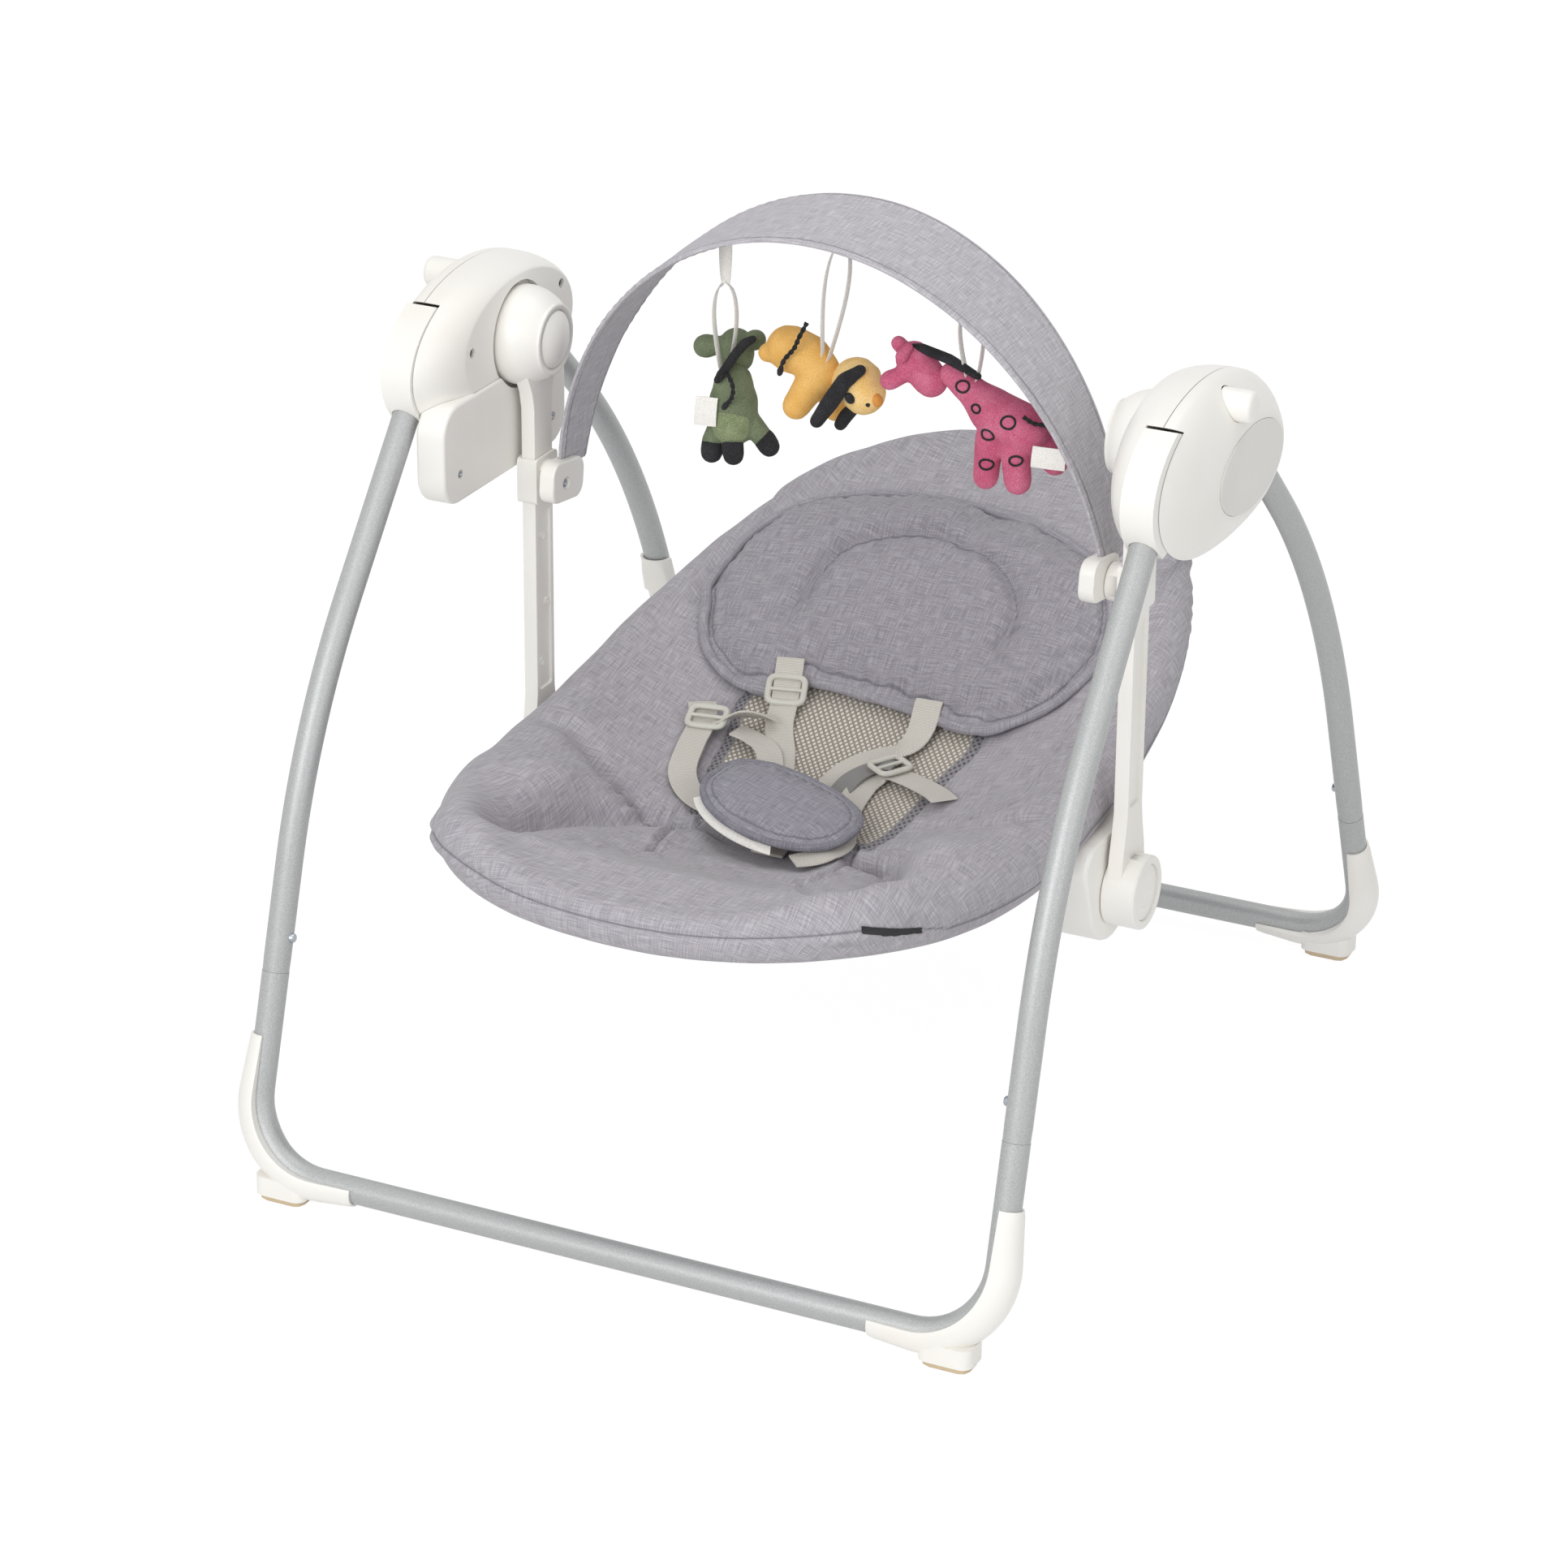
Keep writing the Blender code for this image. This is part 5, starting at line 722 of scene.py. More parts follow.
print("motor box", size_of(motor_box), "knuckle faces", len(knuckle.data.polygons))

# %% [markdown]
# ## Swing arms
# Each arm is one moulding: a ball at the hub, a flanged bar with a sunk channel on both faces, and a
# ring round the seat pivot. The sunk channel saves plastic and keeps the bar stiff, and screw wells
# and small nubs stand in it. The ball's mouth holds a recessed, domed cap.

# %% Arm, ball, ring and cap
PIVOT_Z, ARM_X, ARM_T, ARM_D = 0.2010, 0.2300, 0.0107, 0.0260
BALL_IN, BALL_OUT, CAP_FLOOR_X, CAP_R = 0.2135, 0.2465, 0.2225, 0.0208
RING_R, RING_IN, RING_OUT, BUTTON_FLOOR_X = 0.0264, 0.2222, 0.2470, 0.2367
foot_z, head_z, half = PIVOT_Z + 0.0150, HUB_Z - 0.0120, ARM_D / 2
ARM_EDGE = [(half + 0.0085, foot_z), (half + 0.0060, foot_z + 0.0160), (half + 0.0022, foot_z + 0.032),
            (half, foot_z + 0.0460), (half, head_z - 0.0380), (half + 0.0028, head_z - 0.0250),
            (half + 0.0090, head_z - 0.0120), (half + 0.0110, head_z)]


def arm_channel(direction, side):
    """The sunk channel of one face, with rounded corners."""
    skin = ARM_X + direction * ARM_T / 2
    low, high = sorted((skin - direction * 0.0022, skin + direction * 0.01))
    w, r = half - 0.0045, 0.0025
    bottom, top = foot_z + 0.050, CLAMP_Z - 0.0256
    corner = [(w - r + r * math.cos(a), -r + r * math.sin(a)) for a in np.linspace(0, math.pi / 2, 6)]
    outline = [(HUB_Y + y, top + z) for y, z in corner] + [(HUB_Y - y, top + z) for y, z in corner[::-1]]
    outline += [(HUB_Y - y, bottom - z) for y, z in corner] + [(HUB_Y + y, bottom - z)
                                                               for y, z in corner[::-1]]
    return solid("arm_channel", prism(outline, low, high, side))


CLAMP_Y, CLAMP_Z = -0.018, 0.4270
for side_name, side in SIDES.items():
    outline = [(HUB_Y + y, z) for y, z in ARM_EDGE] + [(HUB_Y - y, z) for y, z in reversed(ARM_EDGE)]
    arm = solid(f"arm_moulding_{side_name}", prism(outline, ARM_X - ARM_T / 2, ARM_X + ARM_T / 2, side),
                white_abs)
    ring = solid("arm_ring", turned((
        (RING_IN, 0.0117), (RING_IN, RING_R - 0.0010), (RING_IN + 0.0003, RING_R - 0.0003),
        (RING_IN + 0.0010, RING_R), (RING_OUT - 0.0014, RING_R), (RING_OUT - 0.0005, RING_R - 0.0004),
        (RING_OUT, RING_R - 0.0014), (RING_OUT, 0.0206), (RING_OUT - 0.0005, 0.0202),
        (BUTTON_FLOOR_X, 0.0202), (BUTTON_FLOOR_X, 0.0064), (BUTTON_FLOOR_X - 0.0020, 0.0064),
        (BUTTON_FLOOR_X - 0.0020, 0.0117)), HUB_Y, PIVOT_Z, side, 72, closed=True))
    loop = [(CAP_FLOOR_X, 0.0063), (CAP_FLOOR_X, CAP_R + GAP), (BALL_IN, CAP_R + GAP), (BALL_IN, 0.0246),
            (BALL_IN + 0.0003, 0.0254)]
    depth = BALL_OUT - BALL_IN
    for share in np.linspace(0.035, 0.86, 18):
        loop.append((BALL_IN + depth * share, BALL_R * math.sqrt(1 - (abs(0.80 - share) / 1.05) ** 2)))
    loop += [(BALL_OUT - 0.0012, BALL_R - 0.0005), (BALL_OUT, BALL_R - 0.0020), (BALL_OUT, 0.0063)]
    ball = solid("arm_ball", turned(loop, HUB_Y, HUB_Z, side, 96, closed=True))
    carved(arm, (), [arm_channel(1, side), arm_channel(-1, side)], 0.0007)
    carved(arm, [ring, ball])
    fitted(arm, "swing", "white_plastic", f"swing_arm_{side_name}")

    # nubs and screw wells in the channel, on the face towards the baby
    face = ARM_X - ARM_T / 2 + 0.0022
    for n, (dy, z) in enumerate(((-0.0040, 0.2860), (0.0045, 0.3300), (-0.0010, 0.3820))):
        well = solid(f"arm_screw_well_{side_name}_{n}", turned(
            [(face + 0.0004, 0), (face + 0.0004, 0.0030), (face - 0.0011, 0.0029), (face - 0.0014, 0.0024),
             (face - 0.0012, 0.0019), (face - 0.0002, 0.0016), (face - 0.0001, 0)], HUB_Y + dy, z, side, 32),
                     white_abs)
        fitted(well, "swing", "white_plastic")

    tip = BALL_IN - 0.0055
    cap = solid(f"domed_cap_{side_name}", turned(
        [(tip + 0.0020, 0), (BALL_IN + 0.0022, CAP_R - 0.0020), (CAP_FLOOR_X - GAP, CAP_R - 0.0020),
         (CAP_FLOOR_X - GAP, CAP_R), (BALL_IN + 0.0016, CAP_R), (BALL_IN + 0.0008, CAP_R * 0.985),
         (BALL_IN + 0.0001, CAP_R * 0.955)]
        + [(BALL_IN - 0.0055 * (1 - s * s) ** 0.9, CAP_R * 0.93 * s)
           for s in np.linspace(0.96, 0.06, 12)] + [(tip, 0)],
        HUB_Y, HUB_Z, side, 72), white_abs)
    fitted(cap, "swing", "white_plastic", f"hub_cap_{side_name}")
    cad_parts[f"hub_axle_{side_name}"].data.materials[0] = screw_steel

    face_x = RING_OUT - 0.0015
    disc = solid(f"recline_disc_{side_name}", turned(
        [(0.1996, 0), (0.1996, 0.0062), (face_x - 0.0050, 0.0062), (face_x - 0.0050, 0.0200),
         (face_x - 0.0008, 0.0200), (face_x - 0.0002, 0.0197), (face_x, 0.0190), (face_x, 0.0110),
         (face_x - 0.0005, 0.0104), (face_x - 0.0005, 0)],
        HUB_Y, PIVOT_Z, side, 72), white_abs)
    fitted(disc, f"recline_button_{side_name}", "white_plastic", f"recline_button_{side_name}")


print("arm", size_of(arm), "cap", size_of(cap))

# %% [markdown]
# ## Toy bar clamps, end plates and leg clip
# A collar clips round each arm and carries a short drum. The toy bar's end plate turns on it, so the
# bar can be swung out of the way. The plate has a rounded outline with a sunk screw at its middle.

# %% Clamps and plates
BAR_Y, BAR_Z, BAR_W, BAR_H, BAR_LEAN = -0.003, 0.400, 0.2105, 0.250, -0.055
PLATE_IN, PLATE_OUT = 0.200, 0.212
BAND_NARROW, BAND_SWELL, BAND_HALF_T = 0.029, 0.071, 0.0016
BAND_END = math.asin((CLAMP_Z + 0.009 - BAR_Z) / BAR_H)
BAND_ACROSS = Vector((0, math.cos(BAR_LEAN), -math.sin(BAR_LEAN)))


def band_centre(angle):
    """Centreline of the toy bar; angle 0 is the right end and pi the left end."""
    rise = BAR_H * math.sin(angle)
    return Vector((BAR_W * math.cos(angle), BAR_Y + rise * math.sin(BAR_LEAN),
                   BAR_Z + rise * math.cos(BAR_LEAN)))


def band_frame(angle):
    along = (band_centre(angle + 0.01) - band_centre(angle - 0.01)).normalized()
    return band_centre(angle), BAND_ACROSS.cross(along).normalized(), BAND_NARROW + BAND_SWELL * math.sin(angle)


def band_section(angle, grow):
    centre, out, width = band_frame(angle)
    shape = [(1, 0), (0.985, 0.6), (0.95, 0.9), (0.8, 1), (-0.8, 1), (-0.95, 0.9), (-0.985, 0.6), (-1, 0),
             (-0.985, -0.6), (-0.95, -0.9), (-0.8, -1), (0.8, -1), (0.95, -0.9), (0.985, -0.6)]
    return [centre + BAND_ACROSS * (width / 2 + grow) * a + out * (BAND_HALF_T + grow) * b for a, b in shape]


for side_name, side in SIDES.items():
    y0, y1 = HUB_Y - half - 0.0026, HUB_Y + half + 0.0026
    outline = placed(rounded_rectangle(y1 - y0, 0.034, 0.0035, 6), 0.0, HUB_Y, CLAMP_Z)
    collar = solid(f"toy_bar_collar_{side_name}", prism(outline, ARM_X - 0.00795, ARM_X + 0.00795, side),
                   white_abs)
    hole = solid("clamp_arm_hole", prism(
        [(HUB_Y - half - GAP, 0.39), (HUB_Y + half + GAP, 0.39), (HUB_Y + half + GAP, 0.47),
         (HUB_Y - half - GAP, 0.47)], ARM_X - ARM_T / 2 - GAP, ARM_X + ARM_T / 2 + GAP, side))
    carved(collar, (), [hole], 0.0011)
    drum = solid("clamp_drum", turned(
        [(PLATE_OUT + 0.0004, 0), (PLATE_OUT + 0.0004, 0.0131), (PLATE_OUT + 0.0008, 0.0135),
         (ARM_X - 0.0060, 0.0135), (ARM_X - 0.0060, 0)], CLAMP_Y, CLAMP_Z, side))
    pin_hole = solid("clamp_pin_hole", turned(
        [(PLATE_IN, 0), (PLATE_IN, 0.0044), (ARM_X - 0.00645, 0.0044), (ARM_X - 0.00645, 0)], CLAMP_Y,
        CLAMP_Z, side))
    carved(collar, [drum], [pin_hole])
    fitted(collar, "swing", "white_plastic", f"toy_clamp_{side_name}")

    outline = placed(rounded_rectangle(0.046, 0.030, 0.0105, 10), math.radians(-7.4), -0.025, 0.431)
    plate = solid(f"toy_bar_plate_{side_name}", prism(outline, PLATE_IN, PLATE_OUT, side), white_abs)
    carved(plate, (), (), 0.0018)
    pin = solid("toy_bar_pin", plug(PLATE_IN + 0.002, 0.2222, 0.0040, CLAMP_Y, CLAMP_Z, side, 32))
    angles = [BAND_END - 0.0012 + 0.10 * t for t in (0, 0.34, 0.67, 1, 1.5, 2, 2.6, 3.2)]
    if side < 0:
        angles = [math.pi - a for a in angles]
    socket = solid("band_socket", lofted([band_section(a, 0.0004) for a in angles]))
    screw = solid("plate_screw_recess",
                  plug(PLATE_IN - 0.01, PLATE_IN + 0.0022, 0.0050, -0.0290, 0.4300, side, 40))
    carved(plate, [pin], [socket, screw])
    fitted(plate, "toy_bar", "white_plastic", f"toy_bar_end_{side_name}")
    x = PLATE_IN + 0.0023
    fitted(solid(f"plate_screw_{side_name}", turned(
        [(x - 0.0002, 0), (x - 0.0009, 0.0008), (x - 0.0014, 0.0015), (x - 0.0012, 0.0030),
         (x - 0.0001, 0.0034), (x - 0.0001, 0)],
        -0.0290, 0.4300, side, 32), screw_steel), "toy_bar", "steel")

# %% Clip on the left rear leg
clip_rings = []
for share in np.linspace(0, 1, 34):
    lug = float(np.interp(share, (0, 0.41, 0.455, 0.60, 0.78, 0.93, 1), (0, 0, 1, 0.90, 0.70, 0.28, 0)))
    p = leg_point(LEGS["rear"], -1.0, 0.2070 + 0.0550 * share)
    end = min(1.0, math.sqrt(min(share, 1 - share) / 0.05 + 0.5))
    reach = 0.0126 * (0.88 + 0.12 * end) + 0.0118 * lug
    ring = []
    for k in range(33):
        t = math.radians(90 + 180 * k / 32)
        # the lug is a narrow tongue on the saddle's outer side
        spread = math.exp(-((math.degrees(t) - 180) / 42) ** 4)
        radius = 0.0126 + (reach - 0.0126) * spread
        ring.append(p + Vector((-radius * math.sin(t), 0.0126 * math.cos(t), 0)))
    clip_rings.append(ring)
clip = solid("clip_on_leg", lofted(clip_rings), white_abs)
carved(clip, (), [solid("clip_channel",
                        pipe(leg_path(LEGS["rear"], -1.0, 0.187, 0.282, 10), TUBE_R + 0.0009, X_OUT))],
       0.0005)
fitted(clip, "stand", "white_plastic", "leg_clip")
print("plate", size_of(plate), "clip", size_of(clip))

# %% [markdown]
# ## Seat shape
# The seat is a fabric cover on a steel hoop. Its rim is a rounded oblong, wider than it is deep, and
# it rises towards the head and the front corners. Inside, the cover sinks to a valley under the
# thighs and climbs again to the head end. The functions below give the rim and the cover's height.

# %% Rim and surface
SEAT_Y, HALF_W, RIM_R, TILT = -0.0450, 0.1945, 0.0205, 0.1218
BACK_LENGTH, FRONT_LENGTH, RIM_Z, RIM_CURVE, CORNER_RISE = 0.3696, 0.2850, 0.2551, 0.4335, 0.0270
MIDDLE = ((-0.318, 0.2700), (-0.265, 0.2520), (-0.220, 0.2300), (-0.180, 0.2150), (-0.140, 0.2110),
          (-0.100, 0.2160), (-0.050, 0.2290), (0.000, 0.2430), (0.050, 0.2620), (0.100, 0.2880),
          (0.150, 0.3160), (0.200, 0.3390), (0.300, 0.3740))


def smooth_through(points, parameter):
    xs, ys = [p[0] for p in points], [p[1] for p in points]
    i = int(np.clip(np.searchsorted(xs, parameter) - 1, 0, len(xs) - 2))
    slopes = []
    for k in (i, i + 1):
        a, b = max(k - 1, 0), min(k + 1, len(xs) - 1)
        slopes.append((ys[b] - ys[a]) / (xs[b] - xs[a]))
    span = xs[i + 1] - xs[i]
    t = min(max((parameter - xs[i]) / span, 0.0), 1.0)
    return hermite(t, span, ys[i], ys[i + 1], *slopes)


def rim_height(x, along):
    corner = (x / HALF_W) ** 2 * max(0.0, -along / FRONT_LENGTH) ** 2
    return RIM_Z + along * math.sin(TILT) + RIM_CURVE * along * along + CORNER_RISE * corner


def rim(angle):
    """Middle of the padded rim: angle 0 is the head end and pi the front."""
    c, s = math.cos(angle), math.sin(angle)
    squareness, length = (2.63, BACK_LENGTH) if c >= 0 else (2.8, FRONT_LENGTH)
    along = bent(c, 2 / squareness) * length
    x = bent(s, 2 / squareness) * HALF_W
    return Vector((x, SEAT_Y + along * math.cos(TILT), rim_height(x, along)))


def rim_radius(angle):
    return RIM_R + (0.0160 - RIM_R) * max(0.0, -math.cos(angle)) ** 3


def rim_outward(angle):
    p, tangent = rim(angle), rim(angle + 0.02) - rim(angle - 0.02)
    outward = Vector((tangent.y, -tangent.x, 0)).normalized()
    return -outward if outward.dot(Vector((p.x, p.y - SEAT_Y, 0))) < 0 else outward


def seat_top(x, y):
    along = (y - SEAT_Y) / math.cos(TILT)
    middle = smooth_through(MIDDLE, y)
    edge_z = rim_height(x, along) + RIM_R * 0.9
    rise = min(1.0, abs(x) / (HALF_W * 0.92)) ** 2.4
    return middle + max(0.0, edge_z - middle) * rise


# %% Hoop tubes and brackets
def seat_tube_point(angle):
    p = rim(angle)
    away = min(1.0, max(0.0, (abs(p.y - HUB_Y) - 0.0156) / 0.130))
    near = 1 - away * away * (3 - 2 * away)
    return p + rim_outward(angle) * 0.0100 * near - Vector((0, 0, 0.0040 + 0.0200 * near))


def hoop_path(back, end_y, steps=160):
    low, high = 0.05, math.pi - 0.05
    for _ in range(40):
        mid = (low + high) / 2
        low, high = (mid, high) if seat_tube_point(mid).y > end_y else (low, mid)
    stop = -low if back else 2 * math.pi - low
    return [seat_tube_point(low + (stop - low) * i / steps) for i in range(steps + 1)]


def hull_of_circles(circles, sides=48):
    points = sorted({(round(y + a, 7), round(z + b, 7)) for y, z, r in circles for a, b in circle(r, sides)})

    def half_hull(ordered):
        chain = []
        for p in ordered:
            while len(chain) > 1:
                (ay, az), (by, bz) = chain[-2], chain[-1]
                if (by - ay) * (p[1] - az) - (bz - az) * (p[0] - ay) > 1e-9:
                    break
                chain.pop()
            chain.append(p)
        return chain[:-1]

    return half_hull(points) + half_hull(points[::-1])


hoops = {}
for tube_name, back, end_y in (("seat_back_tube", True, 0.006), ("seat_front_tube", False, -0.034)):
    hoops[tube_name] = hoop_path(back, end_y)
    fitted(solid(f"{tube_name}_hoop", pipe(hoops[tube_name], 0.0080, Z_UP, 24), tube_steel), "seat",
           "silver_paint", tube_name)
for side_name, side in SIDES.items():
    lobes = [(HUB_Y, PIVOT_Z, 0.0390), (-0.050, 0.2270, 0.0165), (0.016, 0.2300, 0.0165)]
    bracket = solid(f"pivot_bracket_{side_name}",
                    prism(hull_of_circles(lobes), 0.1830, RING_IN - 0.0004, side), white_abs)
    carved(bracket, (), (), 0.0030)
    boss = solid("seat_boss", turned([(0.2150, 0), (0.2150, 0.0115), (BUTTON_FLOOR_X - 0.0024, 0.0115),
                                      (BUTTON_FLOOR_X - 0.0024, 0)], HUB_Y, PIVOT_Z, side, 48))
    stem_hole = solid("stem_hole", plug(0.1941, PAST_HUB_X, 0.0066, HUB_Y, PIVOT_Z, side, 32))
    sockets = []
    for path in hoops.values():
        grown = [path[0] + (path[0] - path[1]).normalized() * 0.0003] + path[1:-1]
        grown.append(path[-1] + (path[-1] - path[-2]).normalized() * 0.0003)
        sockets.append(solid("tube_socket", pipe(grown, 0.0083, Z_UP, 24)))
    carved(bracket, (), sockets)
    carved(bracket, [boss], [stem_hole])
    fitted(bracket, "seat", "white_plastic", f"seat_bracket_{side_name}")
print("bracket", size_of(bracket))

# %% [markdown]
# ## Fabrics
# The cover is a woven polyester melange: threads of three greys run across each other, so short pale
# and dark streaks lie in both directions. The seat's middle is a spacer net with staggered oval
# holes. Both follow the surface through UVs in metres, so the threads bend with each panel.

# %% Woven melange
def thread_colours(tree, uv, dark, mid, light):
    """Two noises, each drawn out along one thread direction, then three greys."""
    streaks = []
    # threads are 0.4 mm apart; they are drawn 0.65 mm apart, so that they show in the render
    for scale in ((1 / (16 * MM), 1 / (0.65 * MM), 1), (1 / (0.65 * MM), 1 / (16 * MM), 1)):
        stretched = node(tree, "VectorMath", {"operation": "MULTIPLY", 1: scale}, {0: uv})
        streaks.append(node(tree, "TexNoise",
                            {"noise_dimensions": "2D", "Scale": 1.0, "Detail": 2.0, "Roughness": 0.6},
                            {"Vector": stretched}))
    both = node(tree, "Math", {"operation": "ADD"}, {0: streaks[0].outputs[0], 1: streaks[1].outputs[0]})
    half_sum = node(tree, "Math", {"operation": "MULTIPLY", 1: 0.5}, {0: both})
    greys = node(tree, "ValToRGB", {"stops": ((0.38, dark), (0.50, mid), (0.63, light))}, {0: half_sum})
    return half_sum, greys


def woven(name, dark="98949B", mid="AAA6AC", light="BFBCC2"):
    """Polyester melange: matt, with a weak sheen at grazing angles."""
    material, tree, shader = finish_of(name, mid, 0.88, Sheen_Weight=0.12, Sheen_Roughness=0.5,
                                       Specular_IOR_Level=0.25)
    uv = node(tree, "UVMap", {"uv_map": "UVMap"})
    height, greys = thread_colours(tree, uv, dark, mid, light)
    bump = node(tree, "Bump", {"Distance": 0.25 * MM, "Strength": 0.45}, {"Height": height})
    wire(tree, shader, Base_Color=greys, Normal=bump)
    return material, tree, shader, uv, greys


melange = woven("woven_melange_polyester")[0]
melange_dark = woven("melange_bias_binding", "8C8990", "9D9AA1", "B0ADB3")[0]

# %% Seat cover: the melange, its seams and the net in the middle
cover_cloth, tree, shader, uv, greys = woven("melange_seat_cover")
# net: oval holes 2 x 2.7 mm, 4.5 mm apart and staggered, through which a pale lining shows
turned_uv = node(tree, "Mapping",
                 {"Rotation": (0, 0, math.radians(45)), "Scale": (1 / (3.2 * MM), 1 / (3.2 * MM), 1)},
                 {"Vector": node(tree, "VectorMath", {"operation": "MULTIPLY", 1: (1.0, 0.78, 1.0)},
                                 {0: uv})})
cells = node(tree, "TexVoronoi", {"voronoi_dimensions": "2D", "Scale": 1.0, "Randomness": 0.0},
             {"Vector": turned_uv})
net_inside = node(tree, "Attribute", {"attribute_name": "net_inside"})
rib_tone = node(tree, "ValToRGB", {"stops": ((0.30, "8D8479"), (0.70, "A1988C"))}, {
    0: node(tree, "TexNoise", {"noise_dimensions": "2D", "Scale": 1 / (1.4 * MM)}, {"Vector": uv})})
hole = node(tree, "MapRange", {"From Min": 0.36, "From Max": 0.30, "To Min": 0.0, "To Max": 1.0},
            {"Value": cells.outputs[0]})
# within 8 mm of the panel's edge no lining lies behind the net, and its holes are painted dark there: painted shade
# of the hollow behind them
deep = node(tree, "MapRange", {"From Min": 6.5 * MM, "From Max": 9 * MM},
            {"Value": net_inside.outputs["Fac"]})
# what shows through the holes: the pale lining, or painted shade (5E5A5C) near the panel's edge
lining_or_hole_shade = node(tree, "ValToRGB", {"stops": ((0.0, "5E5A5C"), (1.0, "DDDAD4"))}, {0: deep})
cord_tone = node(tree, "Mix", {"data_type": "RGBA", 6: linear("8F8D93")}, {0: deep, 7: rib_tone})
net = node(tree, "Mix", {"data_type": "RGBA"}, {0: hole, 6: cord_tone.outputs[2], 7: lining_or_hole_shade})
on_net = node(tree, "MapRange", {"From Min": 0.0, "From Max": 0.5 * MM}, {"Value": net_inside.outputs["Fac"]})
cloth_colour = node(tree, "Mix", {"data_type": "RGBA"}, {0: on_net, 6: greys, 7: net.outputs[2]})
# seams: a dark line that fades out 1.3 mm from the stitching
seam = node(tree, "Attribute", {"attribute_name": "seam"})
line = node(tree, "MapRange", {"From Min": 1.3 * MM, "From Max": 0.5 * MM, "To Max": 0.62},
            {"Value": seam.outputs["Fac"]})
seamed = node(tree, "Mix", {"data_type": "RGBA", 7: linear("66646B")}, {0: line, 6: cloth_colour.outputs[2]})
tree.links.new(seamed.outputs[2], shader.inputs["Base Color"])
print("fabrics", cover_cloth.name, melange.name)


# %% Webbing, plush and small textiles
def webbing(name, dark, light):
    """Polyester webbing: cross ribs 1.2 mm apart over fainter lines 0.9 mm apart along it."""
    material, tree, shader = finish_of(name, light, 0.80, Sheen_Weight=0.08)
    place = node(tree, "SeparateXYZ", None, {0: node(tree, "UVMap", {"uv_map": "UVMap"})})
    turns = node(tree, "Math", {"operation": "MULTIPLY", 1: 2 * math.pi / (1.2 * MM)},
                 {0: place.outputs["Y"]})
    ribs = node(tree, "Math", {"operation": "SINE"}, {0: turns})
    warp = node(tree, "Math", {"operation": "SINE"}, {
        0: node(tree, "Math", {"operation": "MULTIPLY", 1: 2 * math.pi / (0.9 * MM)},
                {0: place.outputs["X"]})})
    weave = node(tree, "Math", {"operation": "MULTIPLY_ADD", 1: 0.35}, {0: warp, 2: ribs})
    tone = node(tree, "ValToRGB", {"stops": ((0.10, dark), (0.75, light))}, {
        0: node(tree, "MapRange", {"From Min": -1.2, "From Max": 1.2}, {"Value": weave})})
    bump = node(tree, "Bump", {"Distance": 0.3 * MM, "Strength": 0.5}, {"Height": weave})
    wire(tree, shader, Base_Color=tone, Normal=bump)
    return material


def plush(name, dark, mid, light, pile=0.8 * MM):
    """Short-pile plush: small tufts in three tones, bumped, with a soft halo of sheen."""
    material, tree, shader = finish_of(name, mid, 0.95, Sheen_Weight=0.45, Sheen_Roughness=0.6,
                                       Sheen_Tint=linear(light))
    place = node(tree, "TexCoord").outputs["Object"]
    tufts = node(tree, "TexNoise", {"Scale": 1 / pile, "Detail": 4.0, "Roughness": 0.65}, {"Vector": place})
    nap = node(tree, "TexNoise", {"Scale": 1 / (12 * MM), "Detail": 1.0}, {"Vector": place})
    both = node(tree, "Math", {"operation": "MULTIPLY_ADD", 1: 0.35}, {0: nap, 2: tufts})
    tone = node(tree, "ValToRGB", {"stops": ((0.48, dark), (0.64, mid), (0.84, light))}, {0: both})
    bump = node(tree, "Bump", {"Distance": 0.4 * MM, "Strength": 0.6}, {"Height": tufts})
    wire(tree, shader, Base_Color=tone, Normal=bump)
    return material


pale_webbing = webbing("polyester_webbing", "BDB9B0", "DEDAD2")
grey_webbing = webbing("polyester_webbing_dark", "6E6C6B", "9A9896")
PLUSH = {
    "donkey": plush("short_pile_plush_green", "5A664F", "6A755B", "818C6E"),
    "puppy": plush("short_pile_plush_yellow", "E0A650", "EDB65F", "F5C87E"),
    "giraffe": plush("short_pile_plush_pink", "B14A69", "C65A7C", "D67F99"),
}
pale_plush = {
    "donkey": plush("short_pile_plush_pale_green", "687453", "7F8B66", "9FAB86"),
    "puppy": plush("short_pile_plush_pale_yellow", "DFAE5C", "F2C87A", "FADFA8"),
    "giraffe": plush("short_pile_plush_pale_pink", "A23A5A", "CF5C7E", "E696AE"),
}
black_felt = plush("black_felt", "111112", "1C1C1E", "37373B", 0.7 * MM)
orange_felt = plush("orange_felt", "C27A2E", "D48D3C", "E0A158", 0.7 * MM)
ribbon_satin, tree, shader = finish_of("woven_satin_ribbon", "F1EFEA", 0.45)
place = node(tree, "TexCoord").outputs["Object"]
fine = node(tree, "TexNoise", {"Scale": 1 / (0.8 * MM), "Detail": 2.0}, {"Vector": place})
tone = node(tree, "ValToRGB", {"stops": ((0.35, "E2DFD8"), (0.65, "F6F4EF"))}, {0: fine})
wire(tree, shader, Base_Color=tone)
label_black, tree, shader = finish_of("woven_black_label", "1D1D1F", 0.70)
fine = node(tree, "TexNoise", {"Scale": 1 / (0.7 * MM)}, {"Vector": node(tree, "TexCoord").outputs["Object"]})
tone = node(tree, "ValToRGB", {"stops": ((0.35, "151517"), (0.70, "2C2C30"))}, {0: fine})
wire(tree, shader, Base_Color=tone)
print(len(bpy.data.materials), "materials")

# %% [markdown]
# ## Seat cover
# The cover is sewn from a net middle, two side panels, a front insert and a padded rim. It is made
# as one closed skin: rings over the top, round the padded rim and back underneath. Seams are known
# as lines on the seat, and each point's distance to them shapes the creases, the gathers beside
# them and the dark stitched line in the fabric.

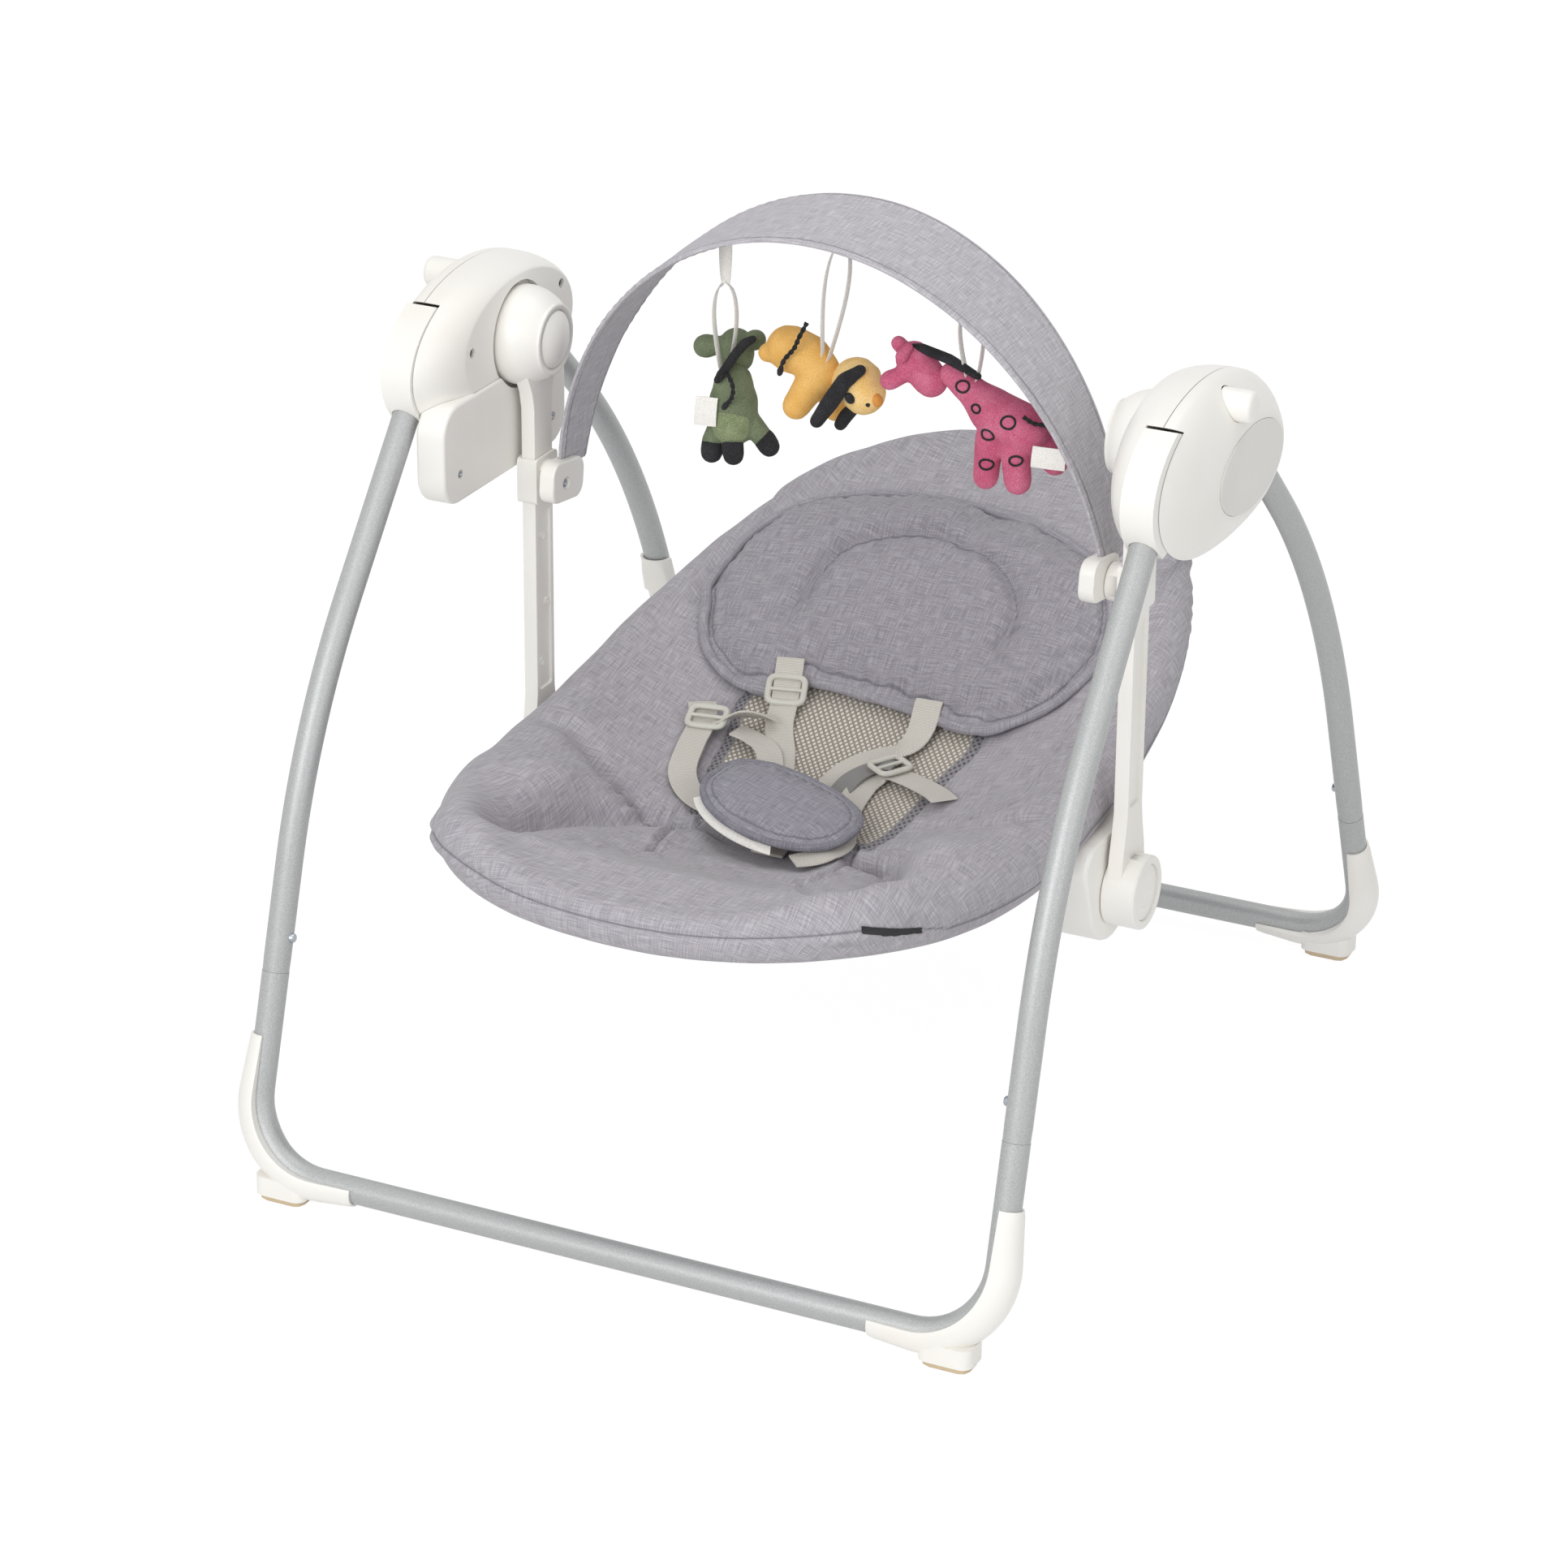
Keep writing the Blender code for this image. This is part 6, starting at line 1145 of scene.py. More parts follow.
# %% Seam lines
CROSS = ((0.1994, -0.0852), (0.1838, -0.0826), (0.1648, -0.0830), (0.1447, -0.0904), (0.1259, -0.1000),
         (0.1059, -0.1075), (0.0880, -0.1110), (0.0690, -0.1080))
INSERT = ((0.0600, -0.0930), (0.0610, -0.1039), (0.0672, -0.1213), (0.0690, -0.1361), (0.0645, -0.1619),
          (0.0600, -0.1780))
CREASE = ((0.0464, -0.1525), (0.0610, -0.1800), (0.0800, -0.2180), (0.1018, -0.2606))
NET_SIDE = ((0.0800, 0.1200), (0.0920, 0.0550), (0.0950, 0.0280), (0.0870, -0.0020), (0.0820, -0.0430),
            (0.0730, -0.0860), (0.0640, -0.0920))
FRONT_FOLD = ((0.1340, -0.2640), (0.1346, -0.2133), (0.1249, -0.1696), (0.1057, -0.1360), (0.0880, -0.1180),
              (0.0700, -0.1080))


def between(a, b, c, d, steps):
    """Catmull-Rom points from b towards c."""
    return [0.5 * (2 * b + (c - a) * t + (2 * a - 5 * b + 4 * c - d) * t**2 + (3 * b - a - 3 * c + d) * t**3)
            for t in np.arange(steps) / steps]


def smooth_line(points, steps=8):
    """Catmull-Rom curve through the points."""
    pts = [np.array(p, float) for p in points]
    pts = [2 * pts[0] - pts[1]] + pts + [2 * pts[-1] - pts[-2]]
    out = []
    for four in zip(pts, pts[1:], pts[2:], pts[3:]):
        out += between(*four, steps)
    return np.array(out + [pts[-2]])


def distance_to(line, x, y):
    """Distance of each (x, y) to the line, and how far along it the nearest place is."""
    best, along = np.full(x.shape, 1e9), np.zeros(x.shape)
    run = 0.0
    for a, b in zip(line, line[1:]):
        d = b[:2] - a[:2]
        length = float(np.hypot(*d)) or 1e-9
        t = np.clip(((x - a[0]) * d[0] + (y - a[1]) * d[1]) / length**2, 0, 1)
        gap = np.hypot(x - a[0] - t * d[0], y - a[1] - t * d[1])
        nearer = gap < best
        best, along = np.where(nearer, gap, best), np.where(nearer, run + t * length, along)
        run += length
    return best, along


def inside_of(polygon, x, y):
    inside = np.zeros(x.shape, bool)
    for a, b in zip(polygon, np.roll(polygon, -1, axis=0)):
        crosses = (a[1] > y) != (b[1] > y)
        at = a[0] + (y - a[1]) * (b[0] - a[0]) / (b[1] - a[1] + 1e-12)
        inside ^= crosses & (x < at)
    return inside


lines = {name: smooth_line(points) for name, points in
         (("cross", CROSS), ("insert", INSERT), ("net", NET_SIDE), ("fold", FRONT_FOLD), ("crease", CREASE))}
net_outline = np.concatenate([lines["net"], (lines["net"] * (-1, 1))[::-1]])

# %% Cover
COLUMNS, TOP_RINGS, ROLL_RINGS = 208, 50, 20
grid, flat = [], []
turns = [2 * math.pi * i / COLUMNS for i in range(COLUMNS)]
rims = [(rim(a), rim_outward(a), rim_radius(a)) for a in turns]
centre = np.array((0.0, SEAT_Y))
for share in np.linspace(0.0, 0.905, TOP_RINGS):
    ring, uvs = [], []
    for p, outward, r in rims:
        x, y = p.x * share, SEAT_Y + (p.y - SEAT_Y) * share
        ring.append((x, y, seat_top(x, y)))
        uvs.append((x, y))
    grid.append(ring if share else ring[:1])
    flat.append(uvs)
for f in np.radians(np.linspace(95, -100, ROLL_RINGS)):
    ring, uvs = [], []
    for p, outward, r in rims:
        q = p + outward * r * math.cos(f) + Z_UP * r * math.sin(f)
        ring.append(tuple(q))
        arc = 0.012 + r * (math.radians(95) - f)
        uvs.append((p.x * 0.905 + outward.x * arc, SEAT_Y + (p.y - SEAT_Y) * 0.905 + outward.y * arc))
    grid.append(ring)
    flat.append(uvs)
for share in (0.90, 0.82, 0.72, 0.60, 0.48, 0.36, 0.24, 0.12, 0.0):
    ring = [(p.x * share, SEAT_Y + (p.y - SEAT_Y) * share) for p, _, _ in rims]
    grid.append([(x, y, seat_top(x, y) - 0.0140) for x, y in (ring if share else ring[:1])])
    flat.append(ring)
cover = solid("seat_cover", lofted(
    [[Vector(p) for p in ring] for ring in grid],
    uv=lambda r, c: flat[r][c % COLUMNS]), cover_cloth, 60)
subdivided(cover)


# %% Creases, gathers and quilted fullness
def points_of(obj):
    data = np.zeros(len(obj.data.vertices) * 3)
    obj.data.vertices.foreach_get("co", data)
    return data.reshape(-1, 3)


def normals_of(obj):
    data = np.zeros(len(obj.data.vertices) * 3, np.float32)
    obj.data.vertex_normals.foreach_get("vector", data)
    return data.reshape(-1, 3)


def set_points(obj, points):
    obj.data.vertices.foreach_set("co", points.ravel())
    obj.data.update()


def attribute(obj, name, values):
    made = obj.data.attributes.new(name, "FLOAT", "POINT")
    made.data.foreach_set("value", values.astype(np.float32))


def tree_of(obj):
    return BVHTree.FromPolygons([v.co for v in obj.data.vertices], [p.vertices for p in obj.data.polygons])


def bell(distance, width, middle=0.0):
    """1 at the middle distance, falling off smoothly over the width."""
    return np.exp(-((distance - middle) / width) ** 2)


def gathers(run, length, sway, drift):
    """Uneven waves along a seam: one per length, swaying over a longer drift."""
    return np.sin(2 * math.pi * run / length + sway * np.sin(run / drift))


def waviness(points, size, seed):
    """Smooth noise, about -1 to 1, with swells of this size in metres."""
    return np.array([noise.noise(Vector(p) / size + Vector((seed, seed, seed))) for p in points])


points, normals = points_of(cover), normals_of(cover)
x, y = np.abs(points[:, 0]), points[:, 1]
upper = np.clip((normals[:, 2] + 0.15) / 0.35, 0, 1)
d_cross, s_cross = distance_to(lines["cross"], x, y)
d_insert, _ = distance_to(lines["insert"], x, y)
d_net, _ = distance_to(lines["net"], x, y)
d_fold, _ = distance_to(lines["fold"], x, y)
d_crease, s_crease = distance_to(lines["crease"], x, y)
in_net = inside_of(net_outline, points[:, 0], y) & (normals[:, 2] > 0)
net_depth = np.where(in_net, d_net, -d_net)
lift = np.zeros(len(points))
# the crosswise seam is a deep valley between two stuffed panels, gathered towards the middle
fades = np.clip((0.200 - x) / 0.03, 0, 1)
lift -= 0.0085 * bell(d_cross, 0.0055) * fades
lift += 0.0042 * bell(d_cross, 0.014, 0.022) * fades
gather = gathers(s_cross, 0.0125, 2.2, 0.017) * np.clip((s_cross - 0.050) / 0.03, 0, 1)
lift += 0.0019 * gather * bell(d_cross, 0.010, 0.008)
# the front insert has a bound, stitched edge
lift -= 0.0030 * bell(d_insert, 0.0026)
lift += 0.0024 * bell(d_insert, 0.0028, 0.0052)
# the front roll stands over a fold, and a crease runs over the roll itself
lift -= 0.0060 * bell(d_fold, 0.0055)
lift += 0.0036 * bell(d_fold, 0.012, 0.020) * (y < -0.11)
crease_depth = np.where(points[:, 0] > 0, 0.0034, 0.0022)
lift -= crease_depth * bell(d_crease, 0.0045) * np.clip(s_crease / 0.02, 0, 1)
full = np.clip((-0.105 - y) / 0.05, 0, 1) * np.clip((0.322 + y) / 0.05, 0, 1)
lift += 0.0150 * full * np.clip(d_fold / 0.035, 0, 1) * (y < -0.10) * np.clip((0.185 - x) / 0.04, 0, 1)
# the panels in the front corners are stuffed full
lift += 0.0120 * np.exp(-((x - 0.150) / 0.030) ** 2 - ((y + 0.135) / 0.036) ** 2)
lift += 0.0110 * np.exp(-((x - 0.166) / 0.026) ** 2 - ((y + 0.175) / 0.034) ** 2)
wrinkle = np.sin(2 * math.pi * (s_crease / 0.030)) * bell(d_crease, 0.012, 0.012)
lift += 0.0012 * wrinkle * (y < -0.15)
lift -= 0.0016 * bell(d_net, 0.0030)
lift += np.where(in_net, -0.0006, 0.0034 * (1 - bell(d_net, 0.025)) * (y > -0.06) * (x < 0.16))
lift *= upper
# hem: the rim's cloth is stitched down low on its outer side, and gathers a little above the stitching
hem = np.full(len(points), 1.0)
tilt_down = np.degrees(np.arcsin(np.clip(normals[:, 2], -1, 1)))
around = np.arctan2(points[:, 0] / 0.25, (points[:, 1] - SEAT_Y) / 0.33)
rim_length = np.where(y < SEAT_Y, 0.283, 0.367)
on_roll = ((normals[:, 2] < 0.75) & (normals[:, 2] > -0.98)
           & (np.hypot(points[:, 0] / HALF_W, (y - SEAT_Y) / rim_length) > 0.93))
hem_tilt = -12 + 36 * np.clip((-0.230 - points[:, 1]) / 0.055, 0, 1)
hem[on_roll] = (np.abs(tilt_down - hem_tilt) / 57.3 * RIM_R)[on_roll]
lift -= 0.0022 * bell(hem, 0.0022)
lift += np.where(on_roll, 0.0007 * np.sin(around * 118 + 2.0 * np.sin(around * 17))
                 * np.exp(-((tilt_down - hem_tilt - 14) / 12) ** 2), 0)
lift += 0.0017 * waviness(points, 0.055, 3.1) * np.where(in_net, 0.35, 1.0)
lift += 0.0006 * waviness(points * (1.0, 0.45, 1.0), 0.016, 8.7) * np.where(in_net, 0.2, 1.0)
under = normals[:, 2] < -0.2
lift[under] *= 0.2
set_points(cover, points + normals * lift[:, None])
attribute(cover, "net_inside", np.where(normals[:, 2] > 0, net_depth, -0.05))
top_only = np.where(normals[:, 2] > 0.0, 0.0, 1.0)
attribute(cover, "seam",
          np.minimum.reduce([d_cross + top_only, d_insert + top_only, d_net + 0.0004 + top_only, hem]))
cover.data.shade_smooth()
fitted(cover, "seat", "seat_fabric", "seat_pad")
print("cover", len(cover.data.vertices), "points", size_of(cover))

# %% [markdown]
# ## Pillow and crotch pad
# Both are stuffed pads bound round the edge with a folded strip. The stuffing is simulated: the
# closed form is remeshed, blown up a little by cloth pressure with its edge held, and the result is
# kept. The stitched oval and the puckers beside the binding come after it, from distances again.

# %% Stuffing by cloth pressure
def puffed(obj, held, pressure, cap, growth=0.05):
    """Blow the form up with its held points fixed, and let no point move further than the cap."""
    group = obj.vertex_groups.new(name="held")
    for index in np.nonzero(held)[0]:
        group.add([int(index)], 1.0, "REPLACE")
    start = points_of(obj)
    cloth = obj.modifiers.new("stuffing", "CLOTH")
    settings = cloth.settings
    settings.vertex_group_mass = "held"
    settings.use_pressure, settings.uniform_pressure_force = True, pressure
    settings.tension_stiffness = settings.compression_stiffness = 12.0
    settings.bending_stiffness = 0.25
    settings.shrink_min = -growth
    settings.effector_weights.gravity = 0.0
    settings.quality = 5
    cloth.point_cache.frame_start, cloth.point_cache.frame_end = 1, 20
    for number in range(1, 21):
        scene.frame_set(number)
    mesh = bpy.data.meshes.new_from_object(obj.evaluated_get(bpy.context.evaluated_depsgraph_get()))
    moved = np.zeros(len(mesh.vertices) * 3)
    mesh.vertices.foreach_get("co", moved)
    moved = moved.reshape(-1, 3)
    scene.frame_set(1)
    obj.modifiers.clear()
    shift = moved - start
    reach = np.linalg.norm(shift, axis=1, keepdims=True)
    shift *= np.minimum(1.0, cap / np.maximum(reach, 1e-9))
    set_points(obj, start + shift)


def remeshed(obj, voxel):
    modifier = obj.modifiers.new("even_faces", "REMESH")
    modifier.mode, modifier.voxel_size, modifier.adaptivity = "VOXEL", voxel, 0.0
    baked(obj)
    return obj


def dressed(obj, material):
    """Give a remeshed piece its one material, and smooth shading."""
    obj.data.materials.clear()
    obj.data.materials.append(material)
    obj.data.shade_smooth()
    return obj


def smoothed(obj, times, factor=0.5):
    modifier = obj.modifiers.new("smoother", "SMOOTH")
    modifier.iterations, modifier.factor = times, factor
    return baked(obj)


def flat_uvs(obj, u_axis, v_axis):
    """UVs in metres from two directions, as if the cloth lay flat."""
    points = points_of(obj)
    uv = np.stack([points @ np.array(u_axis), points @ np.array(v_axis)], axis=1)
    corners = np.zeros(len(obj.data.loops), np.int32)
    obj.data.loops.foreach_get("vertex_index", corners)
    layer = obj.data.uv_layers.get("UVMap") or obj.data.uv_layers.new(name="UVMap")
    layer.data.foreach_set("uv", uv[corners].astype(np.float32).ravel())


def closed_curve(points, steps=10):
    """A smooth closed outline through (x, y) points."""
    pts = [np.array(p, float) for p in points]
    out, count = [], len(points)
    for i in range(count):
        out += between(*(pts[(i + k) % count] for k in (-1, 0, 1, 2)), steps)
    return np.array(out)


# %% Head pillow
PILLOW_EDGE = ((-0.146, 0.070), (-0.156, 0.094), (-0.164, 0.117), (-0.156, 0.169), (-0.123, 0.210),
               (-0.067, 0.233), (-0.003, 0.236), (0.063, 0.224), (0.118, 0.196), (0.146, 0.158),
               (0.155, 0.112), (0.141, 0.066), (0.109, 0.040), (0.084, 0.036), (0.020, 0.050),
               (-0.047, 0.054), (-0.064, 0.039), (-0.098, 0.035), (-0.129, 0.049))
PILLOW_OVAL = ((-0.064, 0.070), (-0.077, 0.109), (-0.071, 0.150), (-0.039, 0.172), (0.005, 0.178),
               (0.047, 0.164), (0.075, 0.137), (0.082, 0.107), (0.067, 0.062), (0.0, 0.056))
pillow_outline = closed_curve(PILLOW_EDGE)
pillow_oval = closed_curve(PILLOW_OVAL)
middle = np.array((0.0, 0.135))
rings, under_rings = [], []
for share in np.linspace(0, 1, 22):
    edge_line = middle + (pillow_outline - middle) * share * 0.985
    if share == 0:
        edge_line = edge_line[:1]
    crown = 0.0150 * math.sqrt(max(0.0, 1 - share**5))
    rings.append([Vector((x, y, seat_top(x, y) + 0.0050 + crown)) for x, y in edge_line])
    under_rings.append([Vector((x, y, seat_top(x, y) + 0.0030)) for x, y in edge_line])
pillow = solid("head_pillow_pad", lofted(rings + under_rings[::-1]), melange, 60)
remeshed(pillow, 0.0042)
points = points_of(pillow)
to_edge, _ = distance_to(np.vstack([pillow_outline, pillow_outline[:1]]), points[:, 0], points[:, 1])
base = np.array([seat_top(px, py) for px, py in points[:, :2]])
puffed(pillow, (to_edge < 0.006) | (points[:, 2] < base + 0.0045), 4.0, 0.006)
smoothed(pillow, 2)
subdivided(pillow)
points, normals = points_of(pillow), normals_of(pillow)
to_edge, s_edge = distance_to(np.vstack([pillow_outline, pillow_outline[:1]]), points[:, 0], points[:, 1])
to_oval, s_oval = distance_to(np.vstack([pillow_oval, pillow_oval[:1]]), points[:, 0], points[:, 1])
upper = np.clip(normals[:, 2] / 0.5, 0, 1)
in_oval = inside_of(pillow_oval, points[:, 0], points[:, 1])
low = float(pillow_oval[:, 1].min())
open_end = np.clip((points[:, 1] - low - 0.012) / 0.040, 0, 1)
lift = -0.0066 * bell(to_oval, 0.0055) * open_end
lift += np.where(in_oval, 0.0034 * (1 - bell(to_oval, 0.022)),
                 0.0022 * bell(to_oval, 0.014, 0.022)) * open_end
lift += 0.0008 * gathers(s_oval, 0.013, 1.5, 0.02) * bell(to_oval, 0.008, 0.006) * open_end
lift -= 0.0028 * bell(to_edge, 0.0030, 0.0085)
lift += 0.0006 * gathers(s_edge, 0.0105, 1.8, 0.023) * bell(to_edge, 0.009, 0.016)
lift += 0.0012 * waviness(points, 0.045, 5.2) + 0.0005 * waviness(points, 0.014, 1.9)
base = np.array([seat_top(px, py) for px, py in points[:, :2]])
shaped = points + normals * (lift * upper)[:, None]
shaped[:, 2] = np.maximum(shaped[:, 2], base + 0.0030)
set_points(pillow, shaped)
flat_uvs(pillow, (1, 0, 0), (0, 0.94, 0.34))
attribute(pillow, "seam",
          np.minimum(to_oval + 0.01 * (1 - open_end), np.abs(to_edge - 0.0088)) + np.where(normals[:, 2] > 0,
                                                                                           0, 1))


def pad_cloth(name, *greys_wanted):
    """Melange with the dark stitched line where the seam attribute is near zero."""
    material, tree, shader, uv, greys = woven(name, *greys_wanted)
    seam = node(tree, "Attribute", {"attribute_name": "seam"})
    line = node(tree, "MapRange", {"From Min": 1.3 * MM, "From Max": 0.4 * MM, "To Max": 0.60},
                {"Value": seam.outputs["Fac"]})
    seamed = node(tree, "Mix", {"data_type": "RGBA", 7: linear("5F5D65")}, {0: line, 6: greys})
    tree.links.new(seamed.outputs[2], shader.inputs["Base Color"])
    return material


dressed(pillow, pad_cloth("melange_pillow_cover", "87848B", "9A969D", "AFACB2"))
fitted(pillow, "seat", "seat_fabric", "head_pillow")
print("pillow", len(pillow.data.vertices), size_of(pillow))


# %% Bindings
def binding(name, outline, height, width, thick, material, pucker=0.0004):
    """A folded strip round a pad's edge: an oval section that follows the outline."""
    count = len(outline)
    rings, run = [], [0.0]
    for a, b in zip(outline, np.roll(outline, -1, axis=0)):
        run.append(run[-1] + float(np.hypot(*(b - a))))
    for i, p in enumerate(outline):
        ahead = outline[(i + 1) % count] - outline[i - 1]
        inward = Vector((-ahead[1], ahead[0], 0)).normalized()
        if inward.dot(Vector((*(outline.mean(axis=0) - p), 0))) < 0:
            inward = -inward
        z = height(*(np.array(p) + np.array(inward.to_2d()) * width * 0.4))
        swell = 1 + 0.10 * math.sin(run[i] / 0.0045) + 0.07 * math.sin(run[i] / 0.0019 + 1.0)
        at = Vector((p[0], p[1], z))
        rings.append([at + inward * (width * (0.5 + 0.5 * math.cos(t))) + Z_UP * thick * swell * math.sin(t) * 0.5
                      for t in np.linspace(0, 2 * math.pi, 17)[:-1]])
    return solid(name, lofted(rings, closed=True, uv=lambda r, c: (run[min(r, count)], c * 0.0011)), material,
                 70)


pillow_binding = binding("pillow_edge_binding", pillow_outline[::2], lambda x, y: seat_top(x, y) + 0.0078,
                         0.0078, 0.0074, melange_dark)
fitted(pillow_binding, "seat", "seat_fabric")
print("binding", len(pillow_binding.data.vertices))

# %% Crotch pad
CROTCH = Vector((0, -0.0940, 0.2465))
CROTCH_TILT = math.radians(10)
CROTCH_HALF_W, CROTCH_HALF_L = 0.0600, 0.0385
crotch_outline = np.array([(CROTCH_HALF_W * bent(math.cos(a), 0.86 if math.sin(a) > 0 else 1.0),
                            CROTCH_HALF_L * bent(math.sin(a), 0.62 if math.sin(a) > 0 else 0.95))
                           for a in np.linspace(0, 2 * math.pi, 97)[:-1]])


# it lies a little askew on the straps, turned to its right and lower on that side
LIES = (Matrix.Translation(CROTCH) @ Matrix.Rotation(math.radians(-13), 4, "Z")
        @ Matrix.Rotation(math.radians(7), 4, "Y") @ Matrix.Rotation(CROTCH_TILT, 4, "X"))
crotch_cloth = pad_cloth("melange_crotch_pad", "828089", "93919A", "A6A4AC")
rings = []
for share in np.linspace(0, 1, 14):
    crown = 0.0048 * math.sqrt(max(0.0, 1 - share**4))
    line_here = crotch_outline * share if share else crotch_outline[:1] * 0
    rings.append([Vector((x, y, 0.0010 + crown)) for x, y in line_here])
rings += [[Vector((p.x, p.y, -0.0010 - 0.75 * (p.z - 0.0010))) for p in ring] for ring in rings[::-1]]
crotch = solid("crotch_pad_cover", lofted(rings), melange, 60)
remeshed(crotch, 0.0032)
points = points_of(crotch)
edge_loop = np.vstack([crotch_outline, crotch_outline[:1]])
to_edge, _ = distance_to(edge_loop, points[:, 0], points[:, 1])
puffed(crotch, to_edge < 0.005, 4.0, 0.003)
smoothed(crotch, 2)
subdivided(crotch)
points, normals = points_of(crotch), normals_of(crotch)
to_edge, s_edge = distance_to(edge_loop, points[:, 0], points[:, 1])
lift = -0.0013 * bell(to_edge, 0.0022, 0.0062)
lift += 0.0007 * gathers(s_edge, 0.0085, 1.0, 0.013) * bell(to_edge, 0.006, 0.010)
lift += 0.0006 * waviness(points, 0.028, 2.2)
points = points + normals * lift[:, None]
set_points(crotch, points)
flat_uvs(crotch, (1, 0, 0), (0, 1, 0))
attribute(crotch, "seam", np.abs(to_edge - 0.0062))
dressed(crotch, crotch_cloth)
crotch.data.transform(LIES)
fitted(crotch, "seat", "seat_fabric", "crotch_pad")
crotch_binding = binding("crotch_edge_binding", crotch_outline * 1.045, lambda x, y: 0.0, 0.0058, 0.0056,
                         woven("melange_crotch_binding", "74727B", "83818A", "95939B")[0])
crotch_binding.data.transform(LIES)
fitted(crotch_binding, "seat", "seat_fabric")
print("crotch pad", size_of(crotch))

# %% Two plain labels: black on the front roll, white under the crotch pad's front edge
# on the real seat they are woven strips caught in the seams; both are bare
cover_tree = tree_of(cover)
rings = []
for a in np.linspace(2.445, 2.225, 22):
    middle, outward, outer, inner = rim(a), rim_outward(a), [], []
    for f in np.radians(np.array((6, 2, -2, -6)) + (a - 2.215) / 0.224 * 24):
        toward = outward * math.cos(f) + Z_UP * math.sin(f)
        at, facing, _, _ = cover_tree.ray_cast(middle + toward * 0.05, -toward)
        outer.append(at + facing * 0.0011)
        inner.append(at + facing * 0.0003)
    rings.append(outer + inner[::-1])
front_label = solid("front_edge_label", lofted(rings), label_black, 60)
fitted(front_label, "seat", "seat_fabric")
rings = []
for p in crotch_outline[(crotch_outline[:, 1] < -0.018) & (crotch_outline[:, 0] < 0.024)]:
    x, y = p
    rings.append([Vector((x * k, y * k, z))
                  for k, z in ((0.87, -0.0016), (1.00, -0.0034), (1.125, -0.0062), (1.125, -0.0068),
                               (1.00, -0.0040), (0.87, -0.0022))])
pad_label = solid("crotch_pad_label", lofted(rings), ribbon_satin, 60)
pad_label.data.transform(LIES)
fitted(pad_label, "seat", "seat_fabric")
print("labels", size_of(front_label), size_of(pad_label))

# %% [markdown]
# ## Harness
# The harness is 22 mm polyester webbing with moulded adjusters. Each strap is a flat closed strip
# whose route is known on the seat. It is dropped onto whatever lies under it, the pillow or the
# cover, and its rough points are smoothed, because webbing bridges small hollows.

# %% Straps that lie on the seat
seat_trees = [tree_of(cover), tree_of(pillow)]


def ground(x, y):
    """Height of the cover or the pillow under this place."""
    heights = [hit[0].z for hit in (t.ray_cast(Vector((x, y, 0.6)), Vector((0, 0, -1)))
                                    for t in seat_trees) if hit[0]]
    return max(heights) if heights else seat_top(x, y)


def strap(name, route, width=0.0205, thick=0.0016, material=None, clear=0.0012, ends=(None, None), arch=None,
          twist=0.0):
    """Webbing along (x, y) points on the seat. An end may rise to a given height."""
    line = smooth_line(route, 14)
    line = [Vector((p[0], p[1], 0)) for p in line]
    lengths = run_of(line)
    count = max(12, int(lengths[-1] / 0.0022))
    even = []
    for d in np.linspace(0, lengths[-1], count):
        i = min(int(np.searchsorted(lengths, d, "right")) - 1, len(line) - 2)
        even.append(line[i].lerp(line[i + 1],
                                 float((d - lengths[i]) / max(lengths[i + 1] - lengths[i], 1e-9))))
    heights = []
    for i, p in enumerate(even):
        side = direction_at(even, i).cross(Z_UP)
        heights.append(max(ground(*(p + side * k * width / 2).to_2d())
                           for k in (-1, -0.5, 0, 0.5, 1)) + clear + thick / 2)
    heights = np.array(heights)
    for _ in range(10):
        padded_line = np.concatenate([[heights[0]] * 3, heights, [heights[-1]] * 3])
        heights = np.maximum(heights, np.convolve(padded_line, np.ones(7) / 7, "same")[3:-3])
    shares = np.linspace(0, 1, count)
    for end, height in zip((0, 1), ends):
        if height is not None:
            near = np.clip(1 - np.abs(shares - end) / 0.45, 0, 1) ** 1.6
            heights = heights * (1 - near) + height * near
    if arch:
        heights += arch * np.sin(math.pi * shares) ** 2
    path = [Vector((p.x, p.y, h)) for p, h in zip(even, heights)]
    rings, run = [], run_of(path)
    w, t = width / 2, thick / 2
    shape = [(-w, 0), (-w + t * 0.5, t * 0.85), (-w * 0.6, t), (0, t * 1.05), (w * 0.6, t),
             (w - t * 0.5, t * 0.85), (w, 0), (w - t * 0.5, -t * 0.85), (w * 0.6, -t), (0, -t * 0.95),
             (-w * 0.6, -t), (-w + t * 0.5, -t * 0.85)]
    for i, p in enumerate(path):
        along = direction_at(path, i)
        side = along.cross(Z_UP).normalized()
        up = side.cross(along).normalized()
        angle = twist * math.sin(math.pi * shares[i])
        s2, u2 = side * math.cos(angle) + up * math.sin(angle), up * math.cos(angle) - side * math.sin(angle)
        rings.append([p + s2 * a + u2 * b for a, b in shape])
    obj = solid(name, lofted(rings, uv=lambda r, c: (shape[c % 12][0], run[min(r, len(run) - 1)])),
                material or pale_webbing, 50)
    fitted(obj, "seat", "webbing")
    return obj, path


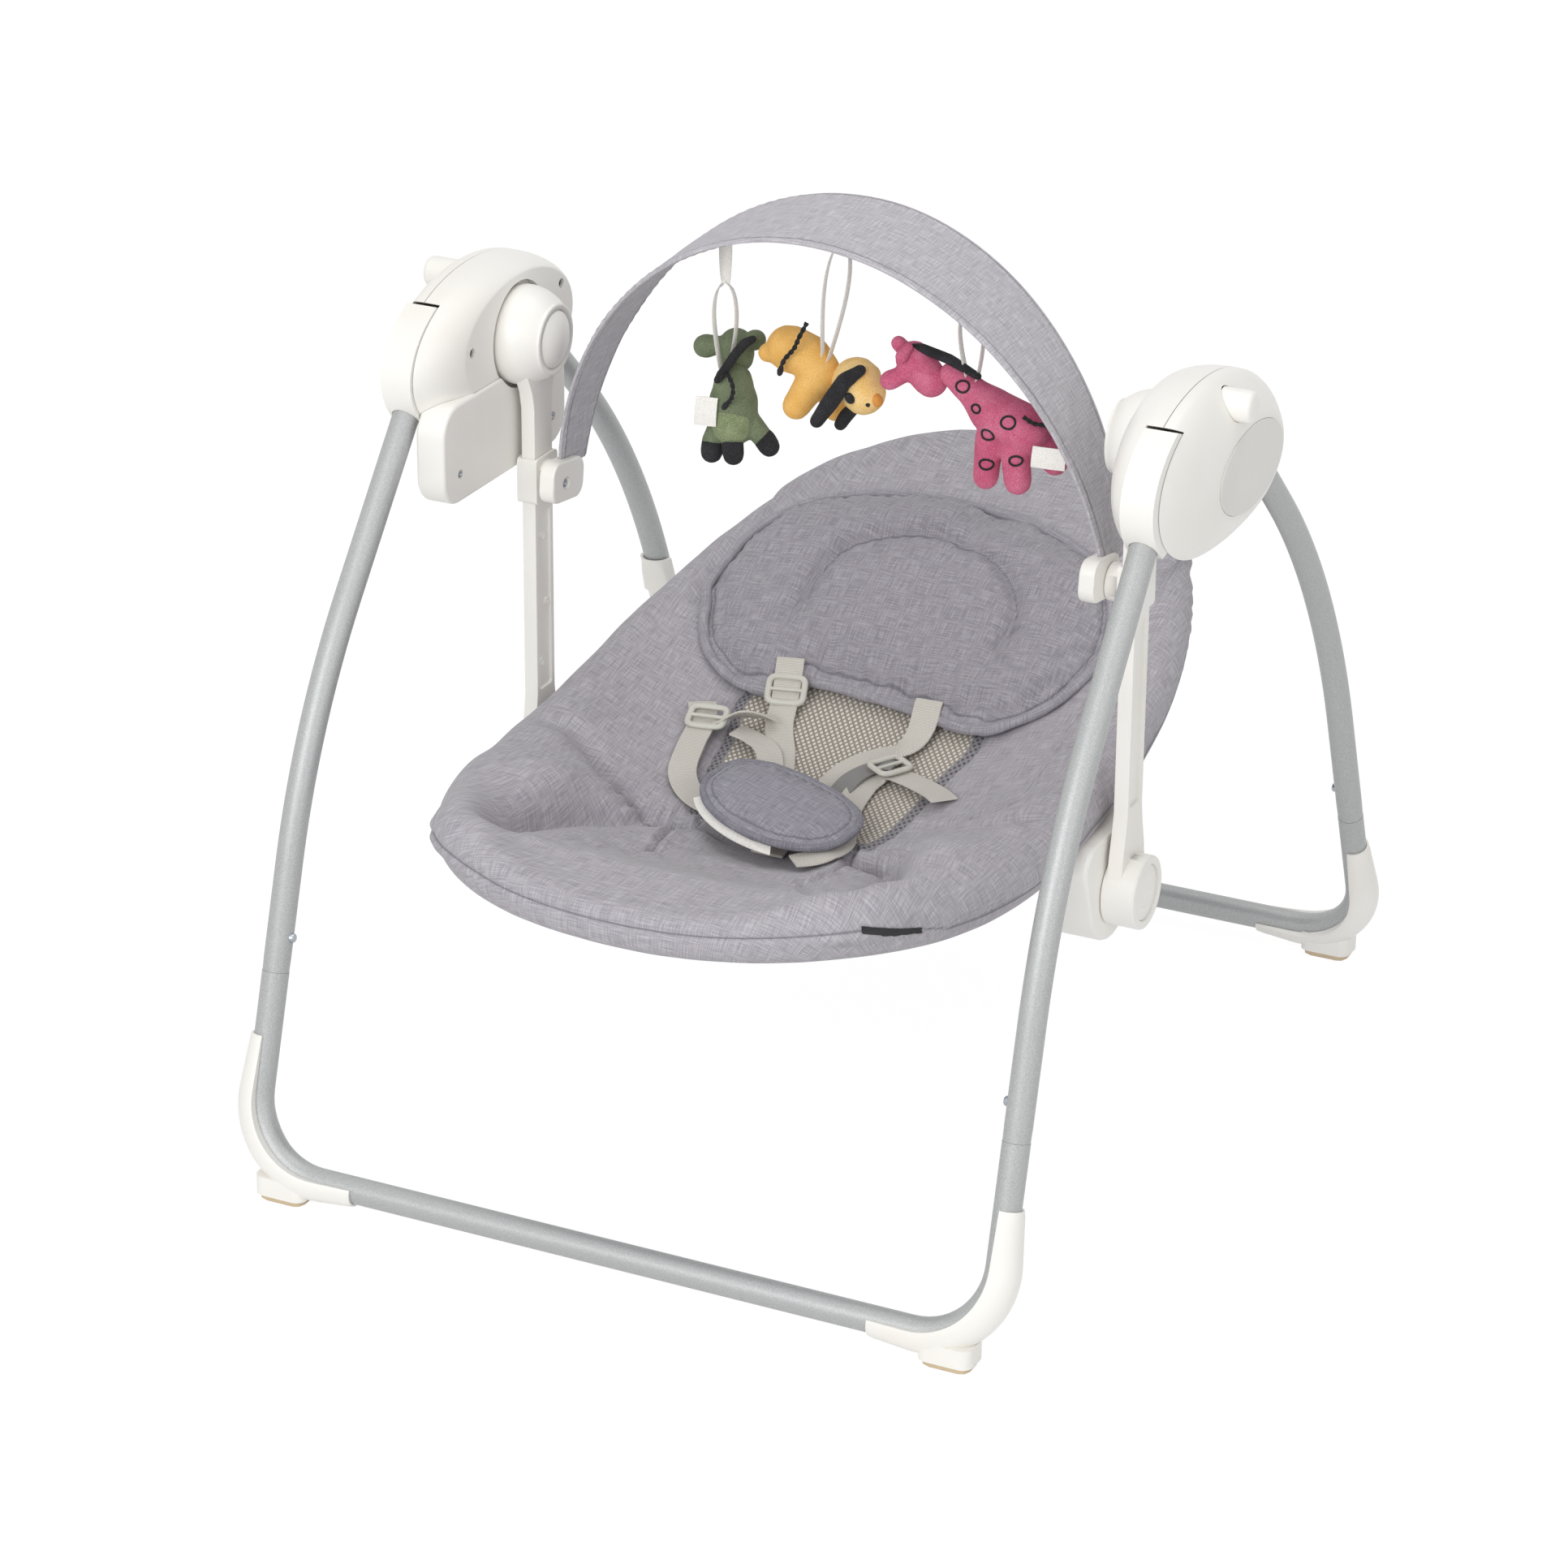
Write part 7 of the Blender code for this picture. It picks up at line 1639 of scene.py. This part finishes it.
BUCKLE_Z = 0.2306
shoulder_left, left_path = strap("shoulder_strap_left", (
    (-0.0650, 0.0580), (-0.0600, 0.0400), (-0.0545, 0.0180), (-0.0400, -0.0080), (-0.0270, -0.0420),
    (-0.0200, -0.0780)),
                                 ends=(None, BUCKLE_Z + 0.002))
shoulder_right, right_path = strap("shoulder_strap_right", (
    (0.0480, 0.0520), (0.0490, 0.0330), (0.0430, 0.0180), (0.0290, 0.0110), (0.0140, -0.0020),
    (0.0070, -0.0220), (0.0080, -0.0480), (0.0130, -0.0780)), ends=(None, BUCKLE_Z + 0.002))
strap("waist_strap_left", (
    (-0.1120, 0.0100), (-0.1030, -0.0080), (-0.0985, -0.0360), (-0.0900, -0.0640), (-0.0660, -0.0820),
    (-0.0250, -0.0880)),
      ends=(None, BUCKLE_Z - 0.001), clear=0.0020)
strap("waist_strap_right", (
    (0.1010, -0.0380), (0.0860, -0.0240), (0.0640, -0.0120), (0.0420, -0.0080), (0.0290, -0.0280),
    (0.0230, -0.0560), (0.0200, -0.0840)),
      ends=(None, BUCKLE_Z - 0.001))
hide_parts("harness_strap_left")
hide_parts("harness_strap_right")
strap("harness_link_left", ((-0.0960, -0.0030), (-0.0820, 0.0020), (-0.0700, 0.0080), (-0.0590, 0.0200)),
      width=0.0190, clear=0.0036, arch=0.007, twist=0.6)
strap("shoulder_ply_left",
      ((-0.0780, -0.0040), (-0.0620, -0.0060), (-0.0470, -0.0140), (-0.0340, -0.0400), (-0.0240, -0.0720)),
      width=0.0190, clear=0.0048, ends=(None, BUCKLE_Z + 0.006))
strap("shoulder_tail_right",
      ((0.0470, -0.0040), (0.0350, -0.0060), (0.0240, -0.0200), (0.0205, -0.0420), (0.0190, -0.0740)),
      width=0.0170, clear=0.0058, material=grey_webbing, ends=(None, BUCKLE_Z + 0.006), arch=0.002)
strap("waist_tail_right",
      ((0.0400, -0.0080), (0.0330, -0.0200), (0.0340, -0.0480), (0.0440, -0.0780), (0.0520, -0.1000),
       (0.0470, -0.1240), (0.0330, -0.1380)), width=0.0190, clear=0.0030, arch=0.004, twist=0.5)
print("harness points", len(left_path), len(right_path))

# %% Adjusters and buckle
SQUARED = 2 / 5.0    # power that makes a frame's outline nearly a rectangle


def frame_link(name, place, turn, tilt, size=(0.0310, 0.0250, 0.0040), bar=0.0048):
    """A moulded three-bar adjuster: a rounded frame with a middle bar, threaded on its strap."""
    w, l, t = size
    rings = []
    for i in range(96):
        a = 2 * math.pi * i / 96
        cx = bent(math.cos(a), SQUARED) * (w - bar) / 2
        cy = bent(math.sin(a), SQUARED) * (l - bar) / 2
        out = Vector((math.cos(a), math.sin(a), 0))
        rings.append([Vector((cx, cy, 0)) + out * (bar / 2) * math.cos(b) + Z_UP * t / 2 * math.sin(b)
                      for b in np.linspace(0, 2 * math.pi, 13)[:-1]])
    frame_part = solid(name, lofted(rings, closed=True), grey_acetal, 50)
    middle_bar = solid("bar", pipe([Vector((x, 0, 0.0004))
                                    for x in np.linspace(-(w - bar) / 2, (w - bar) / 2, 5)], 0.0014, Z_UP,
                                   16))
    carved(frame_part, [middle_bar])
    frame_part.data.transform(Matrix.Translation(place) @ Matrix.Rotation(turn, 4, "Z")
                              @ Matrix.Rotation(tilt, 4, "X"))
    fitted(frame_part, "seat", "grey_plastic")
    return frame_part


def on_path(path, share, rise=0.0022):
    i = int(share * (len(path) - 1))
    along = direction_at(path, i)
    return (path[i] + Vector((0, 0, rise)), math.atan2(along.y, along.x) - math.pi / 2,
            math.asin(max(-1, min(1, along.z))))


frame_link("adjuster_shoulder_left", *on_path(left_path, 0.13))
frame_link("adjuster_shoulder_right", Vector((0.0440, -0.0050, ground(0.044, -0.005) + 0.0100)),
           math.radians(62), 0.10, (0.0300, 0.0240, 0.0040))
frame_link("adjuster_waist_left", Vector((-0.1000, -0.0060, ground(-0.100, -0.006) + 0.0098)),
           math.radians(10), 0.36)
buckle = solid("harness_buckle", lofted([
    [Vector((a * s, CROTCH.y + 0.004 + b * s, BUCKLE_Z + z))
     for a, b in rounded_rectangle(0.040, 0.034, 0.008)]
    for z, s in ((-0.0050, 0.90), (-0.0044, 0.965), (-0.0030, 1.0), (0.0030, 1.0), (0.0044, 0.965),
                 (0.0050, 0.90))]), grey_acetal)
press = solid("buckle_press", lofted([
    [Vector((a, CROTCH.y + 0.004 + b, BUCKLE_Z + z)) for a, b in rounded_rectangle(0.016, 0.013, 0.004)]
    for z in (-0.0080, -0.0038)]))
carved(buckle, (), [press], 0.0004)
fitted(buckle, "seat", "grey_plastic", "buckle")
front_y = np.linspace(-0.084, -0.112, 30)
crotch_path = [Vector((0, y, max(ground(0, y) + 0.0020,
                                 BUCKLE_Z - 0.0070 - (BUCKLE_Z - 0.0070 - ground(0, -0.112) - 0.002)
                                 * ((-0.084 - y) / 0.028) ** 0.8))) for y in front_y]
run = run_of(crotch_path)
flat_shape = [(-0.0125, 0), (-0.0120, 0.0010), (0, 0.0012), (0.0120, 0.0010), (0.0125, 0), (0.0120, -0.0010),
              (0, -0.0012), (-0.0120, -0.0010)]
rings = []
for i, p in enumerate(crotch_path):
    up = X_OUT.cross(direction_at(crotch_path, i)).normalized()
    up = up if up.z > 0 else -up
    rings.append([p + X_OUT * a + up * b for a, b in flat_shape])
crotch_strap = solid("crotch_strap_webbing",
                     lofted(rings, uv=lambda r, c: (flat_shape[c % 8][0], run[min(r, 29)])), pale_webbing, 50)
fitted(crotch_strap, "seat", "webbing")
print("buckle", size_of(buckle))

# %% [markdown]
# ## Toy bar
# The toy bar is a bent strip in a sewn fabric sleeve. Its section is a thin lens, so the sleeve is a
# closed skin along the arch, with a seam near each edge and small puckers between the stitches.

# %% Band sleeve
band_cloth = pad_cloth("melange_toy_bar", "A6A3A9", "B9B6BC", "CFCCD2")
BAND_STEPS, BAND_SIDES = 300, 56
band_rings, band_uvs, arc = [], [], 0.0
angles = np.linspace(BAND_END, math.pi - BAND_END, BAND_STEPS)
for i, angle in enumerate(angles):
    centre_point, out, width = band_frame(angle)
    if i:
        arc += (band_centre(angle) - band_centre(angles[i - 1])).length
    ring, uvs = [], []
    for k in range(BAND_SIDES):
        t = 2 * math.pi * k / BAND_SIDES
        a = bent(math.cos(t), 0.55)
        b = bent(math.sin(t), 0.35)
        from_edge = width / 2 * (1 - abs(a))
        pucker = 0.00030 * math.sin(2 * math.pi * arc / 0.0085) * math.exp(-((from_edge - 0.007) / 0.004) ** 2)
        groove = -0.0007 * math.exp(-((from_edge - 0.0045) / 0.0011) ** 2)
        swell = 0.0007 * noise.noise(Vector((a * 1.4, b, arc / 0.050)))
        thick = BAND_HALF_T * b + math.copysign(pucker + groove + swell, b) * min(1.0, abs(b) * 1.5)
        ring.append(centre_point + BAND_ACROSS * width / 2 * a + out * thick)
        uvs.append((width / 2 * a + (0.2 if b < 0 else 0.0), arc))
    band_rings.append(ring)
    band_uvs.append(uvs)
band = solid("toy_bar_sleeve",
             lofted(band_rings, uv=lambda r, c: band_uvs[min(r, BAND_STEPS - 1)][c % BAND_SIDES]),
             band_cloth, 60)
points = points_of(band)
across = points @ np.array(BAND_ACROSS) - float(band_centre(0.0).dot(BAND_ACROSS))
rise = np.clip((points[:, 2] - BAR_Z) / math.cos(BAR_LEAN) / BAR_H, 0, 1)
attribute(band, "seam", np.abs(0.5 * (BAND_NARROW + BAND_SWELL * rise) - np.abs(across) - 0.0045))
fitted(band, "toy_bar", "seat_fabric", "toy_bar_band")
print("sleeve", len(band.data.vertices), size_of(band))

# %% [markdown]
# ## Plush toys
# Three small stuffed animals hang on ribbons: a donkey, a puppy and a giraffe. Each is built like a
# sewn toy, from swelling limbs joined into one skin by a fine remesh and then smoothed, which rounds
# the joins as stuffing does. Manes, ears, hooves and tags are pieces of their own.

# %% Limbs and heads
TOY_Y = -0.0160
TOY_SLOTS = {"donkey": "green_plush", "puppy": "yellow_plush", "giraffe": "pink_plush"}
TOYS = {
    "donkey": dict(ribbon=-0.0815, strip=0.034, neck=(-0.0790, -0.0050, 0.524), body=[
        ([(-0.0750, 0, 0.521), (-0.0750, 0, 0.508), (-0.0742, 0, 0.493)], (0.0140, 0.0172, 0.0165)),
        ([(-0.0830, -0.004, 0.491), (-0.0890, -0.005, 0.477)], (0.0080, 0.0076)),
        ([(-0.0720, -0.007, 0.490), (-0.0712, -0.009, 0.479)], (0.0082, 0.0074)),
        ([(-0.0640, 0.003, 0.494), (-0.0540, 0.005, 0.482)], (0.0080, 0.0074))], head=[
        ([(-0.0790, 0.012, 0.5440), (-0.0785, 0.012, 0.5370)], (0.0125, 0.0125)),
        ([(-0.0880, 0.010, 0.5440), (-0.1015, 0.009, 0.5410)], (0.0060, 0.0085)),
        ([(-0.0720, 0.012, 0.5470), (-0.0640, 0.012, 0.5505)], (0.0060, 0.0075))]),
    "puppy": dict(ribbon=0.0093, strip=0.011, neck=(-0.0030, -0.0050, 0.546), body=[
        ([(-0.0320, 0, 0.5530), (-0.0180, 0, 0.5500), (-0.0080, 0, 0.5390)], (0.0165, 0.0155, 0.0145)),
        ([(-0.0360, -0.002, 0.5520), (-0.0465, -0.004, 0.5490)], (0.0110, 0.0070)),
        ([(-0.0120, -0.003, 0.5340), (-0.0235, -0.006, 0.5150)], (0.0120, 0.0100)),
        ([(-0.0060, 0.008, 0.5300), (-0.0020, 0.011, 0.5110)], (0.0110, 0.0090))], head=[
        ([(0.0190, 0.001, 0.5360), (0.0245, -0.001, 0.5310)], (0.0180, 0.0160))]),
    "giraffe": dict(ribbon=0.1025, strip=0.009, neck=(0.1070, -0.0030, 0.545), body=[
        ([(0.0900, 0, 0.5540), (0.1030, 0, 0.5460), (0.1220, 0, 0.5320), (0.1460, 0, 0.5230)],
         (0.0085, 0.0105, 0.0165, 0.0175)),
        ([(0.1210, -0.004, 0.5160), (0.1200, -0.007, 0.4880)], (0.0100, 0.0090)),
        ([(0.1400, -0.005, 0.5130), (0.1440, -0.008, 0.4890)], (0.0105, 0.0096)),
        ([(0.1540, 0.006, 0.5180), (0.1640, 0.008, 0.5010)], (0.0110, 0.0095))], head=[
        ([(0.0620, 0, 0.5600), (0.0745, 0, 0.5475)], (0.0130, 0.0122)),
        ([(0.0580, -0.0040, 0.5660), (0.0530, -0.0060, 0.5720)], (0.0050, 0.0055)),
        ([(0.0590, -0.0080, 0.5520), (0.0490, -0.0110, 0.5465)], (0.0060, 0.0070))]),
}


def toy_point(x, y, z):
    return Vector((x, TOY_Y + y, z))


def limb(points, radii, sides=20):
    """A stuffed limb: round sections between swelling radii, with domed ends."""
    path, sizes = [toy_point(*p) for p in points], list(radii)
    fine, widths = [], []
    for (a, b), (r, s) in zip(zip(path, path[1:]), zip(sizes, sizes[1:])):
        for t in np.arange(5) / 5:
            fine.append(a.lerp(b, t))
            widths.append(r + (s - r) * (3 * t * t - 2 * t**3))
    fine.append(path[-1])
    widths.append(sizes[-1])
    first, last = (path[0] - path[1]).normalized(), (path[-1] - path[-2]).normalized()
    caps = [0.30, 0.60, 0.85]
    start = [(path[0] + first * sizes[0] * math.sqrt(1 - c * c), sizes[0] * c) for c in caps]
    stop = [(path[-1] + last * sizes[-1] * math.sqrt(1 - c * c), sizes[-1] * c) for c in reversed(caps)]
    nodes_at = start + list(zip(fine, widths)) + stop
    centres = [path[0] + first * sizes[0]] + [p for p, _ in nodes_at] + [path[-1] + last * sizes[-1]]
    rings = [[centres[0]]]
    for i, (p, r) in enumerate(nodes_at):
        along = (centres[i + 2] - centres[i]).normalized()
        up = Vector((0, 1, 0)) if abs(along.y) < 0.8 else X_OUT
        side = (up - along * up.dot(along)).normalized()
        across = along.cross(side)
        rings.append([p + side * a + across * b for a, b in circle(r, sides)])
    return lofted(rings + [[centres[-1]]])


def stuffed(name, parts, material, voxel=0.0012):
    """Join limbs into one sewn skin."""
    meshes = [solid(f"{name}_part", limb(*part)) for part in parts]
    body = meshes[0]
    joined = bmesh.new()
    for part in meshes:
        joined.from_mesh(part.data)
    for part in meshes[1:]:
        bpy.data.objects.remove(part, do_unlink=True)
    joined.to_mesh(body.data)
    joined.free()
    body.name = name
    remeshed(body, voxel)
    smoothed(body, 7, 0.6)
    return dressed(body, material)


def lump(name, material, route, radii):
    """One small stuffed piece; its name begins with its toy's."""
    toy = name.split("_")[0]
    fitted(stuffed(name, [(route, radii)], material, 0.0010), toy, TOY_SLOTS[toy])


for toy, shape in TOYS.items():
    slot_name = TOY_SLOTS[toy]
    body = stuffed(f"{toy}_plush_body", shape["body"], PLUSH[toy])
    head = stuffed(f"{toy}_plush_head", shape["head"], pale_plush[toy] if toy == "puppy" else PLUSH[toy])
    fitted(body, toy, slot_name, f"{toy}_body")
    fitted(head, toy, slot_name, f"{toy}_head")
    print(toy, size_of(body))

# %% Rumps, manes, ears, hooves and tails
# they stand on the front of the coat; depths are from the toy's own middle plane
for name, material, route, radii in (
    ("donkey_rump", pale_plush["donkey"], [(-0.0742, -0.0035, 0.4990), (-0.0738, -0.0040, 0.4930)],
     (0.0152, 0.0150)),
    ("donkey_mane", black_felt,
     [(-0.0594, -0.0020, 0.5560), (-0.0640, -0.0050, 0.5531), (-0.0690, -0.0090, 0.5459),
      (-0.0760, -0.0140, 0.5330), (-0.0800, -0.0150, 0.5270)], (0.0030, 0.0036, 0.0036, 0.0034, 0.0028)),
):
    lump(name, material, route, radii)
for n, part in enumerate((
        ([(-0.0880, -0.0050, 0.4770), (-0.0890, -0.0054, 0.4700)], (0.0082, 0.0080)),
        ([(-0.0710, -0.0092, 0.4800), (-0.0700, -0.0098, 0.4725)], (0.0078, 0.0076)),
        ([(-0.0535, 0.0050, 0.4820), (-0.0500, 0.0056, 0.4770)], (0.0078, 0.0076)))):
    lump(f"donkey_hoof_{n}", black_felt, *part)
for name, material, route, radii in (
    ("puppy_ear_left", black_felt,
     [(0.0268, -0.0110, 0.5500), (0.0180, -0.0175, 0.5430), (0.0094, -0.0200, 0.5281),
      (-0.0010, -0.0205, 0.5120)], (0.0042, 0.0058, 0.0062, 0.0050)),
    ("puppy_ear_right", black_felt,
     [(0.0230, -0.0030, 0.5250), (0.0150, -0.0090, 0.5140), (0.0120, -0.0100, 0.5085)],
     (0.0046, 0.0050, 0.0046)),
    ("puppy_eye_patch", black_felt, [(0.0214, -0.0170, 0.5318), (0.0226, -0.0170, 0.5302)], (0.0034, 0.0034)),
    ("puppy_eye", black_felt, [(0.0330, -0.0125, 0.5274), (0.0336, -0.0125, 0.5268)], (0.0020, 0.0020)),
    ("puppy_nose_patch", orange_felt, [(0.0375, -0.0080, 0.5306), (0.0385, -0.0070, 0.5280)],
     (0.0040, 0.0040)),
    ("giraffe_mane", black_felt,
     [(0.0560, -0.0030, 0.5690), (0.0695, -0.0030, 0.5700), (0.0896, -0.0030, 0.5655),
      (0.1110, -0.0035, 0.5570)], (0.0028, 0.0036, 0.0038, 0.0028)),
    ("giraffe_ear", PLUSH["giraffe"], [(0.0620, -0.0100, 0.5720), (0.0590, -0.0140, 0.5660)],
     (0.0034, 0.0046)),
):
    lump(name, material, route, radii)


def tail_on(toy, points, radius):
    """A short twisted cord: two strands wound round each other."""
    line = smooth_line(points, 12)
    path = [toy_point(*p) for p in line]
    for phase in (0.0, math.pi):
        strand, run = [], 0.0
        for i, p in enumerate(path):
            if i:
                run += (p - path[i - 1]).length
            along = direction_at(path, i)
            side = along.cross(Vector((0, 1, 0.01))).normalized()
            up = side.cross(along)
            turn = run / (radius * 3.2) * 2 * math.pi * 0.5 + phase
            strand.append(p + side * radius * 0.55 * math.cos(turn) + up * radius * 0.55 * math.sin(turn))
        piece = solid(f"{toy}_tail_{'ab'[phase > 0]}", pipe(strand, radius * 0.62, Vector((0, 1, 0.01)), 10),
                      black_felt)
        fitted(piece, toy, TOY_SLOTS[toy])


tail_on("donkey", ((-0.0720, -0.0160, 0.5330), (-0.0665, -0.0200, 0.5290), (-0.0645, -0.0215, 0.5235),
                   (-0.0665, -0.0205, 0.5170), (-0.0725, -0.0175, 0.5105)), 0.0015)
tail_on("puppy", ((-0.0120, -0.0150, 0.5790), (-0.0150, -0.0200, 0.5700), (-0.0190, -0.0200, 0.5610),
                  (-0.0260, -0.0205, 0.5520), (-0.0290, -0.0205, 0.5440)), 0.0015)
tail_on("giraffe", ((0.1500, -0.0150, 0.5380), (0.1570, -0.0155, 0.5350), (0.1640, -0.0150, 0.5345),
                    (0.1700, -0.0130, 0.5330)), 0.0014)
for name, material, route, radii in (
    ("puppy_tail_knot", black_felt, [(-0.0290, -0.0205, 0.5440), (-0.0296, -0.0203, 0.5415)],
     (0.0026, 0.0022)),
    ("giraffe_tail_knot", black_felt, [(0.1695, -0.0132, 0.5331), (0.1718, -0.0128, 0.5325)],
     (0.0025, 0.0021)),
    ("donkey_tail_knot", black_felt, [(-0.0722, -0.0176, 0.5108), (-0.0740, -0.0172, 0.5085)],
     (0.0025, 0.0021)),
):
    lump(name, material, route, radii)


# %% Ring spots on the giraffe, and plain tags
def spot(name, place, size):
    """A ring stitched on the coat: a thin loop that lies on the nearest surface."""
    surface = tree_of(bpy.data.objects["giraffe_plush_body"])
    loop = []
    for i in range(28):
        a = 2 * math.pi * i / 28
        p = Vector((place[0] + size * math.cos(a), -0.06, place[1] + size * 0.8 * math.sin(a)))
        hit = surface.ray_cast(p, Vector((0, 1, 0)))
        if not hit[0]:
            return
        loop.append(hit[0] + hit[1] * 0.0002)
    rings = []
    for i, p in enumerate(loop):
        along = (loop[(i + 1) % 28] - loop[i - 1]).normalized()
        side = along.cross(Vector((0, 1, 0))).normalized()
        up = side.cross(along)
        rings.append([p + side * a + up * b for a, b in circle(0.0008, 8)])
    fitted(solid(name, lofted(rings, closed=True), black_felt), "giraffe", "pink_plush")


for n, (place, size) in enumerate((((0.1023, 0.5500), 0.0046), ((0.1147, 0.5378), 0.0034),
                                   ((0.1391, 0.5323), 0.0050), ((0.1235, 0.5207), 0.0048),
                                   ((0.1231, 0.4995), 0.0044), ((0.1450, 0.5060), 0.0040))):
    spot(f"giraffe_spot_{n}", place, size)


def tag(name, toy, top, size, turn):
    """A folded satin label: one thin closed strip that hangs from the seam and curls a little."""
    w, h = size
    rings = []
    for t in np.linspace(0, 1, 12):
        mid = toy_point(*top) + Vector((0, -0.0030 * math.sin(1.6 * t), -h * t))
        side = Vector((math.cos(turn), math.sin(turn) * 0.5, 0)).normalized()
        rings.append([mid - side * w / 2, mid - Vector((0, 0.0005, 0)), mid + side * w / 2,
                      mid + Vector((0, 0.0005, 0))])
    obj = solid(name, lofted(rings), ribbon_satin, 60)
    fitted(obj, toy, TOY_SLOTS[toy])


tag("donkey_tag", "donkey", (-0.0860, -0.0190, 0.5150), (0.0160, 0.0200), 0.3)
tag("giraffe_tag", "giraffe", (0.1690, -0.0130, 0.5185), (0.0240, 0.0140), 0.2)


# %% Ribbons
def band_underside(x):
    share = x / BAR_W
    rise = BAR_H * math.sqrt(1 - share * share)
    slope = math.atan2(BAR_H * share, BAR_W * math.sqrt(1 - share * share))
    drop = BAND_HALF_T / math.cos(slope) + 0.0008
    return BAR_Y + rise * math.sin(BAR_LEAN), BAR_Z + rise * math.cos(BAR_LEAN) - drop


for toy, shape in TOYS.items():
    x = shape["ribbon"]
    top_y, top_z = band_underside(x)
    low = toy_point(*shape["neck"])
    top = Vector((x, top_y, top_z - 0.0006))
    knot = top.lerp(low, min(shape["strip"] / (top - low).length, 0.6))
    slot_name = TOY_SLOTS[toy]
    for sign in (-1, 1):
        rings = []
        for t in np.linspace(0, 1, 26):
            p = knot.lerp(low, t) + Vector((sign * (0.0076 * math.sin(math.pi * t**0.62) ** 0.9 + 0.0007),
                                            sign * 0.0008, 0))
            rings.append([p + Vector((0.0005 * a, 0.0028 * b, 0)) + Vector((0, 0, -0.0012 * b * sign))
                          for a, b in ((-1, 0), (-1, -0.8), (0, -1), (1, -0.8), (1, 0), (1, 0.8), (0, 1),
                                       (-1, 0.8))])
        fitted(solid(f"{toy}_ribbon_strand_{sign + 1}", lofted(rings), ribbon_satin, 60), toy, slot_name)
    rings = []
    for t in np.linspace(0, 1, 10):
        p, k = top.lerp(knot, t), 0.0052 * (1 - 0.35 * t**3)
        rings.append([p + Vector((a * k, b * 0.0007, 0))
                      for a, b in ((-1, 0), (-0.9, -1), (0.9, -1), (1, 0), (0.9, 1), (-0.9, 1))])
    fitted(solid(f"{toy}_ribbon_top", lofted(rings), ribbon_satin, 60), toy, slot_name)
